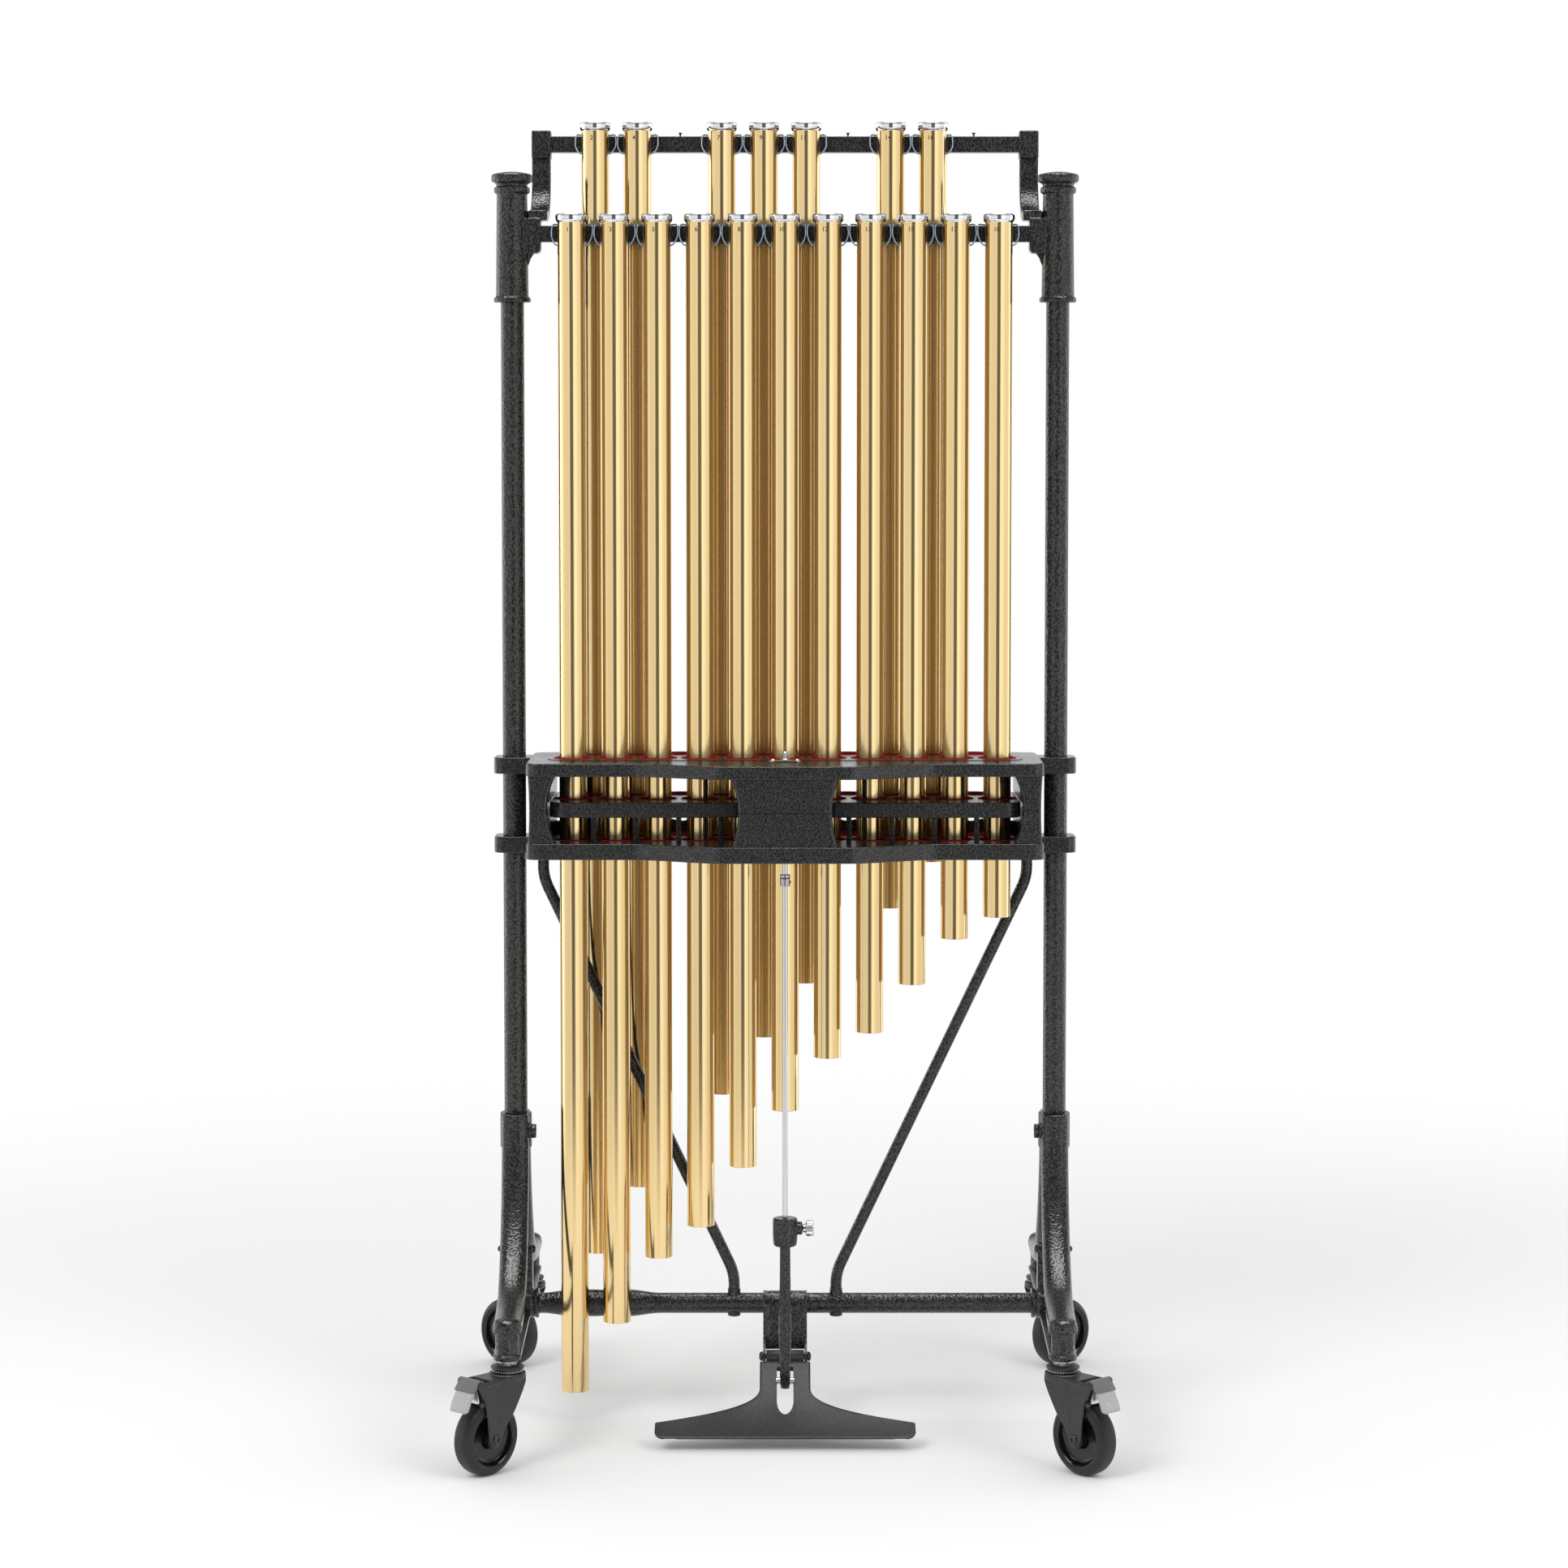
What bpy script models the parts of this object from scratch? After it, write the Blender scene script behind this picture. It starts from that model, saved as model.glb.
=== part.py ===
"""A set of orchestral tubular chimes on a rolling frame, in metres, +Z up.

The origin is on the floor, under the middle of the whole object's box. The pieces are
first made with the two posts' axes at Y = 0 and moved together at the end.
The player stands on the -Y side, at the pedal.
"""

import math

import bmesh
import bpy
from mathutils import Matrix, Vector

# Clearances
GAP = 0.0003
RUNNING = 0.0003

# Chime tubes
TUBE_OD = 0.0381
TUBE_WALL = 0.002
TUBE_PITCH = 0.0583
TUBE_SIDES = 12
LONGEST_TUBE = 1.625
SEMITONES_PER_HALVING = 22.5
FRONT_NOTES = (0, 2, 4, 5, 7, 9, 11, 12, 14, 16, 17)
BACK_NOTES = (1, 3, 6, 8, 10, 13, 15)
BACK_PLACES = (0.5, 1.5, 3.5, 4.5, 5.5, 7.5, 8.5)
BACK_PIN_PLACES = tuple(place + 0.5 for place in range(10))
ROW_SPACING = 0.075
FRONT_TOP_Z = 1.671
BACK_ROW_RISE = 0.130
CAP_OD = 0.0434
CAP_HEIGHT = 0.0116
CORD_HOLE_DROP = 0.042
CORD_HOLE_DIAMETER = 0.005

# Suspension cords
CORD_DIAMETER = 0.0022
CORD_TOUCH = 0.0018

# Rails
RAIL_HEIGHT = 0.022
RAIL_DEPTH = 0.020
RAIL_BELOW_CAP = 0.014
RAIL_SETBACK = 0.0375
PIN_DIAMETER = 0.004
PIN_HEIGHT = 0.0055
PIN_SIDES = 6

# Posts and their fittings
POST_BEYOND_TUBES = 0.0835
POST_OD = 0.032
POST_WALL = 0.0025
POST_SIDES = 16
POST_BOTTOM_Z = 0.138
SLEEVE_BELOW_CAPS = 0.1184
SLEEVE_HEIGHT = 0.1574
SLEEVE_OD = 0.045
SLEEVE_RING_OD = 0.051
SLEEVE_RING_HEIGHT = 0.0065
POST_CAP_OD = 0.0565
POST_CAP_NECK_OD = 0.042
POST_CAP_NECK_HEIGHT = 0.006
POST_CAP_RIM_HEIGHT = 0.011
POST_CAP_DOME = 0.004

# Rail brackets
BLOCK_WIDTH = 0.0236
BLOCK_HEIGHT = 0.048
BLOCK_DEPTH = 0.028
BLOCK_ABOVE_RAIL = 0.0104
ARM_WIDTH = 0.026
ARM_THICKNESS = 0.014
ARM_BEND = 0.060
HEAD_HEIGHT = 0.039
HEAD_DEPTH = 0.030
HEAD_ABOVE_RAIL = 0.008
RIB_HEIGHT = 0.030
RIB_THICKNESS = 0.008

# Legs
SOCKET_OD = 0.044
SOCKET_BOTTOM_Z = 0.380
SOCKET_HEIGHT = 0.050
FRONT_STEM_X = 0.3685
BACK_STEM_X = 0.377
STEM_Y = 0.273
LEG_WIDTH = 0.038
LEG_THICKNESS = 0.030
LEG_BOTTOM_Z = 0.1465
STEM_SLEEVE_OD = 0.0315
STEM_SLEEVE_HEIGHT = 0.045
LEG_COLLAR_OD = 0.038
LEG_COLLAR_HEIGHT = 0.008
LEG_HUB_RISE = 0.0105
LEG_FLANGE_OD = 0.037
LEG_FLANGE_HEIGHT = 0.0065
BRACE_THICKNESS = 0.0055
BRACE_WALL = 0.0037
BOLT_ACROSS = 0.021
BOLT_LENGTH = 0.008

# Crossbar and stays
CROSSBAR_Z = 0.160
CROSSBAR_OD = 0.0282
CROSSBAR_SIDES = 12
CROSSBAR_FLANGE_OD = 0.041
CROSSBAR_FLANGE_WIDTH = 0.013
CROSSBAR_WRAP = 0.006
LUG_THICKNESS = 0.0065
LUG_WIDTH = 0.018
LUG_BOLT_RISE = 0.0765
LUG_BOLT_OD = 0.0124
LUG_BOLT_HEIGHT = 0.0042
SWELL_X = -0.265
SWELL_HALF_LENGTH = 0.080
SWELL_OD = 0.0374
STAY_OD = 0.0158
STAY_TOP_X = 0.3354
STAY_FOOT_X = 0.0712
STAY_TOP_RUN = 0.037
STAY_FOOT_RUN = 0.025
STAY_BEND_RADIUS = 0.070
STAY_BOSS_OD = 0.018
STAY_BOSS_HEIGHT = 0.0035

# Damper box
BOX_TOP_Z = 0.927
BOX_HEIGHT = 0.131
TOP_PLATE = 0.018
BOTTOM_PLATE = 0.022
BOX_POST_CLEAR = 0.0075
BOX_BACK_Y = 0.071
BOX_FRONT_Y = -0.130
BOX_BELLY_Y = -0.178
BELLY_INNER = 0.080
BELLY_OUTER = 0.210
BOX_CORNER = 0.014
RING_BORE = 0.046
CLAMP_HEIGHT = 0.0225
CLAMP_REACH = 0.027
CLAMP_BITE = 0.0072
SEAM_STEP = 0.0008
CHEEK_DEPTH = 0.026
CHEEK_INSET = 0.003
END_CHEEK_WIDTH = 0.040
END_WALL = 0.0235
CHEEK_WAIST = 0.0115
CENTRE_CHEEK_WIDTH = 0.143
CENTRE_CHEEK_DEPTH = 0.016
LEDGE_DEPTH = 0.008
LEDGE_HEIGHT = 0.020
BACK_WALL_HEIGHT = 0.014
BACK_WALL_THICKNESS = 0.0065

# Moving damper grid
GRID_LIFT = 0.033
GRID_THICKNESS = 0.021
GRID_END_CLEAR = 0.007
GRID_FRONT_Y = -0.1015
GRID_NOTCH_HALF_WIDTH = 0.058
GRID_NOTCH_Y = -0.072
GRID_BACK_Y = 0.0672
GRID_CORNER = 0.018

# Pull rod and its link
ROD_OD = 0.007
ROD_SIDES = 8
ROD_Y = -0.096
ROD_ABOVE_BOX = 0.0146
ROD_BOTTOM_Z = 0.283
ROD_HOLE = 0.0086
STOP_COLLAR_OD = 0.0136
STOP_COLLAR_HEIGHT = 0.016
STOP_COLLAR_BELOW_BOX = 0.023
SPRING_SEAT_OD = 0.017
SPRING_SPACE = 0.060
SPRING_SEAT_HEIGHT = 0.004
SPRING_OD = 0.0145
SPRING_WIRE = 0.0016
SPRING_TURNS = 7
COUPLER_TOP_Z = 0.300
COUPLER_HEIGHT = 0.039
COUPLER_OD = 0.034
COUPLER_FOOT_OD = 0.030
LINK_OD = 0.0155
LINK_EYE_WIDTH = 0.014
LINK_EYE_DEPTH = 0.024
SCREW_BOSS_OD = 0.018
SCREW_BOSS_LENGTH = 0.008
SCREW_DROP = 0.0145
SCREW_SHANK_OD = 0.005
SCREW_HEAD_OD = 0.022
SCREW_HEAD_WIDTH = 0.0115
SCREW_NECK = 0.003

# Pedal and its bracket
HINGE_Y = -0.045
HINGE_Z = 0.095
HINGE_PIN_OD = 0.008
HINGE_HEAD_OD = 0.0135
HINGE_HEAD_WIDTH = 0.0055
BRACKET_HALF_WIDTH = 0.0305
BRACKET_SIDE = 0.0036
BRACKET_WEB = 0.004
BRACKET_BELOW_BAR = 0.047
BARREL_OD = 0.018
PEDAL_THICKNESS = 0.006
PEDAL_TIP_THICKNESS = 0.0026
PEDAL_TAPER_Y = -0.150
PEDAL_FRONT_Y = -0.195
PEDAL_FRONT_Z = 0.0205
PEDAL_NECK_HALF_WIDTH = 0.035
PEDAL_HALF_WIDTH = 0.177
PEDAL_SLOT_HALF_WIDTH = 0.0114
PEDAL_SLOT_BACK_Y = -0.062
PEDAL_SLOT_FRONT_Y = -0.144
PEDAL_PIN_OD = 0.009
PEDAL_PIN_Y = -0.085
PEDAL_PIN_Z = 0.0705
PEDAL_BOSS_OD = 0.017
PEDAL_BOSS_WIDTH = 0.012
PEDAL_ANGLE_DEG = 6.0
PAD_HALF_WIDTH = 0.147
PAD_DEPTH = 0.020
PAD_HEIGHT = 0.0018

# Casters
WHEEL_RADIUS = 0.050
WHEEL_WIDTH = 0.032
WHEEL_SIDES = 20
WHEEL_BORE = 0.0088
HUB_OD = 0.026
TYRE_INNER_RADIUS = 0.036
CASTER_TRAIL = 0.0405
FRONT_CASTER_YAW_DEG = 49.0
BACK_CASTER_YAW_DEG = 40.2
FORK_OUTER = 0.042
FORK_WALL = 0.003
FORK_TOP_Z = 0.130
CROWN_OD = 0.049
CROWN_HEIGHT = 0.010
RACE_OD = 0.0446
RACE_HEIGHT = 0.0085
STEM_NUT_OD = 0.027
STEM_NUT_HEIGHT = 0.0077
STEM_OD = 0.012
STEM_LENGTH = 0.030
AXLE_OD = 0.008
AXLE_HEAD_OD = 0.013
AXLE_HEAD_HEIGHT = 0.003
BRAKE_PIVOT_TRAIL = 0.0655
BRAKE_PIVOT_Z = 0.129

# Values that follow from the driving dimensions
PLACES = len(FRONT_NOTES)
POST_X = (PLACES - 1) * TUBE_PITCH / 2 + POST_BEYOND_TUBES
POST_CLEAR = POST_OD / 2 + GAP
POST_FACE_X = POST_X - POST_OD / 2
SLEEVE_BOTTOM_Z = FRONT_TOP_Z - SLEEVE_BELOW_CAPS
POST_TOP_Z = SLEEVE_BOTTOM_Z + SLEEVE_HEIGHT
BACK_TOP_Z = FRONT_TOP_Z + BACK_ROW_RISE
FRONT_TUBE_Y = -ROW_SPACING / 2
BACK_TUBE_Y = ROW_SPACING / 2
FRONT_RAIL_Y = FRONT_TUBE_Y + RAIL_SETBACK
BACK_RAIL_Y = BACK_TUBE_Y + RAIL_SETBACK
FRONT_RAIL_TOP_Z = FRONT_TOP_Z - RAIL_BELOW_CAP
BACK_RAIL_TOP_Z = BACK_TOP_Z - RAIL_BELOW_CAP - 0.002
BLOCK_INNER_X = POST_X - SLEEVE_OD / 2 + 0.0061 - BLOCK_WIDTH
ARM_INNER_X = BLOCK_INNER_X - 0.009
BOX_BOTTOM_Z = BOX_TOP_Z - BOX_HEIGHT
BOX_FLOOR_Z = BOX_BOTTOM_Z + BOTTOM_PLATE
BOX_HALF_WIDTH = POST_FACE_X - BOX_POST_CLEAR
SEAM_Z = (BOX_TOP_Z - TOP_PLATE + BOX_FLOOR_Z) / 2
GRID_Z = BOX_FLOOR_Z + GRID_LIFT
GRID_HALF_WIDTH = BOX_HALF_WIDTH - END_WALL - GRID_END_CLEAR
ROD_TOP_Z = BOX_TOP_Z + ROD_ABOVE_BOX
STOP_COLLAR_TOP_Z = BOX_BOTTOM_Z - STOP_COLLAR_BELOW_BOX
SPRING_SEAT_Z = BOX_FLOOR_Z + SPRING_SPACE
GRID_REST_SHIFT = (RING_BORE - TUBE_OD) / 2 * math.cos(math.pi / TUBE_SIDES) - GAP
WHEEL_Z = WHEEL_RADIUS * math.cos(math.pi / WHEEL_SIDES)
CORD_PEAK = TUBE_PITCH / 2 - CORD_DIAMETER / 2 - GAP / 2


def new_collection(name):
    """A collection linked to the scene."""
    made = bpy.data.collections.new(name)
    bpy.context.scene.collection.children.link(made)
    return made


def clear_scene():
    """Removes the startup objects."""
    for obj in list(bpy.data.objects):
        bpy.data.objects.remove(obj)


clear_scene()
PARTS = new_collection("tubular_chimes")
HELPERS = new_collection("cutters")
HELPERS.hide_render = True


def material(name, colour, roughness, metallic):
    """A Principled material with one colour."""
    made = bpy.data.materials.new(name)
    made.use_nodes = True
    shader = made.node_tree.nodes["Principled BSDF"]
    shader.inputs["Base Color"].default_value = (*colour, 1.0)
    shader.inputs["Roughness"].default_value = roughness
    shader.inputs["Metallic"].default_value = metallic
    return made


BRASS = material("brushed_brass", (0.80, 0.60, 0.29), 0.28, 1.0)
CHROME = material("chrome", (0.75, 0.75, 0.76), 0.08, 1.0)
HAMMERED = material("hammered_black", (0.020, 0.020, 0.021), 0.38, 0.0)
CORD = material("coated_cord", (0.33, 0.40, 0.47), 0.45, 0.0)
FELTED = material("damper_black", (0.018, 0.018, 0.018), 0.55, 0.0)
RUBBER = material("black_rubber", (0.022, 0.022, 0.022), 0.70, 0.0)
ROD_STEEL = material("rod_steel", (0.62, 0.63, 0.65), 0.30, 1.0)
BRAKE_GREY = material("grey_plastic", (0.36, 0.36, 0.36), 0.50, 0.0)


def place(mesh, name, helper=False):
    """An object that holds the mesh, in the parts or among the cutters."""
    obj = bpy.data.objects.new(name, mesh)
    (HELPERS if helper else PARTS).objects.link(obj)
    if helper:
        obj.hide_render = True
        obj.display_type = "WIRE"
    return obj


def finish(obj, finish_material, name=None):
    """Gives a part its material, smooth round faces and its name."""
    if name:
        obj.name = name
    obj.data.materials.clear()
    obj.data.materials.append(finish_material)
    if obj.type == "MESH":
        obj.data.shade_smooth()
        obj.data.set_sharp_from_angle(angle=math.radians(35))
    return obj


def mesh_from(bm, name, helper):
    """Turns a bmesh into a placed object."""
    mesh = bpy.data.meshes.new(name)
    bmesh.ops.recalc_face_normals(bm, faces=bm.faces)
    bm.to_mesh(mesh)
    bm.free()
    return place(mesh, name, helper)


def cuboid(name, low, high, helper=False):
    """A box between two corners."""
    low, high = Vector(low), Vector(high)
    bm = bmesh.new()
    bmesh.ops.create_cube(bm, size=1.0)
    size = high - low
    bmesh.ops.scale(bm, vec=size, verts=bm.verts)
    bmesh.ops.translate(bm, vec=(low + high) / 2, verts=bm.verts)
    return mesh_from(bm, name, helper)


def cylinder(name, start, end, radius, sides=16, helper=False, end_radius=None):
    """A cylinder or a cone between two points."""
    start, end = Vector(start), Vector(end)
    run = end - start
    bm = bmesh.new()
    bmesh.ops.create_cone(
        bm,
        cap_ends=True,
        segments=sides,
        radius1=radius,
        radius2=radius if end_radius is None else end_radius,
        depth=run.length,
    )
    turn = run.to_track_quat("Z", "Y").to_matrix().to_4x4()
    bmesh.ops.transform(bm, matrix=Matrix.Translation((start + end) / 2) @ turn, verts=bm.verts)
    return mesh_from(bm, name, helper)


def turned(name, profile, centre, sides, helper=False, along=None, closed=False):
    """A profile of (radius, height) pairs turned about Z, or about another axis."""
    mesh = bpy.data.meshes.new(name)
    count = len(profile)
    edges = [(i, i + 1) for i in range(count - 1)]
    if closed:
        edges.append((count - 1, 0))
    mesh.from_pydata([(r, 0.0, z) for r, z in profile], edges, [])
    obj = place(mesh, name, helper)
    screw = obj.modifiers.new("turn", "SCREW")
    screw.steps = sides
    screw.render_steps = sides
    screw.use_merge_vertices = True
    screw.merge_threshold = 0.00001
    obj.location = centre
    if along:
        obj.rotation_euler = Vector(along).to_track_quat("Z", "Y").to_euler()
    return obj


def solid_mesh(obj, name=None, helper=False):
    """The evaluated object as a plain welded mesh object; the old one is removed."""
    bpy.context.view_layer.update()
    graph = bpy.context.evaluated_depsgraph_get()
    mesh = bpy.data.meshes.new_from_object(obj.evaluated_get(graph))
    matrix = obj.matrix_world.copy()
    label = name or obj.name
    bpy.data.objects.remove(obj)
    bm = bmesh.new()
    bm.from_mesh(mesh)
    bmesh.ops.remove_doubles(bm, verts=bm.verts, dist=0.000002)
    bmesh.ops.recalc_face_normals(bm, faces=bm.faces)
    bm.to_mesh(mesh)
    bm.free()
    made = place(mesh, label, helper)
    made.matrix_world = matrix
    return made


def outline_solid(name, outlines, z_low, z_high, helper=False):
    """A flat outline in X and Y with its holes, as thick as the two heights say."""
    curve = bpy.data.curves.new(name, "CURVE")
    curve.dimensions = "2D"
    curve.fill_mode = "BOTH"
    curve.extrude = (z_high - z_low) / 2
    for outline in outlines:
        spline = curve.splines.new("POLY")
        spline.points.add(len(outline) - 1)
        for point, (x, y) in zip(spline.points, outline):
            point.co = (x, y, 0.0, 1.0)
        spline.use_cyclic_u = True
    obj = place(curve, name, helper)
    obj.location.z = (z_low + z_high) / 2
    made = solid_mesh(obj, name, helper)
    # The fill can leave flat triangles between points in one line, which this turns round.
    bm = bmesh.new()
    bm.from_mesh(made.data)
    bmesh.ops.beautify_fill(bm, faces=bm.faces, edges=bm.edges)
    bm.to_mesh(made.data)
    bm.free()
    return made


def side_solid(name, outline, x_low, x_high, helper=False):
    """An outline in Y and Z, carried along X between two places."""
    obj = outline_solid(name, [outline], x_low, x_high, helper)
    # The flat X and Y of the outline become Y and Z, and its thickness runs along X.
    turn = Matrix(((0, 0, 1, 0), (1, 0, 0, 0), (0, 1, 0, 0), (0, 0, 0, 1)))
    obj.data.transform(turn @ obj.matrix_world)
    obj.matrix_world = Matrix.Identity(4)
    return obj


def front_solid(name, outline, y_low, y_high, helper=False):
    """An outline in X and Z, carried along Y between two places."""
    obj = outline_solid(name, [outline], -y_high, -y_low, helper)
    turn = Matrix(((1, 0, 0, 0), (0, 0, -1, 0), (0, 1, 0, 0), (0, 0, 0, 1)))
    obj.data.transform(turn @ obj.matrix_world)
    obj.matrix_world = Matrix.Identity(4)
    return obj


def bar(name, points, radius, rounds=2, cyclic=False, helper=False):
    """A round bar or wire along points, as a welded mesh."""
    curve = bpy.data.curves.new(name, "CURVE")
    curve.dimensions = "3D"
    curve.bevel_depth = radius
    curve.bevel_resolution = rounds
    curve.use_fill_caps = True
    spline = curve.splines.new("POLY")
    spline.points.add(len(points) - 1)
    for point, place_at in zip(spline.points, points):
        point.co = (*place_at, 1.0)
    spline.use_cyclic_u = cyclic
    return solid_mesh(place(curve, name, helper), name, helper)


def loft(name, rings, helper=False):
    """A closed skin over rings that have the same number of points."""
    bm = bmesh.new()
    loops = [[bm.verts.new(point) for point in ring] for ring in rings]
    sides = len(loops[0])
    for near, far in zip(loops, loops[1:]):
        for i in range(sides):
            j = (i + 1) % sides
            bm.faces.new((near[i], near[j], far[j], far[i]))
    bm.faces.new(loops[0])
    bm.faces.new(loops[-1])
    bmesh.ops.triangulate(bm, faces=bm.faces)
    return mesh_from(bm, name, helper)


def combine(target, others, operation):
    """Adds Boolean modifiers that join the others to the target, or cut them away."""
    for number, other in enumerate(others):
        for collection in list(other.users_collection):
            collection.objects.unlink(other)
        HELPERS.objects.link(other)
        other.hide_render = True
        other.display_type = "WIRE"
        modifier = target.modifiers.new(f"{operation.lower()}_{number}", "BOOLEAN")
        modifier.operation = operation
        modifier.solver = "EXACT"
        modifier.object = other
    return target


def join(target, others):
    """The target with the others joined to it."""
    return combine(target, others, "UNION")


def cut(target, others):
    """The target with the others cut away."""
    return combine(target, others, "DIFFERENCE")


def circle(centre, radius, sides):
    """Points round a circle, with a flat on its +X side."""
    return [
        (
            centre[0] + radius * math.cos(2 * math.pi * (i + 0.5) / sides),
            centre[1] + radius * math.sin(2 * math.pi * (i + 0.5) / sides),
        )
        for i in range(sides)
    ]


def fillet(corner, before, after, radius, steps=3):
    """Points round a corner of an outline, from the side before it to the side after it."""
    corner, before, after = Vector(corner), Vector(before), Vector(after)
    one = (before - corner).normalized()
    two = (after - corner).normalized()
    half = one.angle(two) / 2
    back = radius / math.tan(half)
    centre = corner + (one + two).normalized() * (radius / math.sin(half))
    first = corner + one * back - centre
    last = corner + two * back - centre
    return [tuple(centre + first.slerp(last, i / steps).normalized() * radius) for i in range(steps + 1)]


def ease(value):
    """A smooth step from 0 to 1."""
    value = min(1.0, max(0.0, value))
    return value * value * (3 - 2 * value)


def place_x(index):
    """The X of a place in the rows, which the middle tube of the front row centres."""
    return (index - (PLACES - 1) / 2) * TUBE_PITCH


def tube_length(semitone):
    """Each tube is shorter than the last by the same ratio."""
    return LONGEST_TUBE * 2 ** (-semitone / SEMITONES_PER_HALVING)


def make_tube(name, x, y, top_z, semitone):
    """A tube with its cap pressed on, drilled through for its cord, and open at its foot."""
    outer = TUBE_OD / 2
    inner = outer - TUBE_WALL
    cap = CAP_OD / 2
    foot = -tube_length(semitone)
    profile = [
        (0.0, 0.0),
        (cap, 0.0),
        (cap, -CAP_HEIGHT),
        (outer, -CAP_HEIGHT),
        (outer, foot),
        (inner, foot),
        (inner, -CAP_HEIGHT),
        (0.0, -CAP_HEIGHT),
    ]
    tube = turned(name, profile, (x, y, top_z), TUBE_SIDES)
    tube.rotation_euler.z = math.pi / TUBE_SIDES
    hole_z = top_z - CORD_HOLE_DROP
    drill = cylinder(
        name + "_drill",
        (x - CAP_OD, y, hole_z),
        (x + CAP_OD, y, hole_z),
        CORD_HOLE_DIAMETER / 2,
        6,
        helper=True,
    )
    return finish(cut(tube, [drill]), BRASS)


def make_tubes():
    """The front row has the naturals and the back row the accidentals."""
    for index, note in enumerate(FRONT_NOTES):
        make_tube(f"tube_front_{index + 1:02d}", place_x(index), FRONT_TUBE_Y, FRONT_TOP_Z, note)
    for number, (index, note) in enumerate(zip(BACK_PLACES, BACK_NOTES)):
        make_tube(f"tube_back_{number + 1:02d}", place_x(index), BACK_TUBE_Y, BACK_TOP_Z, note)


def cord_loop(name, x, tube_y, top_z, rail_y, rail_top):
    """One loop: round its rail pin, out past both sides of the tube, and through its two holes."""
    hole_y, hole_z = tube_y - rail_y, top_z - CORD_HOLE_DROP - rail_top
    side = TUBE_OD / 2
    lie = CORD_DIAMETER / 2 + GAP
    wrap = (PIN_DIAMETER + CORD_DIAMETER) / 2 + GAP
    corner = wrap / math.cos(math.radians(22.5))
    slant = corner * math.sin(math.radians(45))
    half = [
        (side - 0.0040, hole_y, hole_z),
        (side + 0.0030, hole_y, hole_z + 0.0011),
        (CORD_PEAK - 0.0008, -0.0302, -0.0170),
        (CORD_PEAK, -0.0216, -0.0075),
        (0.0262, -0.0140, lie - 0.0004),
        (0.0185, -0.0080, lie),
        (corner, 0.0, lie),
        (slant, slant, lie),
    ]
    right = [(x + dx, rail_y + dy, rail_top + dz) for dx, dy, dz in half]
    left = [(x - dx, rail_y + dy, rail_top + dz) for dx, dy, dz in half]
    route = right + [(x, rail_y + corner, rail_top + lie)] + left[::-1]
    return bar(name, route, CORD_DIAMETER / 2, rounds=0, cyclic=True)


def make_cord(name, indices, tube_y, top_z, rail_y, rail_top):
    """Neighbouring loops touch where they cross between two tubes, so they are one piece."""
    loops = [
        cord_loop(f"{name}_loop_{n}", place_x(index), tube_y, top_z, rail_y, rail_top)
        for n, index in enumerate(indices)
    ]
    for n, (one, two) in enumerate(zip(indices, indices[1:])):
        middle = Vector(((place_x(one) + place_x(two)) / 2, rail_y - 0.0216, rail_top - 0.0075))
        reach = Vector((TUBE_PITCH / 2 - CORD_PEAK + CORD_DIAMETER / 8, CORD_TOUCH / 2, CORD_TOUCH / 2))
        loops.append(cuboid(f"{name}_touch_{n}", middle - reach, middle + reach))
    return finish(join(loops[0], loops[1:]), CORD, name)


def make_cords():
    """One cord for the front row and one for each run of tubes in the back row."""
    front = (FRONT_TUBE_Y, FRONT_TOP_Z, FRONT_RAIL_Y, FRONT_RAIL_TOP_Z)
    back = (BACK_TUBE_Y, BACK_TOP_Z, BACK_RAIL_Y, BACK_RAIL_TOP_Z)
    make_cord("cord_front", range(PLACES), *front)
    runs = {"cord_back_low": (0, 2), "cord_back_mid": (2, 5), "cord_back_high": (5, 7)}
    for name, (first, last) in runs.items():
        make_cord(name, BACK_PLACES[first:last], *back)


def make_rail(name, half_length, y, top_z, pin_places):
    """A flat bar that carries a pin for each place in its row."""
    low = (-half_length, y - RAIL_DEPTH / 2, top_z - RAIL_HEIGHT)
    high = (half_length, y + RAIL_DEPTH / 2, top_z)
    rail = cuboid(name, low, high)
    radius = PIN_DIAMETER / 2
    pins = [
        cylinder(
            f"{name}_pin_{n}",
            (place_x(index), y, top_z - RAIL_HEIGHT / 4),
            (place_x(index), y, top_z + PIN_HEIGHT),
            radius,
            PIN_SIDES,
        )
        for n, index in enumerate(pin_places)
    ]
    return finish(join(rail, pins), HAMMERED)


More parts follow.
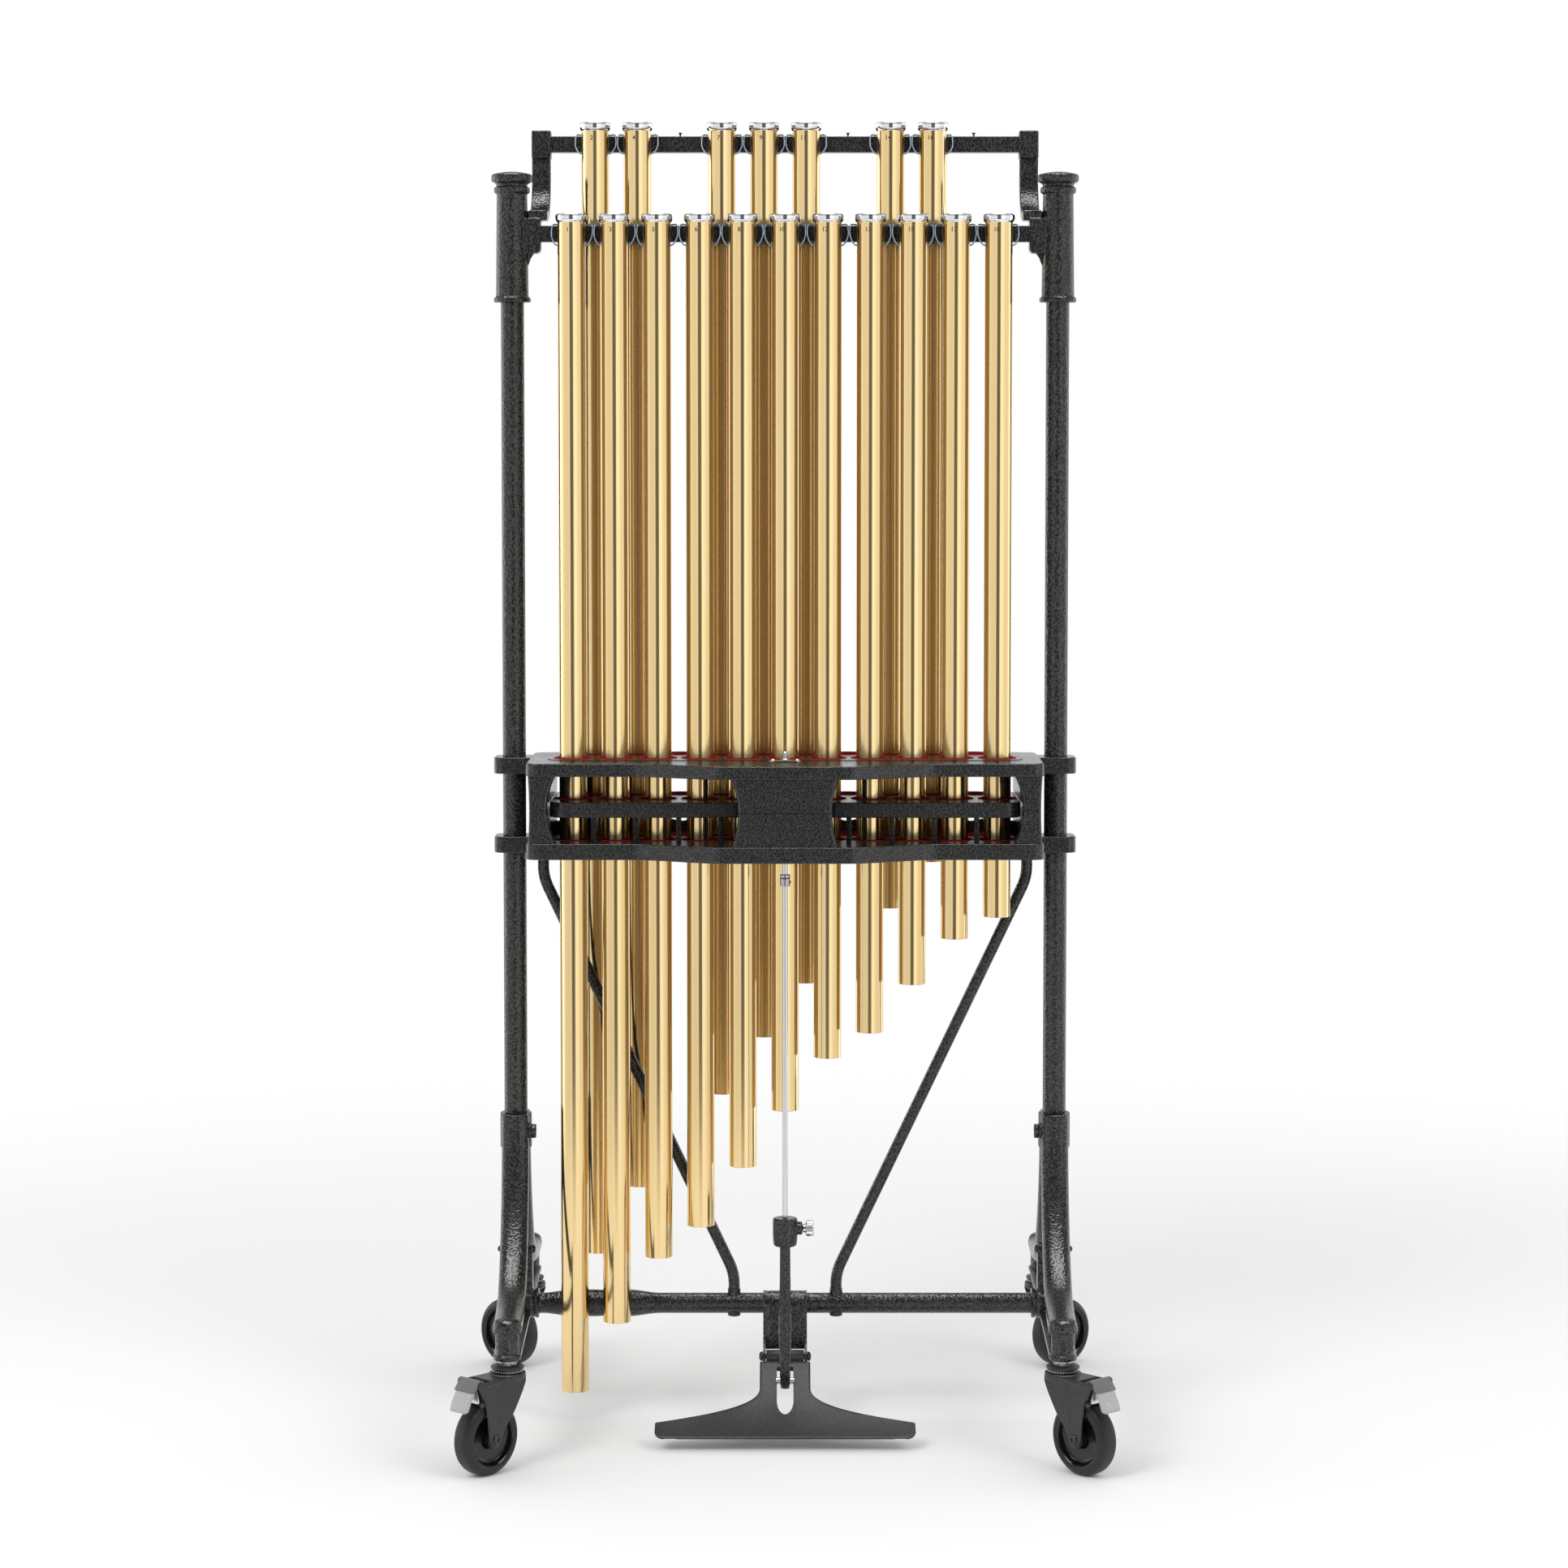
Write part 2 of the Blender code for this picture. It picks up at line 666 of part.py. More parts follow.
def make_sleeve(name, side):
    """The bracket casting: a sleeve on the post, a block for one rail, an arm for the other."""
    ring = SLEEVE_RING_OD / 2
    outer = SLEEVE_OD / 2
    top = SLEEVE_HEIGHT
    low = SLEEVE_RING_HEIGHT
    profile = [
        (ring - 0.001, top),
        (ring - 0.001, top - low),
        (outer, top - low),
        (outer, low),
        (ring, low),
        (ring, 0.0),
        (POST_CLEAR, 0.0),
        (POST_CLEAR, top),
    ]
    sleeve = turned(name, profile, (side * POST_X, 0.0, SLEEVE_BOTTOM_Z), POST_SIDES, closed=True)
    block_top = FRONT_RAIL_TOP_Z + BLOCK_ABOVE_RAIL
    block_low = block_top - BLOCK_HEIGHT
    inner = BLOCK_INNER_X
    outer_x = inner + BLOCK_WIDTH
    corner = [(inner, block_low), (outer_x, block_low), (outer_x, block_top), (inner, block_top)]
    round_corner = fillet(corner[0], corner[3], corner[1], 0.007)
    outline = round_corner + corner[1:]
    outline = [(side * x, z) for x, z in outline]
    block = front_solid(name + "_block", outline, FRONT_RAIL_Y - BLOCK_DEPTH / 2, FRONT_RAIL_Y + BLOCK_DEPTH / 2)
    arm = make_arm(name + "_arm", side, block_top)
    head_top = BACK_RAIL_TOP_Z + HEAD_ABOVE_RAIL
    head = cuboid(
        name + "_head",
        (min(side * (ARM_INNER_X - 0.001), side * (ARM_INNER_X + ARM_WIDTH)), BACK_RAIL_Y - HEAD_DEPTH / 2,
         head_top - HEAD_HEIGHT),
        (max(side * (ARM_INNER_X - 0.001), side * (ARM_INNER_X + ARM_WIDTH)), BACK_RAIL_Y + HEAD_DEPTH / 2,
         head_top),
    )
    rib_top = block_low + 0.004
    rib = front_solid(
        name + "_rib",
        [
            (side * (inner + 0.009), rib_top),
            (side * (outer_x - 0.001), rib_top),
            (side * (outer_x - 0.001), rib_top - RIB_HEIGHT),
            (side * (outer_x - 0.004), rib_top - RIB_HEIGHT),
        ],
        -RIB_THICKNESS / 2,
        RIB_THICKNESS / 2,
    )
    bore = cylinder(
        name + "_bore",
        (side * POST_X, 0.0, SLEEVE_BOTTOM_Z - 0.01),
        (side * POST_X, 0.0, POST_TOP_Z + 0.2),
        POST_CLEAR,
        POST_SIDES,
        helper=True,
    )
    return finish(cut(join(sleeve, [block, arm, head, rib]), [bore]), HAMMERED)


def make_arm(name, side, block_top):
    """The curved plate from the front rail's block back and up to the back rail's head."""
    steps = 4
    half = ARM_THICKNESS / 2
    base_z = block_top + half - 0.003
    centre_y = BACK_RAIL_Y - ARM_BEND
    centre_z = base_z + ARM_BEND
    front, back = [], []
    for i in range(steps + 1):
        angle = math.radians(-90 + 90 * i / steps)
        direction = Vector((math.cos(angle), math.sin(angle)))
        middle = Vector((centre_y, centre_z))
        front.append(tuple(middle + direction * (ARM_BEND - half)))
        back.append(tuple(middle + direction * (ARM_BEND + half)))
    start_y = FRONT_RAIL_Y - BLOCK_DEPTH / 2 + 0.002
    end_z = BACK_RAIL_TOP_Z - 0.005
    outline = [(start_y, base_z + half)] + front + [(BACK_RAIL_Y - half, end_z), (BACK_RAIL_Y + half, end_z)]
    outline += list(reversed(back)) + [(start_y, base_z - half)]
    ends = sorted((side * ARM_INNER_X, side * (ARM_INNER_X + ARM_WIDTH)))
    return side_solid(name, outline, ends[0], ends[1])


def make_post(name, cap_name, side):
    """A post, and the turned cap on top of its sleeve."""
    x = side * POST_X
    outer = POST_OD / 2
    wall = [
        (outer, POST_TOP_Z),
        (outer, POST_BOTTOM_Z),
        (outer - POST_WALL, POST_BOTTOM_Z),
        (outer - POST_WALL, POST_TOP_Z),
    ]
    finish(turned(name, wall, (x, 0.0, 0.0), POST_SIDES, closed=True), HAMMERED)
    neck = POST_CAP_NECK_OD / 2
    rim = POST_CAP_OD / 2
    rim_z = POST_CAP_NECK_HEIGHT
    edge = 0.0025
    top_z = rim_z + POST_CAP_RIM_HEIGHT
    profile = [
        (0.0, top_z + POST_CAP_DOME),
        (rim * 0.5, top_z + POST_CAP_DOME * 0.75),
        (rim - edge, top_z),
        (rim, top_z - edge),
        (rim, rim_z + edge),
        (rim - edge, rim_z),
        (neck, rim_z * 0.5),
        (neck + 0.001, 0.0),
        (0.0, 0.0),
    ]
    finish(turned(cap_name, profile, (x, 0.0, POST_TOP_Z + GAP), POST_SIDES), HAMMERED)


def leg_path(stem_x, front):
    """Middle points of a leg, from its socket down and out to its stem."""
    top = SOCKET_BOTTOM_Z + SOCKET_HEIGHT
    collar = LEG_BOTTOM_Z + STEM_SLEEVE_HEIGHT
    fall = top - collar
    out = STEM_Y
    shares = (
        (0.059, 0.000),
        (0.073, 0.190),
        (0.125, 0.407),
        (0.200, 0.579),
        (0.293, 0.730),
        (0.396, 0.853),
        (0.540, 0.960),
        (0.714, 1.006),
        (0.897, 1.021),
        (1.000, 1.023),
    )
    points = []
    for share_y, share_z in shares:
        x = POST_X + (stem_x - POST_X) * share_y
        points.append(Vector((x, out * share_y * (-1 if front else 1), top - fall * share_z)))
    return points


def leg_rings(path):
    """Rounded sections square to the path, which starts straight down beside the post."""
    rings = []
    last = len(path) - 1
    for i, point in enumerate(path):
        run = path[min(i + 1, last)] - path[max(i - 1, 0)]
        if i == 0:
            run = Vector((0.0, 0.0, -1.0))
        across = Vector((1.0, 0.0, 0.0))
        deep = run.normalized().cross(across).normalized()
        ring = []
        for step in range(10):
            angle = 2 * math.pi * (step + 0.5) / 10
            c, s = math.cos(angle), math.sin(angle)
            bulge = (abs(c) ** 2.6 + abs(s) ** 2.6) ** (-1 / 2.6)
            ring.append(point + across * (LEG_WIDTH / 2 * c * bulge) + deep * (LEG_THICKNESS / 2 * s * bulge))
        rings.append(ring)
    return rings


def make_leg(name, side, front):
    """A cast leg: half a clamp, a swept arm, a caster stem's sleeve, and a flat brace to the post's foot."""
    stem_x = FRONT_STEM_X if front else BACK_STEM_X
    toward = -1 if front else 1
    path = leg_path(stem_x, front)
    rings = [[Vector((side * p.x, p.y, p.z)) for p in ring] for ring in leg_rings(path)]
    leg = loft(name, rings)
    socket = cylinder(
        name + "_socket",
        (side * POST_X, 0.0, SOCKET_BOTTOM_Z),
        (side * POST_X, 0.0, SOCKET_BOTTOM_Z + SOCKET_HEIGHT),
        SOCKET_OD / 2,
        POST_SIDES,
    )
    sleeve = STEM_SLEEVE_OD / 2
    collar = LEG_COLLAR_OD / 2
    flange = LEG_FLANGE_OD / 2
    profile = [
        (0.0, STEM_SLEEVE_HEIGHT + LEG_HUB_RISE),
        (collar * 0.6, STEM_SLEEVE_HEIGHT + LEG_HUB_RISE),
        (collar * 0.87, STEM_SLEEVE_HEIGHT + LEG_HUB_RISE * 0.7),
        (collar, STEM_SLEEVE_HEIGHT + 0.001),
        (collar, STEM_SLEEVE_HEIGHT - LEG_COLLAR_HEIGHT + 0.002),
        (sleeve, STEM_SLEEVE_HEIGHT - LEG_COLLAR_HEIGHT),
        (sleeve, LEG_FLANGE_HEIGHT + 0.001),
        (flange, LEG_FLANGE_HEIGHT - 0.001),
        (flange, 0.001),
        (flange - 0.001, 0.0),
        (0.0, 0.0),
    ]
    foot = turned(name + "_foot", profile, (side * stem_x, toward * STEM_Y, LEG_BOTTOM_Z), 12)
    near, far = POST_CLEAR + BRACE_WALL, flange - 0.0005
    brace_low = LEG_BOTTOM_Z + 0.0005
    brace = outline_solid(
        name + "_brace",
        [
            [
                (side * (POST_X - near), 0.0),
                (side * (POST_X + near), 0.0),
                (side * (stem_x + far), toward * STEM_Y),
                (side * (stem_x - far), toward * STEM_Y),
            ]
        ],
        brace_low,
        brace_low + BRACE_THICKNESS,
    )
    solids = [socket, solid_mesh(foot), brace]
    if front:
        bolt_z = SOCKET_BOTTOM_Z + SOCKET_HEIGHT / 2
        bolt_y = toward * BOLT_ACROSS * 0.55
        bolt_x = POST_X - SOCKET_OD / 2
        solids.append(
            cylinder(
                name + "_bolt",
                (side * (bolt_x + 0.006), bolt_y, bolt_z),
                (side * (bolt_x - BOLT_LENGTH + 0.002), bolt_y, bolt_z),
                BOLT_ACROSS / 2,
                6,
            )
        )
    halves = sorted((toward * GAP / 2, -toward * 0.2))
    keep_clear = cuboid(name + "_split", (side * POST_X - 0.1, halves[0], 0.1), (side * POST_X + 0.1, halves[1], 0.6),
                        helper=True)
    bore = cylinder(
        name + "_bore", (side * POST_X, 0.0, 0.1), (side * POST_X, 0.0, 0.6), POST_CLEAR, POST_SIDES, helper=True
    )
    notch = CROSSBAR_FLANGE_OD / 2 + GAP
    ends = sorted((side * (POST_FACE_X - CROSSBAR_FLANGE_WIDTH), side * (POST_FACE_X + CROSSBAR_WRAP + GAP)))
    notch_box = cuboid(
        name + "_notch",
        (ends[0], -notch, CROSSBAR_Z - notch),
        (ends[1], notch, CROSSBAR_Z + notch),
        helper=True,
    )
    stem_bore = cylinder(
        name + "_stem_bore",
        (side * stem_x, toward * STEM_Y, LEG_BOTTOM_Z - 0.01),
        (side * stem_x, toward * STEM_Y, LEG_BOTTOM_Z + STEM_LENGTH + 0.004),
        STEM_OD / 2 + RUNNING,
        12,
        helper=True,
    )
    return finish(cut(join(leg, solids), [keep_clear, bore, stem_bore, notch_box]), HAMMERED)


def make_lug(side):
    """An upright lug over a flange of the crossbar, with the bolt that holds it to the post."""
    half = LUG_WIDTH / 2
    bolt_z = CROSSBAR_Z + LUG_BOLT_RISE
    steps = 4
    outline = [(-half, CROSSBAR_Z + CROSSBAR_OD / 2), (half, CROSSBAR_Z + CROSSBAR_OD / 2)]
    for i in range(steps + 1):
        angle = math.pi * i / steps
        outline.append((half * math.cos(angle), bolt_z + half * math.sin(angle)))
    face = POST_FACE_X - LUG_THICKNESS
    ends = sorted((side * face, side * (POST_FACE_X + CROSSBAR_WRAP / 2)))
    bolt = cylinder(
        f"crossbar_bolt_{side}",
        (side * (face + LUG_THICKNESS / 2), 0.0, bolt_z),
        (side * (face - LUG_BOLT_HEIGHT), 0.0, bolt_z),
        LUG_BOLT_OD / 2,
        8,
    )
    return [side_solid(f"crossbar_lug_{side}", outline, ends[0], ends[1]), bolt]


def make_crossbar():
    """The round bar between the posts, with its end flanges, lugs, one swell and the stay bosses."""
    radius = CROSSBAR_OD / 2
    flange = CROSSBAR_FLANGE_OD / 2
    end = POST_FACE_X + CROSSBAR_WRAP
    shoulder = POST_FACE_X - CROSSBAR_FLANGE_WIDTH - 0.002
    swell = (SWELL_OD - CROSSBAR_OD) / 2
    profile = [(0.0, end), (flange, end), (flange, shoulder), (radius, shoulder - 0.002)]
    for i in range(7):
        t = 1 - i / 3
        profile.append((radius + swell * (1 - ease(abs(t))), SWELL_X + SWELL_HALF_LENGTH * t))
    profile += [(radius, -shoulder + 0.002), (flange, -shoulder), (flange, -end), (0.0, -end)]
    bar_solid = turned("crossbar", profile, (0.0, 0.0, CROSSBAR_Z), CROSSBAR_SIDES, along=(1.0, 0.0, 0.0))
    bosses = []
    reach = radius + STAY_BOSS_HEIGHT
    for side in (-1, 1):
        bosses.append(
            cylinder(
                f"crossbar_boss_{side}",
                (side * STAY_FOOT_X, 0.0, CROSSBAR_Z - reach),
                (side * STAY_FOOT_X, 0.0, CROSSBAR_Z + reach),
                STAY_BOSS_OD / 2,
                8,
            )
        )
        bosses += make_lug(side)
    posts = [
        cylinder(f"crossbar_post_{side}", (side * POST_X, 0, 0.05), (side * POST_X, 0, 0.3), POST_CLEAR, POST_SIDES, True)
        for side in (-1, 1)
    ]
    return finish(cut(join(bar_solid, bosses), posts), HAMMERED)


def bend_points(before, corner, after, radius, steps=5):
    """Points round a bend of a bar in three dimensions."""
    corner = Vector(corner)
    one = (Vector(before) - corner).normalized()
    two = (Vector(after) - corner).normalized()
    half = one.angle(two) / 2
    back = radius / math.tan(half)
    centre = corner + (one + two).normalized() * (radius / math.sin(half))
    first = corner + one * back - centre
    last = corner + two * back - centre
    return [centre + first.slerp(last, i / steps).normalized() * radius for i in range(steps + 1)]


def make_stay(name, side):
    """A bent round bar from under the damper box down and in to the crossbar."""
    top = Vector((side * STAY_TOP_X, 0.0, BOX_BOTTOM_Z - GAP))
    foot = Vector((side * STAY_FOOT_X, 0.0, CROSSBAR_Z + CROSSBAR_OD / 2 + STAY_BOSS_HEIGHT + GAP))
    high = top - Vector((0.0, 0.0, STAY_TOP_RUN))
    low = foot + Vector((0.0, 0.0, STAY_FOOT_RUN))
    route = [top] + bend_points(top, high, low, STAY_BEND_RADIUS)
    route += bend_points(high, low, foot, STAY_BEND_RADIUS) + [foot]
    return finish(bar(name, route, STAY_OD / 2, rounds=1), HAMMERED)


def box_outline(inset=0.0):
    """The plan of the damper box: straight at its back and ends, with a belly in front."""
    width = BOX_HALF_WIDTH - inset
    back = BOX_BACK_Y - inset
    front = BOX_FRONT_Y + inset
    corners = [(-width, back), (-width, front), (width, front), (width, back)]
    made = []
    for number, corner in enumerate(corners):
        before = corners[number - 1]
        after = corners[(number + 1) % 4]
        made += fillet(corner, before, after, BOX_CORNER, 2)
        if number == 1:
            made += belly_points(inset)
    return made


def belly_points(inset):
    """The front edge between its two corners, from -X to +X."""
    steps = 5
    left = []
    for i in range(steps):
        share = (i + 0.35) / (steps - 0.65)
        x = BELLY_OUTER + (BELLY_INNER - BELLY_OUTER) * share
        y = BOX_FRONT_Y + inset + (BOX_BELLY_Y - BOX_FRONT_Y) * ease(share)
        left.append((-x, y))
    return left + [(-x, y) for x, y in reversed(left)]


def ring_holes(shift=0.0):
    """The bores for the tubes: every place in the front row and in the back row."""
    front = [(place_x(i), FRONT_TUBE_Y + shift) for i in range(PLACES)]
    back = [(place_x(i), BACK_TUBE_Y + shift) for i in BACK_PIN_PLACES]
    return [circle(centre, RING_BORE / 2, TUBE_SIDES) for centre in front + back]


def clamp_ear(name, side, z_low, z_high):
    """The end of a box casting that holds on to the post."""
    inner = BOX_HALF_WIDTH - CLAMP_BITE
    outer = POST_X + CLAMP_REACH
    points = [(inner, -CLAMP_REACH), (outer, -CLAMP_REACH), (outer, CLAMP_REACH), (inner, CLAMP_REACH)]
    outline = [points[0]]
    outline += fillet(points[1], points[0], points[2], 0.012)
    outline += fillet(points[2], points[1], points[3], 0.012)
    outline.append(points[3])
    outline = [(side * x, y) for x, y in outline]
    return outline_solid(name, [outline], z_low, z_high)


def cheek_outline(inner_edge, outer_edge, z_low, z_high, steps=2):
    """A half cheek seen from in front: straight outside, waisted towards the seam inside."""
    inner, outer = [], []
    for i in range(steps + 1):
        z = z_low + (z_high - z_low) * i / steps
        inner.append((inner_edge(z), z))
        outer.append((outer_edge(z), z))
    return outer + list(reversed(inner))


def waist(z):
    """How far the windows of the box bulge into the cheeks at a height."""
    reach = (BOX_TOP_Z - TOP_PLATE - BOX_BOTTOM_Z - BOTTOM_PLATE) / 2
    return CHEEK_WAIST * max(0.0, 1 - ((z - SEAM_Z) / reach) ** 2)


def make_box_half(name, top):
    """One casting of the damper box: a plate, two end cheeks, a centre cheek and two clamps."""
    bite = 0.004
    if top:
        plate_low, plate_high = BOX_TOP_Z - TOP_PLATE, BOX_TOP_Z
        clamp_low, clamp_high = BOX_TOP_Z - CLAMP_HEIGHT, BOX_TOP_Z
        z_low, z_high = SEAM_Z + GAP / 2, plate_low + bite
        ledge_low = GRID_Z + GRID_THICKNESS + GAP
        ledge_high = ledge_low + LEDGE_HEIGHT
    else:
        plate_low, plate_high = BOX_BOTTOM_Z, BOX_FLOOR_Z
        clamp_low, clamp_high = BOX_BOTTOM_Z - 0.001, BOX_BOTTOM_Z - 0.001 + CLAMP_HEIGHT
        z_low, z_high = plate_high - bite, SEAM_Z - GAP / 2
        ledge_high = GRID_Z - GAP
        ledge_low = ledge_high - LEDGE_HEIGHT
    rod_hole = circle((0.0, ROD_Y), ROD_HOLE / 2, ROD_SIDES)
    plate = outline_solid(name, [box_outline(), *ring_holes(), rod_hole], plate_low, plate_high)
    solids = []
    for side in (-1, 1):
        tag = f"{name}_{'left' if side < 0 else 'right'}"
        outer_x = BOX_HALF_WIDTH - CHEEK_INSET
        inner_x = BOX_HALF_WIDTH - END_CHEEK_WIDTH
        outline = cheek_outline(
            lambda z: side * (inner_x + waist(z)), lambda z: side * (outer_x - 0.15 * waist(z)), z_low, z_high
        )
        front = BOX_FRONT_Y + CHEEK_INSET
        solids.append(front_solid(tag + "_cheek", outline, front, front + CHEEK_DEPTH))
        wall = sorted((side * (outer_x - 0.003), side * (BOX_HALF_WIDTH - END_WALL)))
        solids.append(
            cuboid(
                tag + "_wall",
                (wall[0], front + CHEEK_DEPTH / 2, z_low + SEAM_STEP),
                (wall[1], BOX_BACK_Y - 0.004, z_high - SEAM_STEP),
            )
        )
        ledge = sorted((side * (outer_x - 0.006), side * (BOX_HALF_WIDTH - END_WALL - LEDGE_DEPTH)))
        solids.append(
            cuboid(tag + "_ledge", (ledge[0], GRID_FRONT_Y, ledge_low), (ledge[1], GRID_BACK_Y, ledge_high))
        )
        solids.append(clamp_ear(tag + "_clamp", side, clamp_low, clamp_high))
        rib = sorted((side * 0.046, side * 0.054))
        belly = BOX_BELLY_Y + CHEEK_INSET
        solids.append(
            cuboid(
                tag + "_rib",
                (rib[0], belly + CENTRE_CHEEK_DEPTH / 2, z_low + SEAM_STEP),
                (rib[1], belly + 0.052, z_high - SEAM_STEP),
            )
        )
    if not top:
        reach = BOX_HALF_WIDTH - END_WALL + 0.004
        back = BOX_BACK_Y - 0.0015
        solids.append(
            cuboid(
                name + "_back_wall",
                (-reach, back - BACK_WALL_THICKNESS, BOX_FLOOR_Z - bite),
                (reach, back, BOX_FLOOR_Z + BACK_WALL_HEIGHT),
            )
        )
    half = CENTRE_CHEEK_WIDTH / 2
    outline = cheek_outline(lambda z: half - 0.7 * waist(z), lambda z: -half + 0.7 * waist(z), z_low, z_high)
    belly = BOX_BELLY_Y + CHEEK_INSET
    solids.append(front_solid(name + "_centre", outline, belly, belly + CENTRE_CHEEK_DEPTH))
    posts = [
        cylinder(
            f"{name}_post_{side}",
            (side * POST_X, 0.0, clamp_low - 0.05),
            (side * POST_X, 0.0, clamp_high + 0.05),
            POST_CLEAR,
            POST_SIDES,
            helper=True,
        )
        for side in (-1, 1)
    ]
    return finish(cut(join(plate, solids), posts), FELTED)


def make_grid():
    """The middle plate, which rests with its felts against the tubes until the pedal slides it off them."""
    width, front, back = GRID_HALF_WIDTH, GRID_FRONT_Y, GRID_BACK_Y
    notch, notch_y, corner = GRID_NOTCH_HALF_WIDTH, GRID_NOTCH_Y, GRID_CORNER
    outline = [
        (-width, back - 0.006),
        (-width, front + corner),
        (-width + corner, front),
        (-notch - 0.006, front),
        (-notch, notch_y),
        (notch, notch_y),
        (notch + 0.006, front),
        (width - corner, front),
        (width, front + corner),
        (width, back - 0.006),
        (width - 0.006, back),
        (-width + 0.006, back),
    ]
    outline = [(x, y - GRID_REST_SHIFT) for x, y in outline]
    holes = ring_holes(-GRID_REST_SHIFT)
    return finish(outline_solid("damper_grid", [outline, *holes], GRID_Z, GRID_Z + GRID_THICKNESS), FELTED)


def make_pull_rod():
    """The rod that the pedal pulls down, with a seat for its return spring, and its stop collar."""
    radius = ROD_OD / 2
    seat = SPRING_SEAT_OD / 2
    profile = [
        (0.0, ROD_TOP_Z),
        (radius, ROD_TOP_Z),
        (radius, SPRING_SEAT_Z + SPRING_SEAT_HEIGHT),
        (seat, SPRING_SEAT_Z + SPRING_SEAT_HEIGHT),
        (seat, SPRING_SEAT_Z),
        (radius, SPRING_SEAT_Z),
        (radius, ROD_BOTTOM_Z),
        (0.0, ROD_BOTTOM_Z),
    ]
    finish(turned("pull_rod", profile, (0.0, ROD_Y, 0.0), ROD_SIDES), ROD_STEEL)
    inner = radius + GAP
    outer = STOP_COLLAR_OD / 2
    ring = [
        (outer, STOP_COLLAR_TOP_Z),
        (outer, STOP_COLLAR_TOP_Z - STOP_COLLAR_HEIGHT),
        (inner, STOP_COLLAR_TOP_Z - STOP_COLLAR_HEIGHT),
        (inner, STOP_COLLAR_TOP_Z),
    ]
    finish(turned("stop_collar", ring, (0.0, ROD_Y, 0.0), ROD_SIDES, closed=True), CHROME)


def make_spring():
    """The return spring on the rod, between the box's floor and the rod's seat."""
    low = BOX_FLOOR_Z + SPRING_WIRE / 2 + GAP
    high = SPRING_SEAT_Z - SPRING_WIRE / 2 - GAP
    radius = (SPRING_OD - SPRING_WIRE) / 2
    steps = 8
    count = SPRING_TURNS * steps
    route = []
    for i in range(count + 1):
        angle = 2 * math.pi * i / steps
        height = low + (high - low) * i / count
        route.append((radius * math.cos(angle), ROD_Y + radius * math.sin(angle), height))
    clear = (high - low) / SPRING_TURNS - SPRING_WIRE
    print(f"return spring: least gap between turns {clear * 1000:.2f} mm")
    return finish(bar("return_spring", route, SPRING_WIRE / 2, rounds=0), ROD_STEEL)


def make_link():
    """The cast coupler and link: clamped on the rod above, with an eye for the pedal's pin below."""
    top = COUPLER_TOP_Z
    bottom = top - COUPLER_HEIGHT
    body = COUPLER_OD / 2
    foot = COUPLER_FOOT_OD / 2
    link = LINK_OD / 2
    eye_top = PEDAL_PIN_Z + 0.055
    profile = [
        (0.0, top),
        (body - 0.004, top),
        (body, top - 0.004),
        (body, top - COUPLER_HEIGHT * 0.6),
        (foot, bottom + 0.003),
        (foot - 0.002, bottom),
        (link, bottom),
        (link, eye_top),
        (0.0, eye_top),
    ]
    coupler = turned("link_arm", profile, (0.0, ROD_Y, 0.0), 16)
    pin_y = PEDAL_PIN_Y
    half_x = LINK_EYE_WIDTH / 2
    half_y = LINK_EYE_DEPTH / 2
    low = PEDAL_PIN_Z - 0.0105
    sections = (
        (eye_top + 0.012, ROD_Y, link * 0.47, link * 0.47),
        (eye_top - 0.005, ROD_Y + 0.001, half_x + 0.0006, link * 0.52),
        (PEDAL_PIN_Z + 0.014, pin_y - 0.003, half_x, half_y + 0.001),
        (PEDAL_PIN_Z - 0.004, pin_y + 0.0014, half_x - 0.0004, half_y - 0.0018),
        (low, pin_y + 0.0014, half_x - 0.0014, half_y - 0.0061),
    )
    rings = []
    for z, y, across, deep in sections:
        ring = []
        for step in range(10):
            angle = 2 * math.pi * (step + 0.27) / 10
            c, s = math.cos(angle), math.sin(angle)
            bulge = (abs(c) ** 3 + abs(s) ** 3) ** (-1 / 3)
            ring.append(Vector((across * c * bulge, y + deep * s * bulge, z)))
        rings.append(ring)
    eye = loft("link_eye", rings)
    screw_z = top - SCREW_DROP
    boss = cylinder(
        "link_boss",
        (body - 0.006, ROD_Y, screw_z),
        (body + SCREW_BOSS_LENGTH - 0.001, ROD_Y, screw_z),
        SCREW_BOSS_OD / 2,
        12,
    )
    rod_bore = cylinder(
        "link_rod_bore", (0.0, ROD_Y, ROD_BOTTOM_Z - GAP), (0.0, ROD_Y, top + 0.01), ROD_OD / 2 + GAP, ROD_SIDES, True
    )
    screw_bore = cylinder(
        "link_screw_bore",
        (ROD_OD / 2 - 0.001, ROD_Y, screw_z),
        (body + SCREW_BOSS_LENGTH + 0.01, ROD_Y, screw_z),
        SCREW_SHANK_OD / 2 + GAP,
        8,
        helper=True,
    )
    slot = pin_slot()
    return finish(cut(join(coupler, [eye, boss]), [rod_bore, screw_bore, slot]), HAMMERED)


def pin_slot():
    """The eye is longer than the pin is thick, because the pin swings on an arc and the link doesn't."""
    radius = PEDAL_PIN_OD / 2 + RUNNING + 0.0002
    angle = math.radians(PEDAL_ANGLE_DEG)
    arm_y, arm_z = PEDAL_PIN_Y - HINGE_Y, PEDAL_PIN_Z - HINGE_Z
    swing = arm_y * math.cos(angle) - arm_z * math.sin(angle) - arm_y
    low_y, high_y = PEDAL_PIN_Y, PEDAL_PIN_Y + swing
    outline = []
    for i in range(9):
        turn = math.radians(90 + 180 * i / 8)
        outline.append((low_y + radius * math.cos(turn), PEDAL_PIN_Z + radius * math.sin(turn)))
    for i in range(9):
        turn = math.radians(-90 + 180 * i / 8)
        outline.append((high_y + radius * math.cos(turn), PEDAL_PIN_Z + radius * math.sin(turn)))
    return side_solid("link_slot", outline, -0.03, 0.03, helper=True)


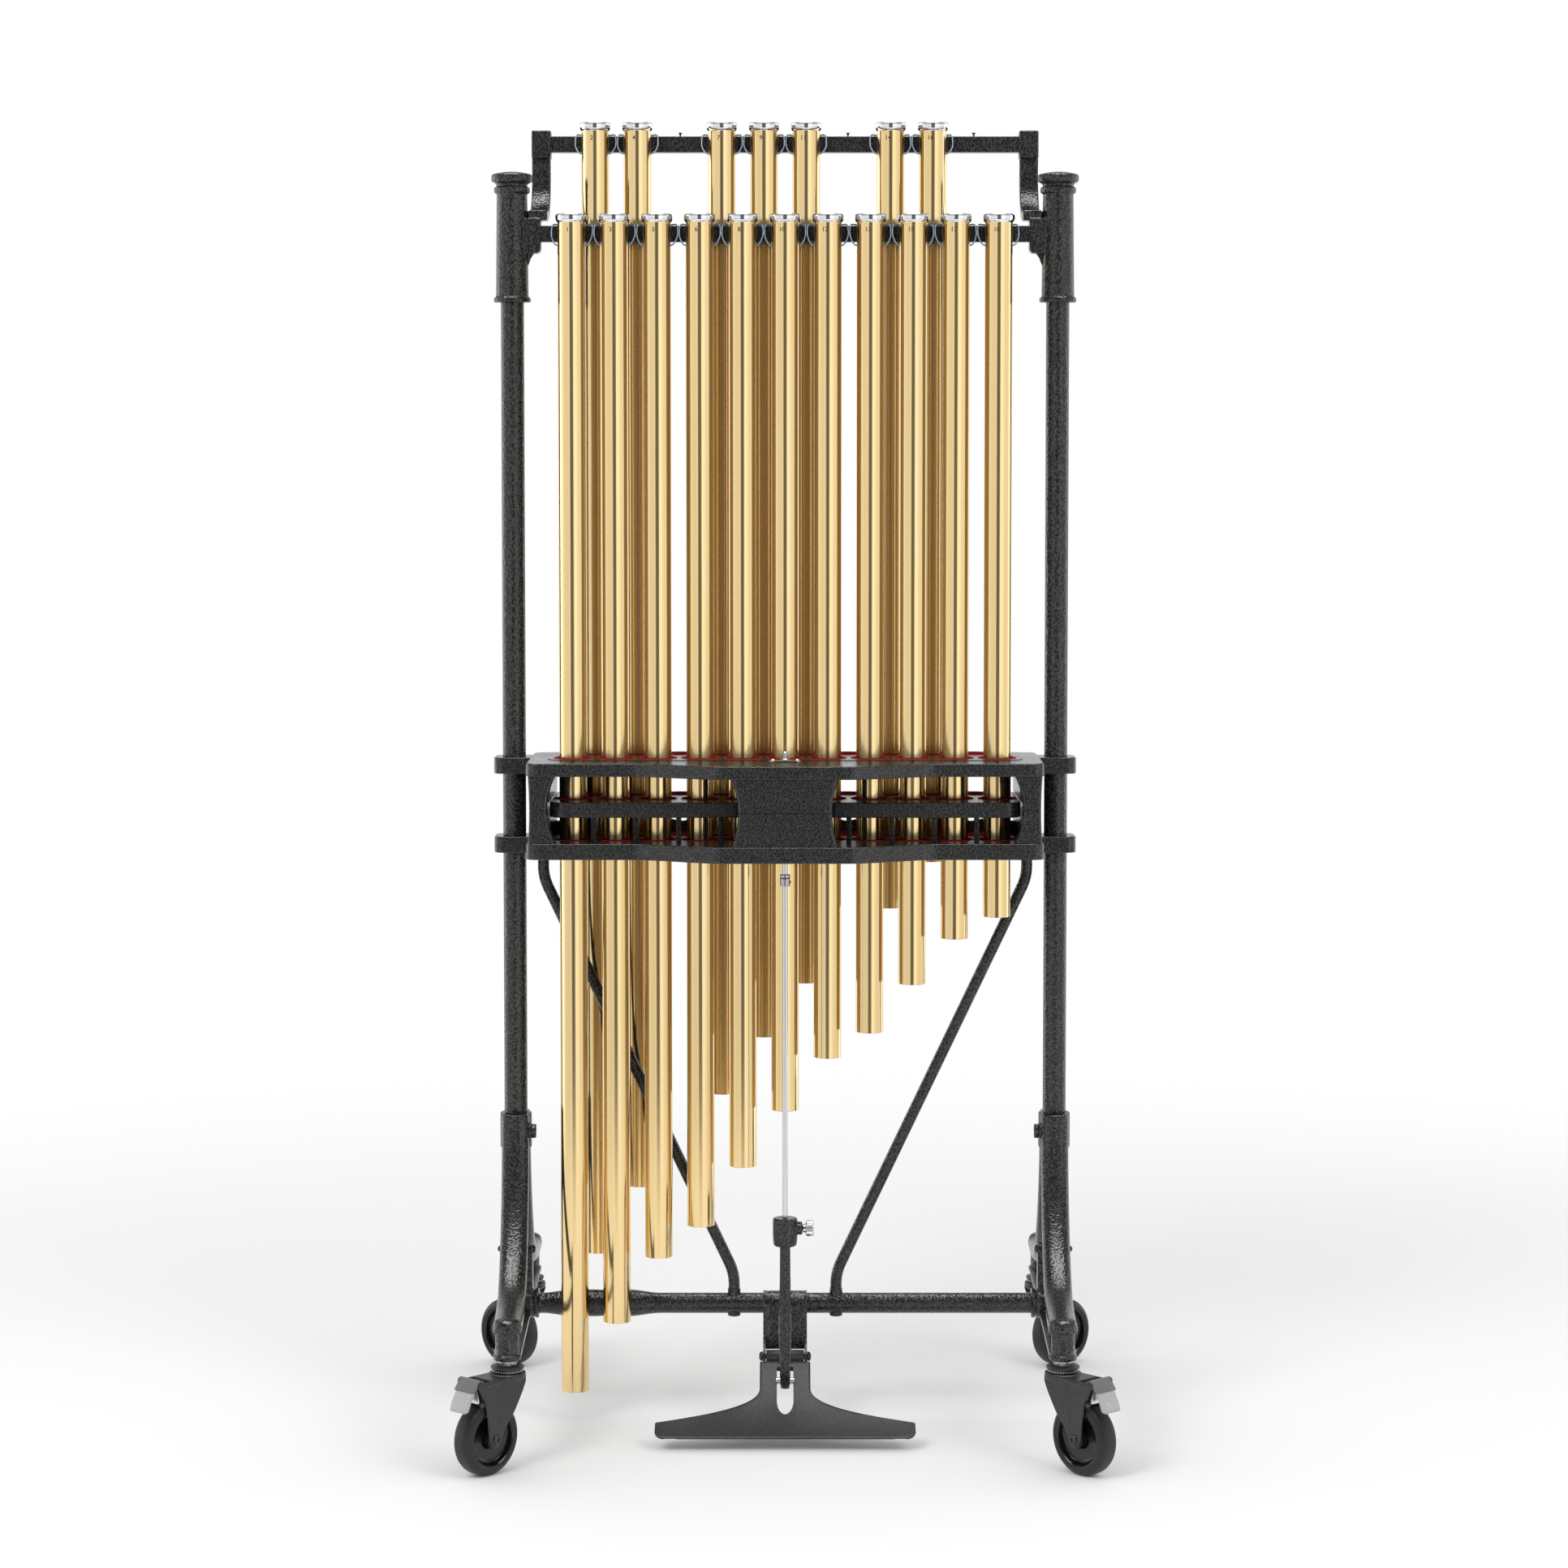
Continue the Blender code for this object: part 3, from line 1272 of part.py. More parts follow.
def make_wing_screw():
    """The thumb screw that clamps the link on the rod."""
    z = COUPLER_TOP_Z - SCREW_DROP
    start = ROD_OD / 2 + GAP
    neck = COUPLER_OD / 2 + SCREW_BOSS_LENGTH + SCREW_NECK
    shank = SCREW_SHANK_OD / 2
    head = SCREW_HEAD_OD / 2
    end = neck + SCREW_HEAD_WIDTH
    profile = [
        (0.0, end),
        (head - 0.003, end),
        (head, end - 0.0035),
        (head, neck + 0.0035),
        (head - 0.003, neck),
        (shank, neck),
        (shank, start),
        (0.0, start),
    ]
    screw = turned("wing_screw", profile, (0.0, ROD_Y, z), 12, along=(1.0, 0.0, 0.0))
    return finish(screw, CHROME)


def make_bracket():
    """The folded bracket that hangs from the crossbar and carries the pedal's hinge pin."""
    half = BRACKET_HALF_WIDTH
    radius = CROSSBAR_OD / 2
    top = CROSSBAR_Z + radius + 0.003
    web_low = CROSSBAR_Z - radius - BRACKET_BELOW_BAR
    eye = HINGE_HEAD_OD / 2 + 0.002
    face = -radius - BRACKET_WEB - GAP
    side_outline = [
        (face, top),
        (radius * 0.4, top),
        (radius + 0.003, CROSSBAR_Z + 0.004),
        (radius + 0.003, CROSSBAR_Z - radius),
        (face + 0.016, web_low),
        (HINGE_Y + eye, HINGE_Z - 0.003),
        (HINGE_Y + eye * 0.5, HINGE_Z - eye),
        (HINGE_Y - eye * 0.5, HINGE_Z - eye),
        (HINGE_Y - eye, HINGE_Z + 0.002),
        (HINGE_Y - eye * 0.6, HINGE_Z + eye),
        (face, web_low + 0.020),
    ]
    left = side_solid("pedal_bracket", side_outline, -half, -half + BRACKET_SIDE)
    right = side_solid("bracket_right", side_outline, half - BRACKET_SIDE, half)
    web = cuboid("bracket_web", (-half + 0.001, face, web_low), (half - 0.001, face + BRACKET_WEB, top - 0.004))
    lip = cuboid("bracket_lip", (-half + 0.001, face, top - 0.0045), (half - 0.001, radius * 0.3, top - 0.0015))
    around = cylinder(
        "bracket_bar_clear", (-0.05, 0.0, CROSSBAR_Z), (0.05, 0.0, CROSSBAR_Z), radius + GAP, CROSSBAR_SIDES, helper=True
    )
    pin_hole = cylinder(
        "bracket_pin_hole",
        (-0.05, HINGE_Y, HINGE_Z),
        (0.05, HINGE_Y, HINGE_Z),
        HINGE_PIN_OD / 2 + GAP,
        12,
        helper=True,
    )
    return finish(cut(join(left, [right, web, lip]), [around, pin_hole]), HAMMERED)


def make_hinge_pin():
    """The pin that the pedal turns on, with a head at each end."""
    shank = HINGE_PIN_OD / 2
    head = HINGE_HEAD_OD / 2
    reach = BRACKET_HALF_WIDTH + GAP
    end = reach + HINGE_HEAD_WIDTH
    profile = [
        (0.0, end),
        (head, end),
        (head, reach),
        (shank, reach),
        (shank, -reach),
        (head, -reach),
        (head, -end),
        (0.0, -end),
    ]
    pin = turned("pedal_hinge_pin", profile, (0.0, HINGE_Y, HINGE_Z), 12, along=(1.0, 0.0, 0.0))
    return finish(pin, HAMMERED)


def pedal_surface(y):
    """The height of the pedal's upper face, which flattens out towards its front edge."""
    start_y, start_z = HINGE_Y - 0.006, HINGE_Z - 0.003
    share = (y - start_y) / (PEDAL_FRONT_Y - start_y)
    fall = start_z - PEDAL_FRONT_Z
    return start_z - fall * (1.42 * share - 0.42 * share * share)


def pedal_underside(y):
    """The height of its lower face; the plate thins towards its front edge."""
    share = min(1.0, max(0.0, (PEDAL_TAPER_Y - y) / (PEDAL_TAPER_Y - PEDAL_FRONT_Y)))
    return pedal_surface(y) - PEDAL_THICKNESS - (PEDAL_TIP_THICKNESS - PEDAL_THICKNESS) * share


def pedal_half_width(y):
    """Half the pedal's width: a neck that flares into a wide foot plate."""
    if y > -0.092:
        return PEDAL_NECK_HALF_WIDTH
    flare = min(1.0, (-0.092 - y) / (-0.092 - PEDAL_FRONT_Y - 0.035))
    return PEDAL_NECK_HALF_WIDTH + (PEDAL_HALF_WIDTH - PEDAL_NECK_HALF_WIDTH) * flare**2.3


def make_pedal():
    """The pedal: a barrel on the hinge pin, a slotted neck and a wide curved foot plate."""
    stations = (-0.048, -0.070, -0.092, -0.110, -0.122, -0.134, -0.144, -0.152, -0.160, -0.172, -0.186, PEDAL_FRONT_Y)
    rings = []
    for y in stations:
        width = pedal_half_width(y)
        if y < -0.165:
            width = PEDAL_HALF_WIDTH - 0.030 * ((-0.165 - y) / 0.030) ** 2.2
        z = pedal_surface(y)
        tip = 0.0006 if y < -0.160 else 0.0
        rings.append(
            [
                Vector((-width, y, z - tip)),
                Vector((0.0, y, z)),
                Vector((width, y, z - tip)),
                Vector((width, y, pedal_underside(y))),
                Vector((0.0, y, pedal_underside(y))),
                Vector((-width, y, pedal_underside(y))),
            ]
        )
    plate = loft("pedal", rings)
    barrel_half = BRACKET_HALF_WIDTH - BRACKET_SIDE - 0.0006
    barrel = cylinder("pedal_barrel", (-barrel_half, HINGE_Y, HINGE_Z), (barrel_half, HINGE_Y, HINGE_Z), BARREL_OD / 2, 14)
    bosses = []
    for side in (-1, 1):
        start = side * (PEDAL_SLOT_HALF_WIDTH + 0.0004)
        bosses.append(
            cylinder(
                f"pedal_boss_{side}",
                (start, PEDAL_PIN_Y, PEDAL_PIN_Z),
                (start + side * PEDAL_BOSS_WIDTH, PEDAL_PIN_Y, PEDAL_PIN_Z),
                PEDAL_BOSS_OD / 2,
                12,
            )
        )
    half = PEDAL_SLOT_HALF_WIDTH
    tip_y = PEDAL_SLOT_FRONT_Y
    slot_outline = [
        (-half, PEDAL_SLOT_BACK_Y),
        (-half, tip_y + 0.020),
        (-half * 0.75, tip_y + 0.009),
        (0.0, tip_y),
        (half * 0.75, tip_y + 0.009),
        (half, tip_y + 0.020),
        (half, PEDAL_SLOT_BACK_Y),
    ]
    slot = outline_solid("pedal_slot", [slot_outline], 0.01, HINGE_Z, helper=True)
    hinge_bore = cylinder(
        "pedal_hinge_bore",
        (-0.05, HINGE_Y, HINGE_Z),
        (0.05, HINGE_Y, HINGE_Z),
        HINGE_PIN_OD / 2 + RUNNING,
        12,
        helper=True,
    )
    pin_bore = cylinder(
        "pedal_pin_bore",
        (-0.03, PEDAL_PIN_Y, PEDAL_PIN_Z),
        (0.03, PEDAL_PIN_Y, PEDAL_PIN_Z),
        PEDAL_PIN_OD / 2 + RUNNING,
        12,
        helper=True,
    )
    neck_edge = BRACKET_HALF_WIDTH + HINGE_HEAD_WIDTH + 0.004
    clear = []
    for side in (-1, 1):
        edges = sorted((side * (BRACKET_HALF_WIDTH - BRACKET_SIDE - 0.0006), side * neck_edge))
        reach = HINGE_HEAD_OD / 2 + 0.0035
        clear.append(
            cylinder(
                f"pedal_ear_clear_{side}",
                (edges[0], HINGE_Y, HINGE_Z),
                (edges[1], HINGE_Y, HINGE_Z),
                reach,
                16,
                helper=True,
            )
        )
    pedal = cut(join(plate, [barrel, *bosses]), [slot, hinge_bore, pin_bore, *clear])
    finish(pedal, HAMMERED)
    reach = PEDAL_SLOT_HALF_WIDTH + PEDAL_BOSS_WIDTH - 0.001
    pin = cylinder("pedal_pin", (-reach, PEDAL_PIN_Y, PEDAL_PIN_Z), (reach, PEDAL_PIN_Y, PEDAL_PIN_Z),
                   PEDAL_PIN_OD / 2, 12)
    finish(pin, HAMMERED)


def make_pad():
    """The rubber strip under the front edge of the pedal."""
    front = PEDAL_FRONT_Y + 0.003
    back = front + PAD_DEPTH
    under_front = pedal_underside(front) - GAP
    under_back = pedal_underside(back) - GAP
    outline = [
        (front, under_front),
        (front, under_front - PAD_HEIGHT),
        (back, under_back - PAD_HEIGHT),
        (back, under_back),
    ]
    return finish(side_solid("pedal_pad", outline, -PAD_HALF_WIDTH, PAD_HALF_WIDTH), RUBBER)


def caster_frame(side, front):
    """The matrix from a caster's own frame, with its trail along +X, to the part's frame."""
    yaw = math.radians(FRONT_CASTER_YAW_DEG if front else BACK_CASTER_YAW_DEG)
    toward = -1 if front else 1
    stem_x = side * (FRONT_STEM_X if front else BACK_STEM_X)
    angle = math.atan2(toward * math.sin(yaw), side * math.cos(yaw))
    return Matrix.Translation((stem_x, toward * STEM_Y, 0.0)) @ Matrix.Rotation(angle, 4, "Z")


def make_fork(name, frame):
    """The swivelling fork: a threaded stem, a bearing race, a crown, two cheeks and the axle."""
    base = FORK_TOP_Z
    race_top = base + RACE_HEIGHT
    nut_top = race_top + STEM_NUT_HEIGHT
    stem_top = LEG_BOTTOM_Z + STEM_LENGTH
    profile = [
        (0.0, stem_top),
        (STEM_OD / 2, stem_top),
        (STEM_OD / 2, nut_top),
        (STEM_NUT_OD / 2, nut_top),
        (STEM_NUT_OD / 2, race_top),
        (RACE_OD / 2, race_top),
        (RACE_OD / 2, base),
        (CROWN_OD / 2, base),
        (CROWN_OD / 2, base - CROWN_HEIGHT),
        (0.0, base - CROWN_HEIGHT),
    ]
    fork = turned(name, profile, (0.0, 0.0, 0.0), 12)
    outer = FORK_OUTER / 2
    trail = CASTER_TRAIL
    cheek = [
        (-0.022, base - 0.002),
        (-0.018, base - 0.014),
        (-0.010, base - 0.026),
        (0.007, base - 0.050),
        (0.026, base - 0.071),
        (trail - 0.007, WHEEL_Z - 0.007),
        (trail, WHEEL_Z - 0.011),
        (trail + 0.009, WHEEL_Z - 0.006),
        (trail + 0.013, WHEEL_Z + 0.002),
        (trail + 0.0155, base - 0.052),
        (trail + 0.0185, base - 0.030),
        (BRAKE_PIVOT_TRAIL + 0.007, BRAKE_PIVOT_Z - 0.006),
        (BRAKE_PIVOT_TRAIL + 0.007, BRAKE_PIVOT_Z + 0.004),
        (BRAKE_PIVOT_TRAIL - 0.010, base - 0.001),
    ]
    solids = []
    for edge in (-1, 1):
        span = sorted((edge * outer, edge * (outer - FORK_WALL)))
        solids.append(front_solid(f"{name}_cheek_{edge}", cheek, span[0], span[1]))
        head = sorted((edge * (outer - 0.001), edge * (outer + AXLE_HEAD_HEIGHT)))
        solids.append(
            cylinder(f"{name}_head_{edge}", (trail, head[0], WHEEL_Z), (trail, head[1], WHEEL_Z), AXLE_HEAD_OD / 2, 6)
        )
    roof = cuboid(
        name + "_roof", (0.0, -outer + 0.001, base - 0.006), (BRAKE_PIVOT_TRAIL - 0.016, outer - 0.001, base - 0.002)
    )
    axle = cylinder(
        name + "_axle", (trail, -outer + 0.001, WHEEL_Z), (trail, outer - 0.001, WHEEL_Z), AXLE_OD / 2, 8
    )
    made = join(fork, [*solids, roof, axle])
    for piece in (*solids, roof, axle):
        piece.parent = made
    made.matrix_world = frame
    return finish(made, HAMMERED)


def make_wheel(name, frame):
    """A wheel with a tyre, a thin web and a bored hub; it stands on one of its flats."""
    half = WHEEL_WIDTH / 2
    bore = WHEEL_BORE / 2
    hub = HUB_OD / 2
    inner = TYRE_INNER_RADIUS
    shoulder = 0.006
    web = 0.005
    crown = WHEEL_RADIUS
    hub_half = FORK_OUTER / 2 - FORK_WALL - GAP
    profile = [
        (hub, hub_half),
        (hub, web),
        (inner, web),
        (inner + 0.003, half),
        (crown, half - shoulder),
        (crown, -half + shoulder),
        (inner + 0.003, -half),
        (inner, -web),
        (hub, -web),
        (hub, -hub_half),
        (bore, -hub_half),
        (bore, hub_half),
    ]
    wheel = turned(name, profile, (0.0, 0.0, 0.0), WHEEL_SIDES, closed=True)
    half_step = Matrix.Rotation(math.pi / WHEEL_SIDES, 4, "Z")
    lay = Matrix.Rotation(math.radians(90), 4, "X")
    wheel.matrix_world = frame @ Matrix.Translation((CASTER_TRAIL, 0.0, WHEEL_Z)) @ lay @ half_step
    return finish(wheel, RUBBER)


def make_brake(name, frame):
    """The foot lever of a locking caster: a bent flap that slopes down from its pivot."""
    pivot_x, pivot_z = BRAKE_PIVOT_TRAIL, BRAKE_PIVOT_Z
    flap = [
        (pivot_x - 0.0045, pivot_z + 0.0015),
        (pivot_x + 0.0010, pivot_z + 0.0040),
        (pivot_x + 0.0045, pivot_z + 0.0035),
        (pivot_x + 0.0150, pivot_z - 0.0095),
        (pivot_x + 0.0265, pivot_z - 0.0355),
        (pivot_x + 0.0220, pivot_z - 0.0375),
        (pivot_x + 0.0095, pivot_z - 0.0130),
        (pivot_x + 0.0035, pivot_z - 0.0050),
        (pivot_x - 0.0045, pivot_z - 0.0040),
    ]
    half = FORK_OUTER / 2 - FORK_WALL - GAP
    lever = front_solid(name, flap, -half, half)
    lever.matrix_world = frame
    return finish(lever, BRAKE_GREY)


def make_casters():
    """Four casters; the two in front have a foot brake."""
    for side, side_name in ((-1, "left"), (1, "right")):
        for front, end_name in ((True, "front"), (False, "back")):
            frame = caster_frame(side, front)
            make_fork(f"caster_fork_{end_name}_{side_name}", frame)
            make_wheel(f"caster_wheel_{end_name}_{side_name}", frame)
            if front:
                make_brake(f"caster_brake_{side_name}", frame)


def centre_over_origin():
    """Moves everything along Y until the origin is under the middle of the whole object's box."""
    bpy.context.view_layer.update()
    graph = bpy.context.evaluated_depsgraph_get()
    reach = []
    for obj in PARTS.objects:
        evaluated = obj.evaluated_get(graph)
        mesh = evaluated.to_mesh()
        reach += [(evaluated.matrix_world @ vertex.co).y for vertex in mesh.vertices]
        evaluated.to_mesh_clear()
    middle = (min(reach) + max(reach)) / 2
    for obj in (*PARTS.objects, *HELPERS.objects):
        if obj.parent is None:
            obj.location.y -= middle
    print(f"the posts stand {-middle * 1000:.3f} mm behind the middle of the box")
    return -middle


def main():
    """Builds the chimes, piece by piece."""
    make_tubes()
    make_cords()
    front_half = BLOCK_INNER_X - GAP
    back_half = ARM_INNER_X - 0.001 - GAP
    make_rail("rail_front", front_half, FRONT_RAIL_Y, FRONT_RAIL_TOP_Z, range(PLACES))
    make_rail("rail_back", back_half, BACK_RAIL_Y, BACK_RAIL_TOP_Z, BACK_PIN_PLACES)
    for side, word in ((-1, "left"), (1, "right")):
        make_sleeve(f"rail_bracket_{word}", side)
        make_post(f"post_{word}", f"post_cap_{word}", side)
        make_leg(f"leg_front_{word}", side, True)
        make_leg(f"leg_back_{word}", side, False)
        make_stay(f"stay_{word}", side)
    make_crossbar()
    make_box_half("damper_box_top", True)
    make_box_half("damper_box_bottom", False)
    make_grid()
    make_pull_rod()
    make_spring()
    make_link()
    make_wing_screw()
    make_bracket()
    make_hinge_pin()
    make_pedal()
    make_pad()
    make_casters()
    return centre_over_origin()


main()
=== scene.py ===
"""The looks of a set of orchestral tubular chimes on a rolling stand, in metres, +Z up.

Every piece is made with the two posts' axes at Y = 0 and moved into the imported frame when
it is fitted. The player stands on the -Y side, at the pedal.
"""

import logging
import math
import sys
from collections.abc import Iterator, Sequence
from contextlib import contextmanager
from dataclasses import dataclass, field
from enum import Enum

import bpy
from mathutils import Matrix, Vector

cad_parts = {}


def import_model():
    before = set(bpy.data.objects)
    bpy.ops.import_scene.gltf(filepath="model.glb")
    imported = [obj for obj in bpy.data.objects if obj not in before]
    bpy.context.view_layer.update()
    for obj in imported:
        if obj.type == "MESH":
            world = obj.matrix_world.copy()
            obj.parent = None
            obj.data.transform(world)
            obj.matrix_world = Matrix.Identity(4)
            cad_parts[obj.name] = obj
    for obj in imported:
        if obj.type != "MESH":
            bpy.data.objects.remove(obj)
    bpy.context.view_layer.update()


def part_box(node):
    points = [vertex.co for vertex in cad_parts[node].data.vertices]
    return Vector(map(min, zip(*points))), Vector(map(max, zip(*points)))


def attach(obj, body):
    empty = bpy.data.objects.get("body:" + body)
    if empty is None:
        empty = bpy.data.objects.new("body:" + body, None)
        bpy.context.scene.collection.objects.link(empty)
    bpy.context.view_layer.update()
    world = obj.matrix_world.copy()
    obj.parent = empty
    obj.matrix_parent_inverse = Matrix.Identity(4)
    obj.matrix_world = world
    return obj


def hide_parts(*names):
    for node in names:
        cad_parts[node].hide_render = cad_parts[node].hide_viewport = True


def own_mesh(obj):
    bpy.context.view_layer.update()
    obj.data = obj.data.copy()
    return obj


LOG = logging.getLogger("chimes")
Point = tuple[float, float, float]
Pair = tuple[float, float]
FULL_TURN = 2 * math.pi
# The flat outline's X and Y become X and Z, and its thickness runs towards -Y.
UPRIGHT = Matrix(((1, 0, 0, 0), (0, 0, -1, 0), (0, 1, 0, 0), (0, 0, 0, 1)))
# The flat outline's X and Y become Y and Z, and its thickness runs along +X.
SIDEWAYS = Matrix(((0, 0, 1, 0), (1, 0, 0, 0), (0, 1, 0, 0), (0, 0, 0, 1)))
# A turned piece's axis becomes X.
ALONG_X = Matrix.Rotation(math.radians(90), 4, "Y")
# A turned piece's axis becomes Y.
ALONG_Y = Matrix.Rotation(math.radians(-90), 4, "X")


class Bench:
    """Modelling steps, each done with Blender's own operators."""

    @staticmethod
    def pick(*objects: bpy.types.Object) -> None:
        """Selects only these objects and makes the first one active."""
        bpy.ops.object.select_all(action="DESELECT")
        for obj in objects:
            obj.select_set(True)
        if objects:
            bpy.context.view_layer.objects.active = objects[0]

    @staticmethod
    @contextmanager
    def editing(obj: bpy.types.Object, mode: str = "VERT") -> Iterator[None]:
        """Edit mode on one object, with all of it selected.

        Args:
            obj: The mesh object to edit.
            mode: What is selected: VERT, EDGE or FACE.
        """
        Bench.pick(obj)
        bpy.ops.object.mode_set(mode="EDIT")
        bpy.ops.mesh.select_mode(type=mode)
        bpy.ops.mesh.select_all(action="SELECT")
        yield
        bpy.ops.object.mode_set(mode="OBJECT")

    @staticmethod
    def tidy(obj: bpy.types.Object) -> bpy.types.Object:
        """Merges doubles, drops loose bits and turns all faces outwards."""
        with Bench.editing(obj):
            bpy.ops.mesh.remove_doubles(threshold=1e-6)
            bpy.ops.mesh.delete_loose()
            bpy.ops.mesh.select_all(action="SELECT")
            bpy.ops.mesh.normals_make_consistent(inside=False)
        return obj

    @staticmethod
    def place(obj: bpy.types.Object, matrix: Matrix) -> bpy.types.Object:
        """Moves an object and applies its place, so that it sits at the origin."""
        obj.matrix_world = matrix
        Bench.pick(obj)
        bpy.ops.object.transform_apply(location=True, rotation=True, scale=True)
        if matrix.determinant() < 0:
            Bench.tidy(obj)
        return obj

    @staticmethod
    def named(name: str) -> bpy.types.Object:
        """The object that an operator has just added, under its new name."""
        obj = bpy.context.object
        obj.name = name
        obj.data.name = name
        return obj

    @staticmethod
    def apply(obj: bpy.types.Object, kind: str, **settings: object) -> bpy.types.Object:
        """Adds a modifier with its settings and applies it.

        Args:
            obj: The mesh object.
            kind: The modifier's type.
            settings: The modifier's properties.

        Returns:
            The same object.
        """
        Bench.pick(obj)
        modifier = obj.modifiers.new(kind.lower(), kind)
        for name, value in settings.items():
            setattr(modifier, name, value)
        bpy.ops.object.modifier_apply(modifier=modifier.name)
        return obj

    @staticmethod
    def bevel(obj: bpy.types.Object, width: float, segments: int = 2, angle: float = 30.0) -> bpy.types.Object:
        """Rounds the edges that are sharper than an angle in degrees."""
        return Bench.apply(
            obj, "BEVEL", width=width, segments=segments, limit_method="ANGLE", angle_limit=math.radians(angle)
        )

    @staticmethod
    def lathe(
        name: str, profile: Sequence[Pair], steps: int = 48, matrix: Matrix | None = None
    ) -> bpy.types.Object:
        """A profile spun about Z into a closed solid.

        Args:
            name: The piece's name.
            profile: Radius and height pairs, round the section once, or from pole to pole.
            steps: How many faces go round.
            matrix: Where the turned piece goes.

        Returns:
            The new object.
        """
        Bench.pick()
        bpy.ops.mesh.primitive_circle_add(vertices=len(profile), radius=0.1, fill_type="NOTHING")
        obj = Bench.named(name)
        for vertex, (radius, height) in zip(obj.data.vertices, profile):
            vertex.co = (radius, 0.0, height)
        with Bench.editing(obj):
            bpy.ops.mesh.spin(steps=steps, angle=FULL_TURN, center=(0, 0, 0), axis=(0, 0, 1))
        Bench.tidy(obj)
        return Bench.place(obj, matrix) if matrix else obj

    @staticmethod
    def plate(
        name: str, outline: Sequence[Pair], low: float, high: float, matrix: Matrix | None = None
    ) -> bpy.types.Object:
        """An outline made a face and extruded.

        Args:
            name: The piece's name.
            outline: The outline's points in order.
            low: Where the thickness starts.
            high: Where it ends.
            matrix: Where the plate goes.

        Returns:
            The new object.
        """
        Bench.pick()
        bpy.ops.mesh.primitive_circle_add(vertices=len(outline), radius=0.1, fill_type="NOTHING")
        obj = Bench.named(name)
        for vertex, (x, y) in zip(obj.data.vertices, outline):
            vertex.co = (x, y, low)
        with Bench.editing(obj):
            bpy.ops.mesh.edge_face_add()
            bpy.ops.mesh.extrude_region_move(TRANSFORM_OT_translate={"value": (0, 0, high - low)})
        Bench.tidy(obj)
        return Bench.place(obj, matrix) if matrix else obj

    @staticmethod
    def swept(name: str, rings: Sequence[Sequence[Point]]) -> bpy.types.Object:
        """A grid laid on rings that have the same number of points, closed at both ends.

        Args:
            name: The piece's name.
            rings: The rings, each once round.

        Returns:
            The new object.
        """
        around = len(rings[0])
        Bench.pick()
        bpy.ops.mesh.primitive_grid_add(x_subdivisions=around, y_subdivisions=len(rings) - 1, size=0.1)
        obj = Bench.named(name)
        for number, vertex in enumerate(obj.data.vertices):
            row, column = divmod(number, around + 1)
            vertex.co = rings[row][column % around]
        with Bench.editing(obj):
            bpy.ops.mesh.remove_doubles(threshold=1e-6)
            bpy.ops.mesh.fill_holes(sides=0)
        return Bench.tidy(obj)

    @staticmethod
    def block(name: str, low: Point, high: Point, round_by: float = 0.0, segments: int = 2) -> bpy.types.Object:
        """A cube between two corners with its edges rounded."""
        Bench.pick()
        middle = (Vector(low) + Vector(high)) / 2
        bpy.ops.mesh.primitive_cube_add(size=1.0, location=middle, scale=Vector(high) - Vector(low))
        obj = Bench.named(name)
        Bench.place(obj, obj.matrix_world.copy())
        return Bench.bevel(obj, round_by, segments) if round_by else obj

    @staticmethod
    def side_block(
        name: str, side: int, low: Point, high: Point, round_by: float = 0.0, segments: int = 2
    ) -> bpy.types.Object:
        """A rounded cube given for the right side, mirrored in X when side is -1."""
        ends = sorted((side * low[0], side * high[0]))
        return Bench.block(name, (ends[0], *low[1:]), (ends[1], *high[1:]), round_by, segments)

    @staticmethod
    def rod(
        name: str, start: Point, end: Point, radius: float, sides: int = 24, chamfer: float = 0.0
    ) -> bpy.types.Object:
        """A round or many-sided bar between two points.

        Args:
            name: The piece's name.
            start: The middle of its first end.
            end: The middle of its last end.
            radius: The radius of its corners.
            sides: How many faces go round.
            chamfer: How far its two rims are cut back.

        Returns:
            The new object.
        """
        run = Vector(end) - Vector(start)
        turn = run.to_track_quat("Z", "Y").to_matrix().to_4x4()
        long = run.length
        profile = [(0.0, 0.0), (radius, 0.0), (radius, long), (0.0, long)]
        if chamfer:
            profile = [
                (0.0, 0.0), (radius - chamfer, 0.0), (radius, chamfer),
                (radius, long - chamfer), (radius - chamfer, long), (0.0, long),
            ]
        return Bench.lathe(name, profile, sides, Matrix.Translation(start) @ turn)

    @staticmethod
    def pipe(
        name: str, points: Sequence[Point], radius: float, closed: bool = False, rounds: int = 4
    ) -> bpy.types.Object:
        """A round wire or bar along points, made a mesh.

        Args:
            name: The piece's name.
            points: The points of its middle line.
            radius: Its radius.
            closed: Whether its end meets its start.
            rounds: The fineness of its section.

        Returns:
            The new object.
        """
        curve = bpy.data.curves.new(name, "CURVE")
        curve.dimensions = "3D"
        curve.bevel_depth = radius
        curve.bevel_resolution = rounds
        curve.use_fill_caps = not closed
        spline = curve.splines.new("POLY")
        spline.points.add(len(points) - 1)
        for point, place in zip(spline.points, points):
            point.co = (*place, 1.0)
        spline.use_cyclic_u = closed
        obj = bpy.data.objects.new(name, curve)
        bpy.context.scene.collection.objects.link(obj)
        Bench.pick(obj)
        bpy.ops.object.convert(target="MESH")
        return Bench.tidy(Bench.named(name))

    @staticmethod
    def weld(*objects: bpy.types.Object) -> bpy.types.Object:
        """Joins the objects into the first one."""
        Bench.pick(*objects)
        if len(objects) > 1:
            bpy.ops.object.join()
        return objects[0]

    @staticmethod
    def copy(obj: bpy.types.Object, name: str, matrix: Matrix | None = None) -> bpy.types.Object:
        """A copy with its own mesh, moved by a matrix."""
        Bench.pick(obj)
        bpy.ops.object.duplicate(linked=False)
        made = Bench.named(name)
        return Bench.place(made, matrix) if matrix else made

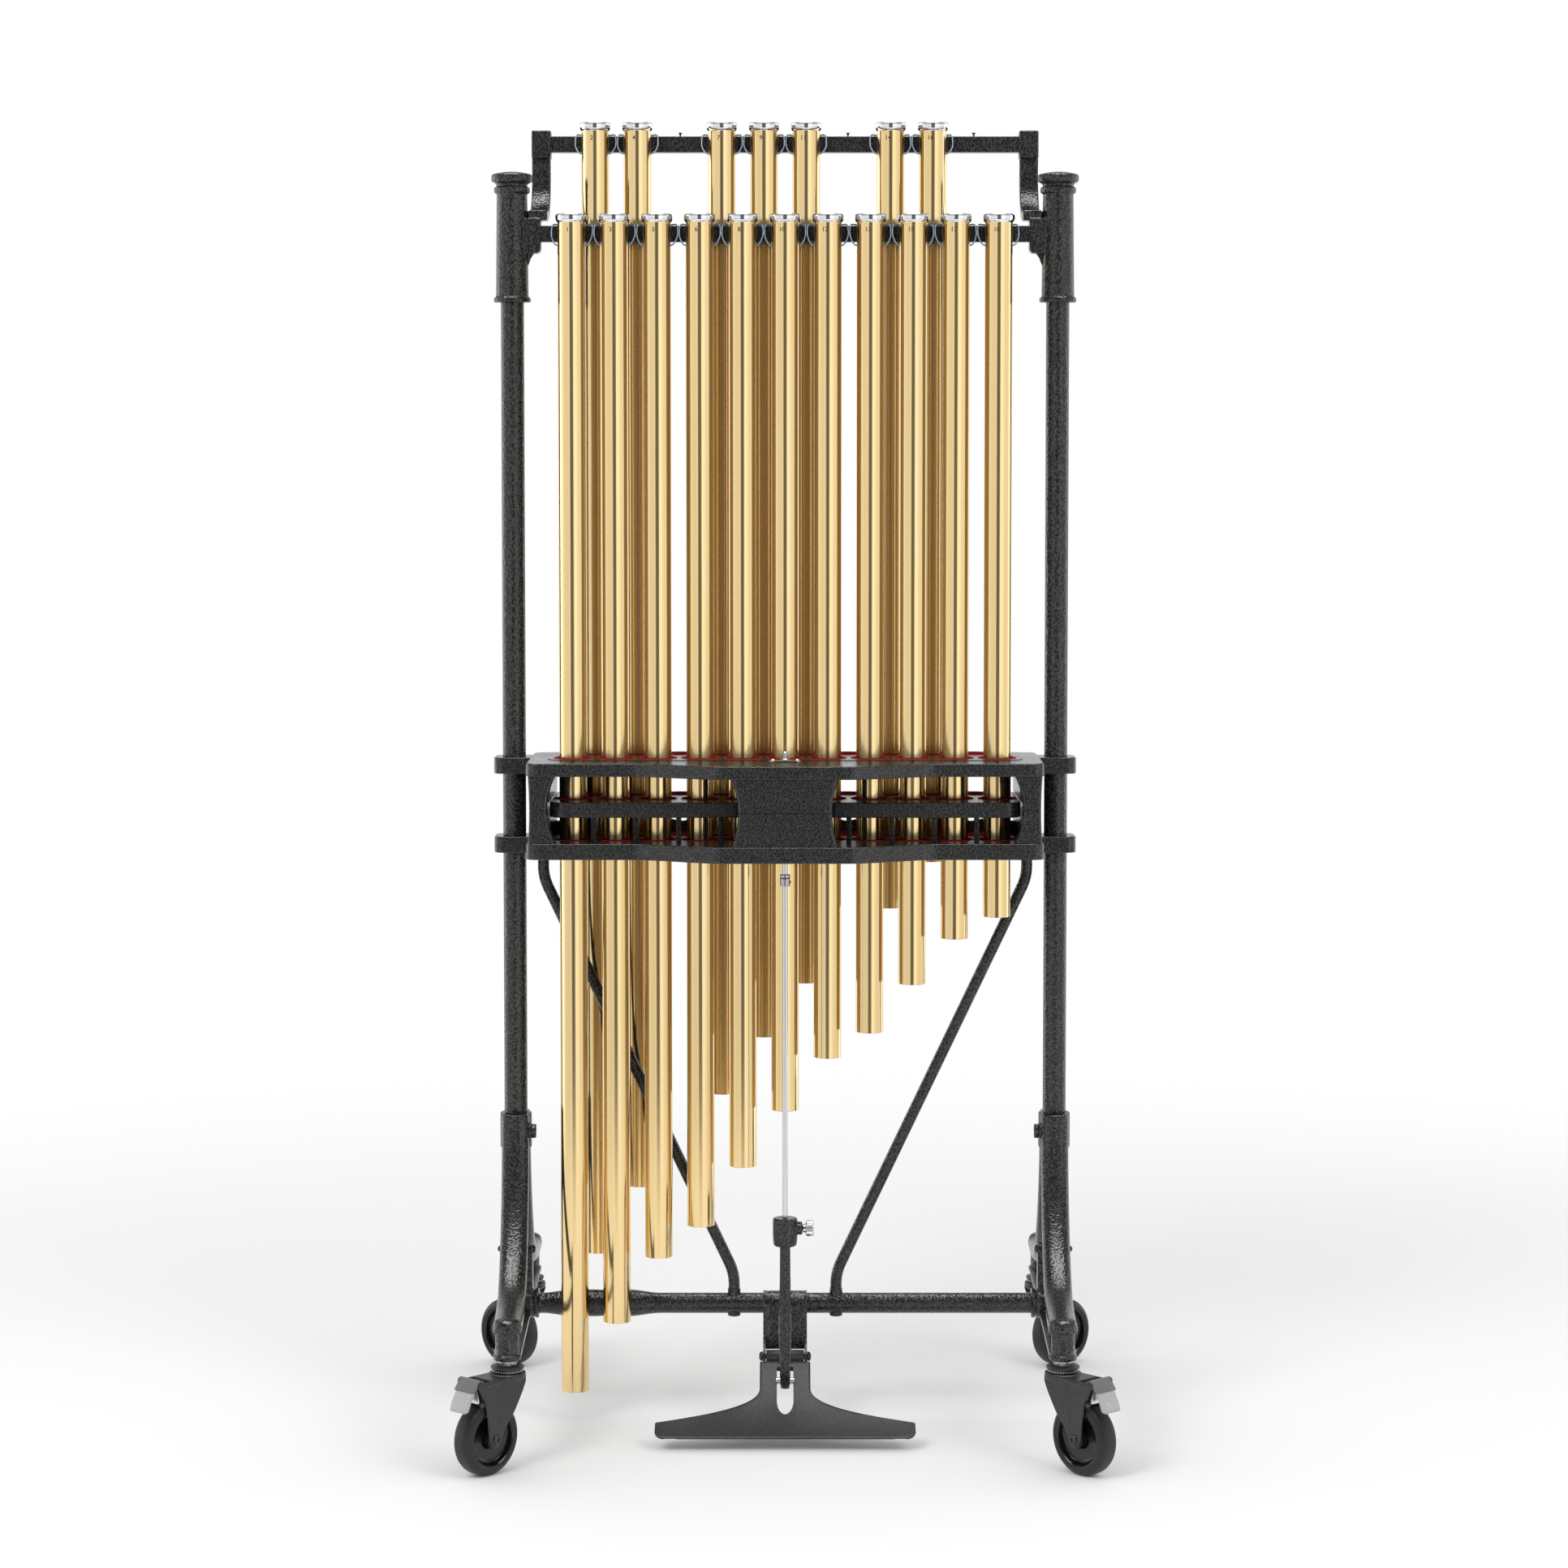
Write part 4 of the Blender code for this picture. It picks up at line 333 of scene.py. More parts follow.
    @staticmethod
    def combine(obj: bpy.types.Object, others: Sequence[bpy.types.Object], operation: str) -> bpy.types.Object:
        """Joins others to the object or cuts them away, and removes them.

        Args:
            obj: The object that stays.
            others: The closed solids to use.
            operation: UNION, DIFFERENCE or INTERSECT.

        Returns:
            The same object.
        """
        for other in others:
            Bench.apply(obj, "BOOLEAN", operation=operation, solver="EXACT", object=other)
            bpy.data.objects.remove(other)
        return obj

    @staticmethod
    def drill(
        obj: bpy.types.Object, centres: Sequence[Pair], radius: float, low: float, high: float, sides: int = 48
    ) -> bpy.types.Object:
        """Bores a hole along Z at each centre."""
        cutters = [Bench.rod(f"bit_{n}", (x, y, low), (x, y, high), radius, sides) for n, (x, y) in enumerate(centres)]
        return Bench.combine(obj, [Bench.weld(*cutters)], "DIFFERENCE")

    @staticmethod
    def halve(obj: bpy.types.Object, point: Point, normal: Point) -> bpy.types.Object:
        """Cuts off what lies on the normal's side of a plane and closes the cut."""
        with Bench.editing(obj):
            bpy.ops.mesh.bisect(plane_co=point, plane_no=normal, use_fill=True, clear_outer=True)
        return Bench.tidy(obj)

    @staticmethod
    def cast(obj: bpy.types.Object, voxel: float, smooth: int = 4) -> bpy.types.Object:
        """Melts crossing solids into one casting with soft inner corners."""
        Bench.apply(obj, "REMESH", mode="VOXEL", voxel_size=voxel)
        return Bench.apply(obj, "SMOOTH", factor=0.5, iterations=smooth)


class Socket:
    """A value in a node tree that sums can be written with."""

    def __init__(self, recipe: "Recipe", end: bpy.types.NodeSocket) -> None:
        """Keeps the recipe and the node output that carries the value."""
        self.recipe = recipe
        self.end = end

    def maths(self, operation: str, *values: "Socket | float") -> "Socket":
        """A Math node on these values."""
        return self.recipe.node("ShaderNodeMath", {"operation": operation}, dict(enumerate(values)))

    def __add__(self, other: "Socket | float") -> "Socket":
        """The sum."""
        return self.maths("ADD", self, other)

    def __radd__(self, other: float) -> "Socket":
        """The sum, with the number first."""
        return self.maths("ADD", other, self)

    def __sub__(self, other: "Socket | float") -> "Socket":
        """The difference."""
        return self.maths("SUBTRACT", self, other)

    def __rsub__(self, other: float) -> "Socket":
        """The difference, with the number first."""
        return self.maths("SUBTRACT", other, self)

    def __mul__(self, other: "Socket | float") -> "Socket":
        """The product."""
        return self.maths("MULTIPLY", self, other)

    def __rmul__(self, other: float) -> "Socket":
        """The product, with the number first."""
        return self.maths("MULTIPLY", other, self)

    def __truediv__(self, other: "Socket | float") -> "Socket":
        """The quotient."""
        return self.maths("DIVIDE", self, other)

    def smooth(self, low: float, high: float) -> "Socket":
        """A smooth step from 0 at low to 1 at high."""
        return self.recipe.node(
            "ShaderNodeMapRange",
            {"interpolation_type": "SMOOTHSTEP"},
            {"Value": self, "From Min": low, "From Max": high},
        )


class Recipe:
    """The node tree of one material or of the world."""

    def __init__(self, tree: bpy.types.NodeTree) -> None:
        """Starts from an empty tree."""
        self.tree = tree
        tree.nodes.clear()

    def node(
        self,
        kind: str,
        settings: dict[str, object] | None = None,
        inputs: dict[str | int, object] | None = None,
        output: str | int = 0,
    ) -> Socket:
        """Adds a node.

        Args:
            kind: The node's type.
            settings: Its properties, set first; "stops" are a ramp's places and colours.
            inputs: The values or links of its sockets.
            output: The output to give back.

        Returns:
            That output.
        """
        made = self.tree.nodes.new(kind)
        for name, value in (settings or {}).items():
            if name == "stops":
                ramp = made.color_ramp.elements
                for place, _ in value[2:]:
                    ramp.new(place)
                for stop, (place, colour) in zip(ramp, value):
                    stop.position = place
                    stop.color = (*colour, 1.0) if isinstance(colour, tuple) else (colour, colour, colour, 1.0)
            else:
                setattr(made, name, value)
        for name, value in (inputs or {}).items():
            if isinstance(value, Socket):
                self.tree.links.new(value.end, made.inputs[name])
            else:
                made.inputs[name].default_value = value
        return Socket(self, made.outputs[output] if made.outputs else None)

    def place(self, scale: Point = (1.0, 1.0, 1.0)) -> Socket:
        """Object coordinates, stretched by a scale."""
        here = self.node("ShaderNodeTexCoord", output="Object")
        return self.node("ShaderNodeMapping", {}, {"Vector": here, "Scale": scale})

    def noise(self, scale: float, detail: float = 2.0, stretch: Point = (1.0, 1.0, 1.0), rough: float = 0.5) -> Socket:
        """Noise on Object coordinates, from 0 to 1."""
        inputs = {"Vector": self.place(stretch), "Scale": scale, "Detail": detail, "Roughness": rough}
        return self.node("ShaderNodeTexNoise", {}, inputs, "Fac")

    def mix(self, share: Socket | float, first: object, second: object) -> Socket:
        """A blend of two colours."""
        full = [(*c, 1.0) if isinstance(c, tuple) else c for c in (first, second)]
        return self.node(
            "ShaderNodeMix", {"data_type": "RGBA"}, {0: share, 6: full[0], 7: full[1]}, 2
        )

    def bump(self, height: Socket, distance: float, strength: float = 1.0) -> Socket:
        """A normal from a height."""
        return self.node("ShaderNodeBump", {}, {"Height": height, "Distance": distance, "Strength": strength})

    def output(self, surface: Socket, kind: str = "ShaderNodeOutputMaterial") -> None:
        """Ends the tree."""
        self.node(kind, {}, {"Surface": surface})


@dataclass(frozen=True)
class Finish:
    """A surface finish: one colour and gloss with the detail that its kind adds."""

    name: str
    colour: Point
    roughness: float
    metallic: float = 0.0
    coat: float = 0.0

    def material(self) -> bpy.types.Material:
        """The finish as a material, made once."""
        found = bpy.data.materials.get(self.name)
        if found:
            return found
        made = bpy.data.materials.new(self.name)
        made.use_nodes = True
        recipe = Recipe(made.node_tree)
        inputs: dict[str | int, object] = {
            "Base Color": (*self.colour, 1.0),
            "Roughness": self.roughness,
            "Metallic": self.metallic,
            "Coat Weight": self.coat,
            "Coat Roughness": 0.08,
        }
        inputs.update(self.detail(recipe))
        recipe.output(recipe.node("ShaderNodeBsdfPrincipled", {}, inputs))
        return made

    def detail(self, recipe: Recipe) -> dict[str | int, object]:
        """What varies over the surface, by the shader's socket names."""
        return {}


@dataclass(frozen=True)
class Brushed(Finish):
    """Metal with fine lines along one axis and faint clouds of tarnish."""

    lines: Point = (1.0, 1.0, 0.01)
    fineness: float = 900.0
    depth: float = 0.000012
    tarnish: Point = (0.80, 0.56, 0.24)

    def detail(self, recipe: Recipe) -> dict[str | int, object]:
        """Lines in the gloss and the height, and clouds in the colour."""
        line = recipe.noise(self.fineness, 2.0, self.lines)
        cloud = recipe.noise(9.0, 3.0, (1.0, 1.0, 0.35))
        return {
            "Base Color": recipe.mix(cloud.smooth(0.35, 0.85) * 0.22 + line * 0.10, self.colour, self.tarnish),
            "Roughness": self.roughness - 0.03 + line * 0.05 + cloud * 0.02,
            "Normal": recipe.bump(line, self.depth),
        }


@dataclass(frozen=True)
class Polished(Finish):
    """Bright plated metal with a faint haze."""

    def detail(self, recipe: Recipe) -> dict[str | int, object]:
        """A haze that varies the gloss."""
        haze = recipe.noise(60.0, 4.0)
        return {
            "Roughness": self.roughness + haze.smooth(0.4, 0.8) * 0.05,
            "Normal": recipe.bump(recipe.noise(25.0, 1.0), 0.00004),
        }


@dataclass(frozen=True)
class Hammered(Finish):
    """Black paint that dried in shallow pits, with painted glints on the pits' rims."""

    cells: float = 300.0
    depth: float = 0.00060
    # A painted highlight: the pale colour that the pits' rims take, for the glint of light in each dimple.
    painted_glint: Point = (0.034, 0.034, 0.034)

    def detail(self, recipe: Recipe) -> dict[str | int, object]:
        """Pits in the height, painted glints on the pits' rims in the colour, and clouds in the gloss."""
        wander = recipe.node(
            "ShaderNodeVectorMath",
            {"operation": "MULTIPLY_ADD"},
            {
                0: recipe.node("ShaderNodeTexNoise", {}, {"Vector": recipe.place(), "Scale": self.cells * 0.7}, "Color"),
                1: (0.0016, 0.0016, 0.0016),
                2: recipe.place(),
            },
        )
        pit = recipe.node(
            "ShaderNodeTexVoronoi",
            {"feature": "SMOOTH_F1"},
            {"Vector": wander, "Scale": self.cells, "Smoothness": 0.35},
            "Distance",
        )
        grain = recipe.noise(self.cells * 3.1, 2.0)
        cloud = recipe.noise(14.0, 2.0)
        # ridge marks the rims between the pits, which get the painted glint colour: a painted highlight of the light in
        # each dimple.
        ridge = (pit * 0.8 + grain * 0.5).smooth(0.45, 0.85)
        return {
            "Base Color": recipe.mix(ridge, self.colour, self.painted_glint),
            "Roughness": self.roughness + cloud.smooth(0.3, 0.75) * 0.05,
            "Normal": recipe.bump(pit + grain * 0.20, self.depth),
        }


@dataclass(frozen=True)
class Felt(Finish):
    """Pressed wool: tangled fibres with a soft nap."""

    def detail(self, recipe: Recipe) -> dict[str | int, object]:
        """Fibres in the height and the colour."""
        fibre = recipe.noise(1400.0, 4.0, (1.0, 1.0, 0.5), 0.7)
        clump = recipe.noise(220.0, 2.0)
        dark = tuple(0.45 * c for c in self.colour)
        return {
            "Base Color": recipe.mix(fibre.smooth(0.35, 0.7) * 0.7 + clump * 0.3, dark, self.colour),
            "Normal": recipe.bump(fibre + clump, 0.00025),
        }


@dataclass(frozen=True)
class Moulded(Finish):
    """Rubber or plastic from a mould: a fine matt grain and faint scuffs."""

    grain: float = 1500.0
    depth: float = 0.00002
    scuff: float = 0.5

    def detail(self, recipe: Recipe) -> dict[str | int, object]:
        """Grain in the height, scuffs in the colour and gloss."""
        grain = recipe.noise(self.grain, 3.0)
        scuff = recipe.noise(70.0, 5.0, (1.0, 1.0, 1.0), 0.65).smooth(0.52, 0.78)
        pale = tuple(min(1.0, c * 1.5 + 0.012) for c in self.colour)
        return {
            "Base Color": recipe.mix(scuff * self.scuff, self.colour, pale),
            "Roughness": self.roughness - 0.04 + grain * 0.08 + scuff * 0.1,
            "Normal": recipe.bump(grain, self.depth),
        }


@dataclass(frozen=True)
class Coated(Finish):
    """A cord under a clear plastic coat, with painted shade that darkens it where it is seen edge-on."""

    # The colour of the painted shade on the cord's edges.
    edge: Point = (0.03, 0.045, 0.075)

    def detail(self, recipe: Recipe) -> dict[str | int, object]:
        """A painted shade on the rim, where the cord is seen edge-on, and a fine braid under the coat."""
        # Facing weight darkens the colour towards the cord's silhouette: painted shade, not a colour of the cord.
        rim = recipe.node("ShaderNodeLayerWeight", {}, {"Blend": 0.35}, "Facing")
        braid = recipe.noise(900.0, 2.0)
        return {
            "Base Color": recipe.mix(rim.smooth(0.15, 0.75) * 0.8 + braid * 0.2, self.colour, self.edge),
            "Normal": recipe.bump(braid, 0.00003),
        }


BRASS = Brushed("brushed_brass", (0.90, 0.68, 0.35), 0.15, 1.0)
CHROME = Polished("bright_chrome", (0.84, 0.85, 0.87), 0.05, 1.0)
NICKEL = Polished("dull_nickel", (0.46, 0.46, 0.47), 0.16, 1.0)
PAINT = Hammered("hammered_black_paint", (0.0030, 0.0030, 0.0031), 0.13)
GRAIN_PAINT = Hammered("fine_black_paint", (0.0035, 0.0035, 0.0037), 0.16, cells=400.0, depth=0.00036)
SATIN_PAINT = Hammered("satin_black_paint", (0.008, 0.008, 0.0084), 0.38, cells=500.0, depth=0.00016)
FORK_PAINT = Hammered("fork_black_paint", (0.009, 0.009, 0.0094), 0.34, cells=700.0, depth=0.00006)
GLOSS_BLACK = Moulded("glossy_black_plastic", (0.006, 0.006, 0.006), 0.16, grain=400.0)
CORD_COAT = Coated("coated_cord", (0.20, 0.27, 0.36), 0.30, coat=0.25)
RED_FELT = Felt("red_felt", (0.50, 0.012, 0.014), 0.95)
TYRE = Moulded("tyre_rubber", (0.008, 0.008, 0.008), 0.48, depth=0.00003)
SOLE = Moulded("ribbed_sole_rubber", (0.014, 0.014, 0.014), 0.62, depth=0.00004)
ZINC = Brushed("zinc_plated_steel", (0.72, 0.73, 0.75), 0.22, 1.0, tarnish=(0.55, 0.56, 0.58))
LEVER_DARK = Moulded("mid_grey_plastic", (0.13, 0.13, 0.13), 0.42)
LEVER_PALE = Moulded("pale_grey_plastic", (0.38, 0.38, 0.38), 0.40)
STAMP = Moulded("stamped_mark", (0.050, 0.030, 0.012), 0.45)


class Body(Enum):
    """The bodies that a piece can move with, beside one for each tube and each caster."""

    STAND = "stand"
    PEDAL = "pedal"
    ROD = "pull_rod"
    GRID = "damper_grid"


def ease(value: float) -> float:
    """A smooth step from 0 to 1."""
    value = min(1.0, max(0.0, value))
    return value * value * (3 - 2 * value)


def blend_through(points: Sequence[Point], between: int, closed: bool = False) -> list[Point]:
    """A smooth line through points.

    Args:
        points: The points to pass through.
        between: How many steps there are from one point to the next.
        closed: Whether the line comes back to its start.

    Returns:
        The points of the line.
    """
    count = len(points)
    at = [Vector(p) for p in points]
    line: list[Point] = []
    for i in range(count if closed else count - 1):
        if closed:
            a, b, c, d = (at[(i + k) % count] for k in (-1, 0, 1, 2))
        else:
            a, b, c, d = at[max(i - 1, 0)], at[i], at[i + 1], at[min(i + 2, count - 1)]
        for step in range(between):
            t = step / between
            spot = 0.5 * (
                2 * b + (c - a) * t + (2 * a - 5 * b + 4 * c - d) * t**2 + (3 * b - a - 3 * c + d) * t**3
            )
            line.append(tuple(spot))
    if not closed:
        line.append(tuple(at[-1]))
    return line


def corner(at: Pair, before: Pair, after: Pair, radius: float, steps: int = 6) -> list[Pair]:
    """Points round a corner of an outline, from the side before it to the side after it."""
    spot = Vector(at)
    one = (Vector(before) - spot).normalized()
    two = (Vector(after) - spot).normalized()
    half = one.angle(two) / 2
    back = radius / math.tan(half)
    centre = spot + (one + two).normalized() * (radius / math.sin(half))
    first, last = spot + one * back - centre, spot + two * back - centre
    return [tuple(centre + first.slerp(last, i / steps).normalized() * radius) for i in range(steps + 1)]


def rounded(points: Sequence[Pair], radii: float | Sequence[float], steps: int = 6) -> list[Pair]:
    """A closed outline with round corners.

    Args:
        points: Its corners in order.
        radii: One radius for all of them, or one for each.
        steps: How many steps each corner takes.

    Returns:
        The points of the outline.
    """
    outline: list[Pair] = []
    for number, at in enumerate(points):
        radius = radii if isinstance(radii, float) else radii[number]
        before, after = points[number - 1], points[(number + 1) % len(points)]
        one, two = Vector(before) - Vector(at), Vector(after) - Vector(at)
        room = min(one.length, two.length) * 0.45 * math.tan(one.angle(two) / 2)
        outline += corner(at, before, after, min(radius, room), steps)
    return outline


@dataclass
class Assembly:
    """A group of pieces of the chimes, with what fitting them needs."""

    shift: float
    count: int = field(default=0, init=False)

    def fit(
        self,
        obj: bpy.types.Object,
        finish: Finish,
        body: str,
        slot: str,
        nodes: Sequence[str] = (),
        angle: float = 32.0,
        flat: bool = False,
    ) -> bpy.types.Object:
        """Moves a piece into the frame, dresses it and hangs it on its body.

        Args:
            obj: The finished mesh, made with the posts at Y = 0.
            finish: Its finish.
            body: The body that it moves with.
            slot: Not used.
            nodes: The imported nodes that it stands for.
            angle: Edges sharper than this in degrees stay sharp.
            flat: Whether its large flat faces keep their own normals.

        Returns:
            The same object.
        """
        Bench.place(obj, Matrix.Translation((0.0, self.shift, 0.0)))
        obj.data.materials.clear()
        obj.data.materials.append(finish.material())
        Bench.pick(obj)
        bpy.ops.object.shade_smooth_by_angle(angle=math.radians(angle))
        if flat:
            Bench.apply(obj, "WEIGHTED_NORMAL", keep_sharp=True, weight=50)
        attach(obj, body)
        if nodes:
            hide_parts(*nodes)
        self.count += 1
        LOG.info("%s: %d faces on %s", obj.name, len(obj.data.polygons), body)
        return obj


@dataclass
class Layout(Assembly):
    """The places of the two rows of tubes, which most pieces share."""

    pitch: float = 0.0583
    places: int = 11
    front_y: float = -0.0375
    back_y: float = 0.0375
    front_top: float = 1.671
    back_top: float = 1.801
    back_places: tuple[float, ...] = (0.5, 1.5, 3.5, 4.5, 5.5, 7.5, 8.5)
    back_rings: tuple[float, ...] = (0.5, 1.5, 2.5, 3.5, 4.5, 5.5, 6.5, 7.5, 8.5, 9.5)
    post_x: float = 0.375
    hole_drop: float = 0.042

    def at(self, place: float) -> float:
        """The X of a place in the rows."""
        return (place - (self.places - 1) / 2) * self.pitch


@dataclass
class Tubes(Layout):
    """The brass tubes, each with its chrome cap and its number."""

    radius: float = 0.01905
    wall: float = 0.002
    cap_height: float = 0.0116
    longest: float = 1.625
    steps_per_halving: float = 22.5
    front_notes: tuple[int, ...] = (0, 2, 4, 5, 7, 9, 11, 12, 14, 16, 17)
    back_notes: tuple[int, ...] = (1, 3, 6, 8, 10, 13, 15)
    number_size: float = 0.0085
    number_drop: float = 0.0217
    number_aside: float = -0.0042

    def build(self) -> None:
        """Makes both rows."""
        cap = self.cap()
        for index, note in enumerate(self.front_notes):
            self.chime(f"tube_front_{index + 1:02d}", self.at(index), self.front_y, self.front_top, note, cap)
        for number, (index, note) in enumerate(zip(self.back_places, self.back_notes)):
            self.chime(f"tube_back_{number + 1:02d}", self.at(index), self.back_y, self.back_top, note, cap)
        bpy.data.objects.remove(cap)

    def cap(self) -> bpy.types.Object:
        """The turned cap, with a bead round its rim and a shallow dish on top."""
        profile = [
            (0.0, -0.0012), (0.0120, -0.0011), (0.0168, -0.0008), (0.0186, -0.0003), (0.0197, 0.0),
            (0.0207, -0.0003), (0.0213, -0.0010), (0.0217, -0.0022), (0.0218, -0.0040), (0.0218, -0.0060),
            (0.0216, -0.0076), (0.0211, -0.0090), (0.0203, -0.0100), (0.0196, -0.0106), (0.0192, -0.0112),
            (0.0190, -0.0116), (0.0, -0.0116),
        ]
        return Bench.lathe("cap", profile, 64)

    def chime(self, node: str, x: float, y: float, top: float, note: int, cap: bpy.types.Object) -> None:
        """Makes one tube, its cap and its number.

        Args:
            node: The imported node, which is also the body.
            x: The place of its axis.
            y: The same.
            top: The height of its cap's top.
            note: Its step in the scale, from 0.
            cap: The cap to copy.
        """
        foot = -self.longest * 2 ** (-note / self.steps_per_halving)
        inner, soft = self.radius - self.wall, 0.0004
        hole, clear = -self.hole_drop, 0.004
        profile = [
            (self.radius, -self.cap_height + 0.0003), (self.radius, hole + clear), (self.radius, hole - clear),
            (self.radius, foot + soft), (self.radius - soft, foot), (inner + soft, foot), (inner, foot + soft),
            (inner, hole - clear), (inner, hole + clear), (inner, -self.cap_height + 0.0003),
        ]
        place = Matrix.Translation((x, y, top))
        tube = Bench.lathe(f"{node}_brass", profile, 72, place)
        reach = self.radius + 0.01
        drill = Bench.rod(f"{node}_drill", (x - reach, y, top + hole), (x + reach, y, top + hole), 0.0025, 16)
        Bench.combine(tube, [drill], "DIFFERENCE")
        self.fit(tube, BRASS, node, "bell_brass", [node], flat=True)
        self.fit(Bench.copy(cap, f"{node}_cap", place), CHROME, node, "bell_brass", angle=60.0)
        self.number(f"{node}_number", str(note + 1), node, (x, y, top - self.number_drop))

    def number(self, name: str, words: str, body: str, at: Point) -> None:
        """A small stamped number, bent round the tube a little left of its front.

        Args:
            name: The piece's name.
            words: The number.
            body: The tube that carries it.
            at: The tube's axis at the number's height.
        """
        Bench.pick()
        bpy.ops.object.text_add()
        obj = Bench.named(name)
        text = obj.data
        text.body = words
        text.size = self.number_size
        text.align_x = "CENTER"
        text.align_y = "CENTER"
        text.extrude = 0.00005
        text.offset = 0.00012
        Bench.pick(obj)
        bpy.ops.object.convert(target="MESH")
        obj = Bench.named(name)
        Bench.tidy(obj)
        for line in range(-5, 6):
            with Bench.editing(obj):
                bpy.ops.mesh.bisect(plane_co=(line * 0.001, 0.0, 0.0), plane_no=(1.0, 0.0, 0.0))
        for vertex in obj.data.vertices:
            turn = (vertex.co.x + self.number_aside) / self.radius
            out = self.radius + 0.00008 + vertex.co.z
            vertex.co = (at[0] + out * math.sin(turn), at[1] - out * math.cos(turn), at[2] + vertex.co.y)
        Bench.tidy(obj)
        self.fit(obj, STAMP, body, "bell_brass")


@dataclass
class Rails(Layout):
    """The two rails, their nails and the cords that the tubes hang from."""

    height: float = 0.022
    depth: float = 0.020
    below_cap: float = 0.014
    front_rail_y: float = 0.0
    back_rail_y: float = 0.075
    back_drop: float = 0.002
    front_half: float = 0.3347
    back_half: float = 0.3247
    cord_radius: float = 0.0011
    tube_radius: float = 0.01905

    def build(self) -> None:
        """Makes the rails and hangs the cords on them."""
        front = self.front_top - self.below_cap
        back = self.back_top - self.below_cap - self.back_drop
        self.rail("rail_front", self.front_half, self.front_rail_y, front, range(self.places))
        self.rail("rail_back", self.back_half, self.back_rail_y, back, self.back_rings)
        self.cords("cord_front", range(self.places), self.front_y, self.front_top, self.front_rail_y, front)
        runs = {"cord_back_low": (0, 2), "cord_back_mid": (2, 5), "cord_back_high": (5, 7)}
        for name, (first, last) in runs.items():
            self.cords(name, self.back_places[first:last], self.back_y, self.back_top, self.back_rail_y, back)

    def rail(self, node: str, half: float, y: float, top: float, places: Sequence[float]) -> None:
        """A square bar with a flat-headed nail at each place."""
        low = (-half, y - self.depth / 2, top - self.height)
        bar = Bench.block(f"{node}_bar", low, (half, y + self.depth / 2, top), 0.0009, 3)
        self.fit(bar, PAINT, Body.STAND.value, "hammered_black", [node], flat=True)
        shank, head, tall = 0.0013, 0.0027, 0.0058
        profile = [
            (0.0, tall), (head - 0.0005, tall), (head, tall - 0.0004), (head, tall - 0.0010),
            (head - 0.0004, tall - 0.0014), (shank, tall - 0.0020), (shank, -0.002), (0.0, -0.002),
        ]
        nail = Bench.lathe(f"{node}_nail", profile, 14)
        nails = [Bench.copy(nail, f"{node}_nail_{n}", Matrix.Translation((self.at(p), y, top))) for n, p in enumerate(places)]
        bpy.data.objects.remove(nail)
        self.fit(Bench.weld(*nails), PAINT, Body.STAND.value, "hammered_black")

    def loop(self, name: str, x: float, tube_y: float, top: float, rail_y: float, rail_top: float) -> bpy.types.Object:
        """One loop: round its nail, out past both sides of the tube, and through its two holes."""
        back, down = tube_y - rail_y, top - self.hole_drop - rail_top
        side, lie, wrap = self.tube_radius, 0.0014, 0.0027
        peak = self.pitch / 2 - self.cord_radius - 0.00005
        half = [
            (side - 0.0040, back, down), (side + 0.0030, back, down + 0.0011), (peak - 0.0008, -0.0302, -0.0170),
            (peak, -0.0216, -0.0075), (0.0262, -0.0140, lie - 0.0004), (0.0185, -0.0080, lie),
            (wrap, 0.0006, lie),
        ]
        right = [(x + dx, rail_y + dy, rail_top + dz) for dx, dy, dz in half]
        left = [(x - dx, rail_y + dy, rail_top + dz) for dx, dy, dz in half]
        line = blend_through(right + [(x, rail_y + wrap, rail_top + lie)] + left[::-1], 5, True)
        return Bench.pipe(name, line, self.cord_radius, True, 3)

    def cords(
        self, node: str, places: Sequence[float], tube_y: float, top: float, rail_y: float, rail_top: float
    ) -> None:
        """The loops of one run of neighbouring tubes."""
        loops = [
            self.loop(f"{node}_loop_{n}", self.at(p), tube_y, top, rail_y, rail_top) for n, p in enumerate(places)
        ]
        self.fit(Bench.weld(*loops), CORD_COAT, Body.STAND.value, "cord", [node], angle=80.0)


def rounded_ring(centre: Vector, across: Vector, deep: Vector, power: float = 2.6, count: int = 36) -> list[Point]:
    """A section between an ellipse and a rectangle.

    Args:
        centre: Its middle.
        across: From the middle to the middle of one side.
        deep: From the middle to the middle of the next side.
        power: 2 gives an ellipse, and more gives squarer corners.
        count: How many points go round.

    Returns:
        The points of the section.
    """
    ring = []
    for step in range(count):
        c, s = math.cos(FULL_TURN * (step + 0.5) / count), math.sin(FULL_TURN * (step + 0.5) / count)
        bulge = (abs(c) ** power + abs(s) ** power) ** (-1 / power)
        ring.append(tuple(centre + across * (c * bulge) + deep * (s * bulge)))
    return ring


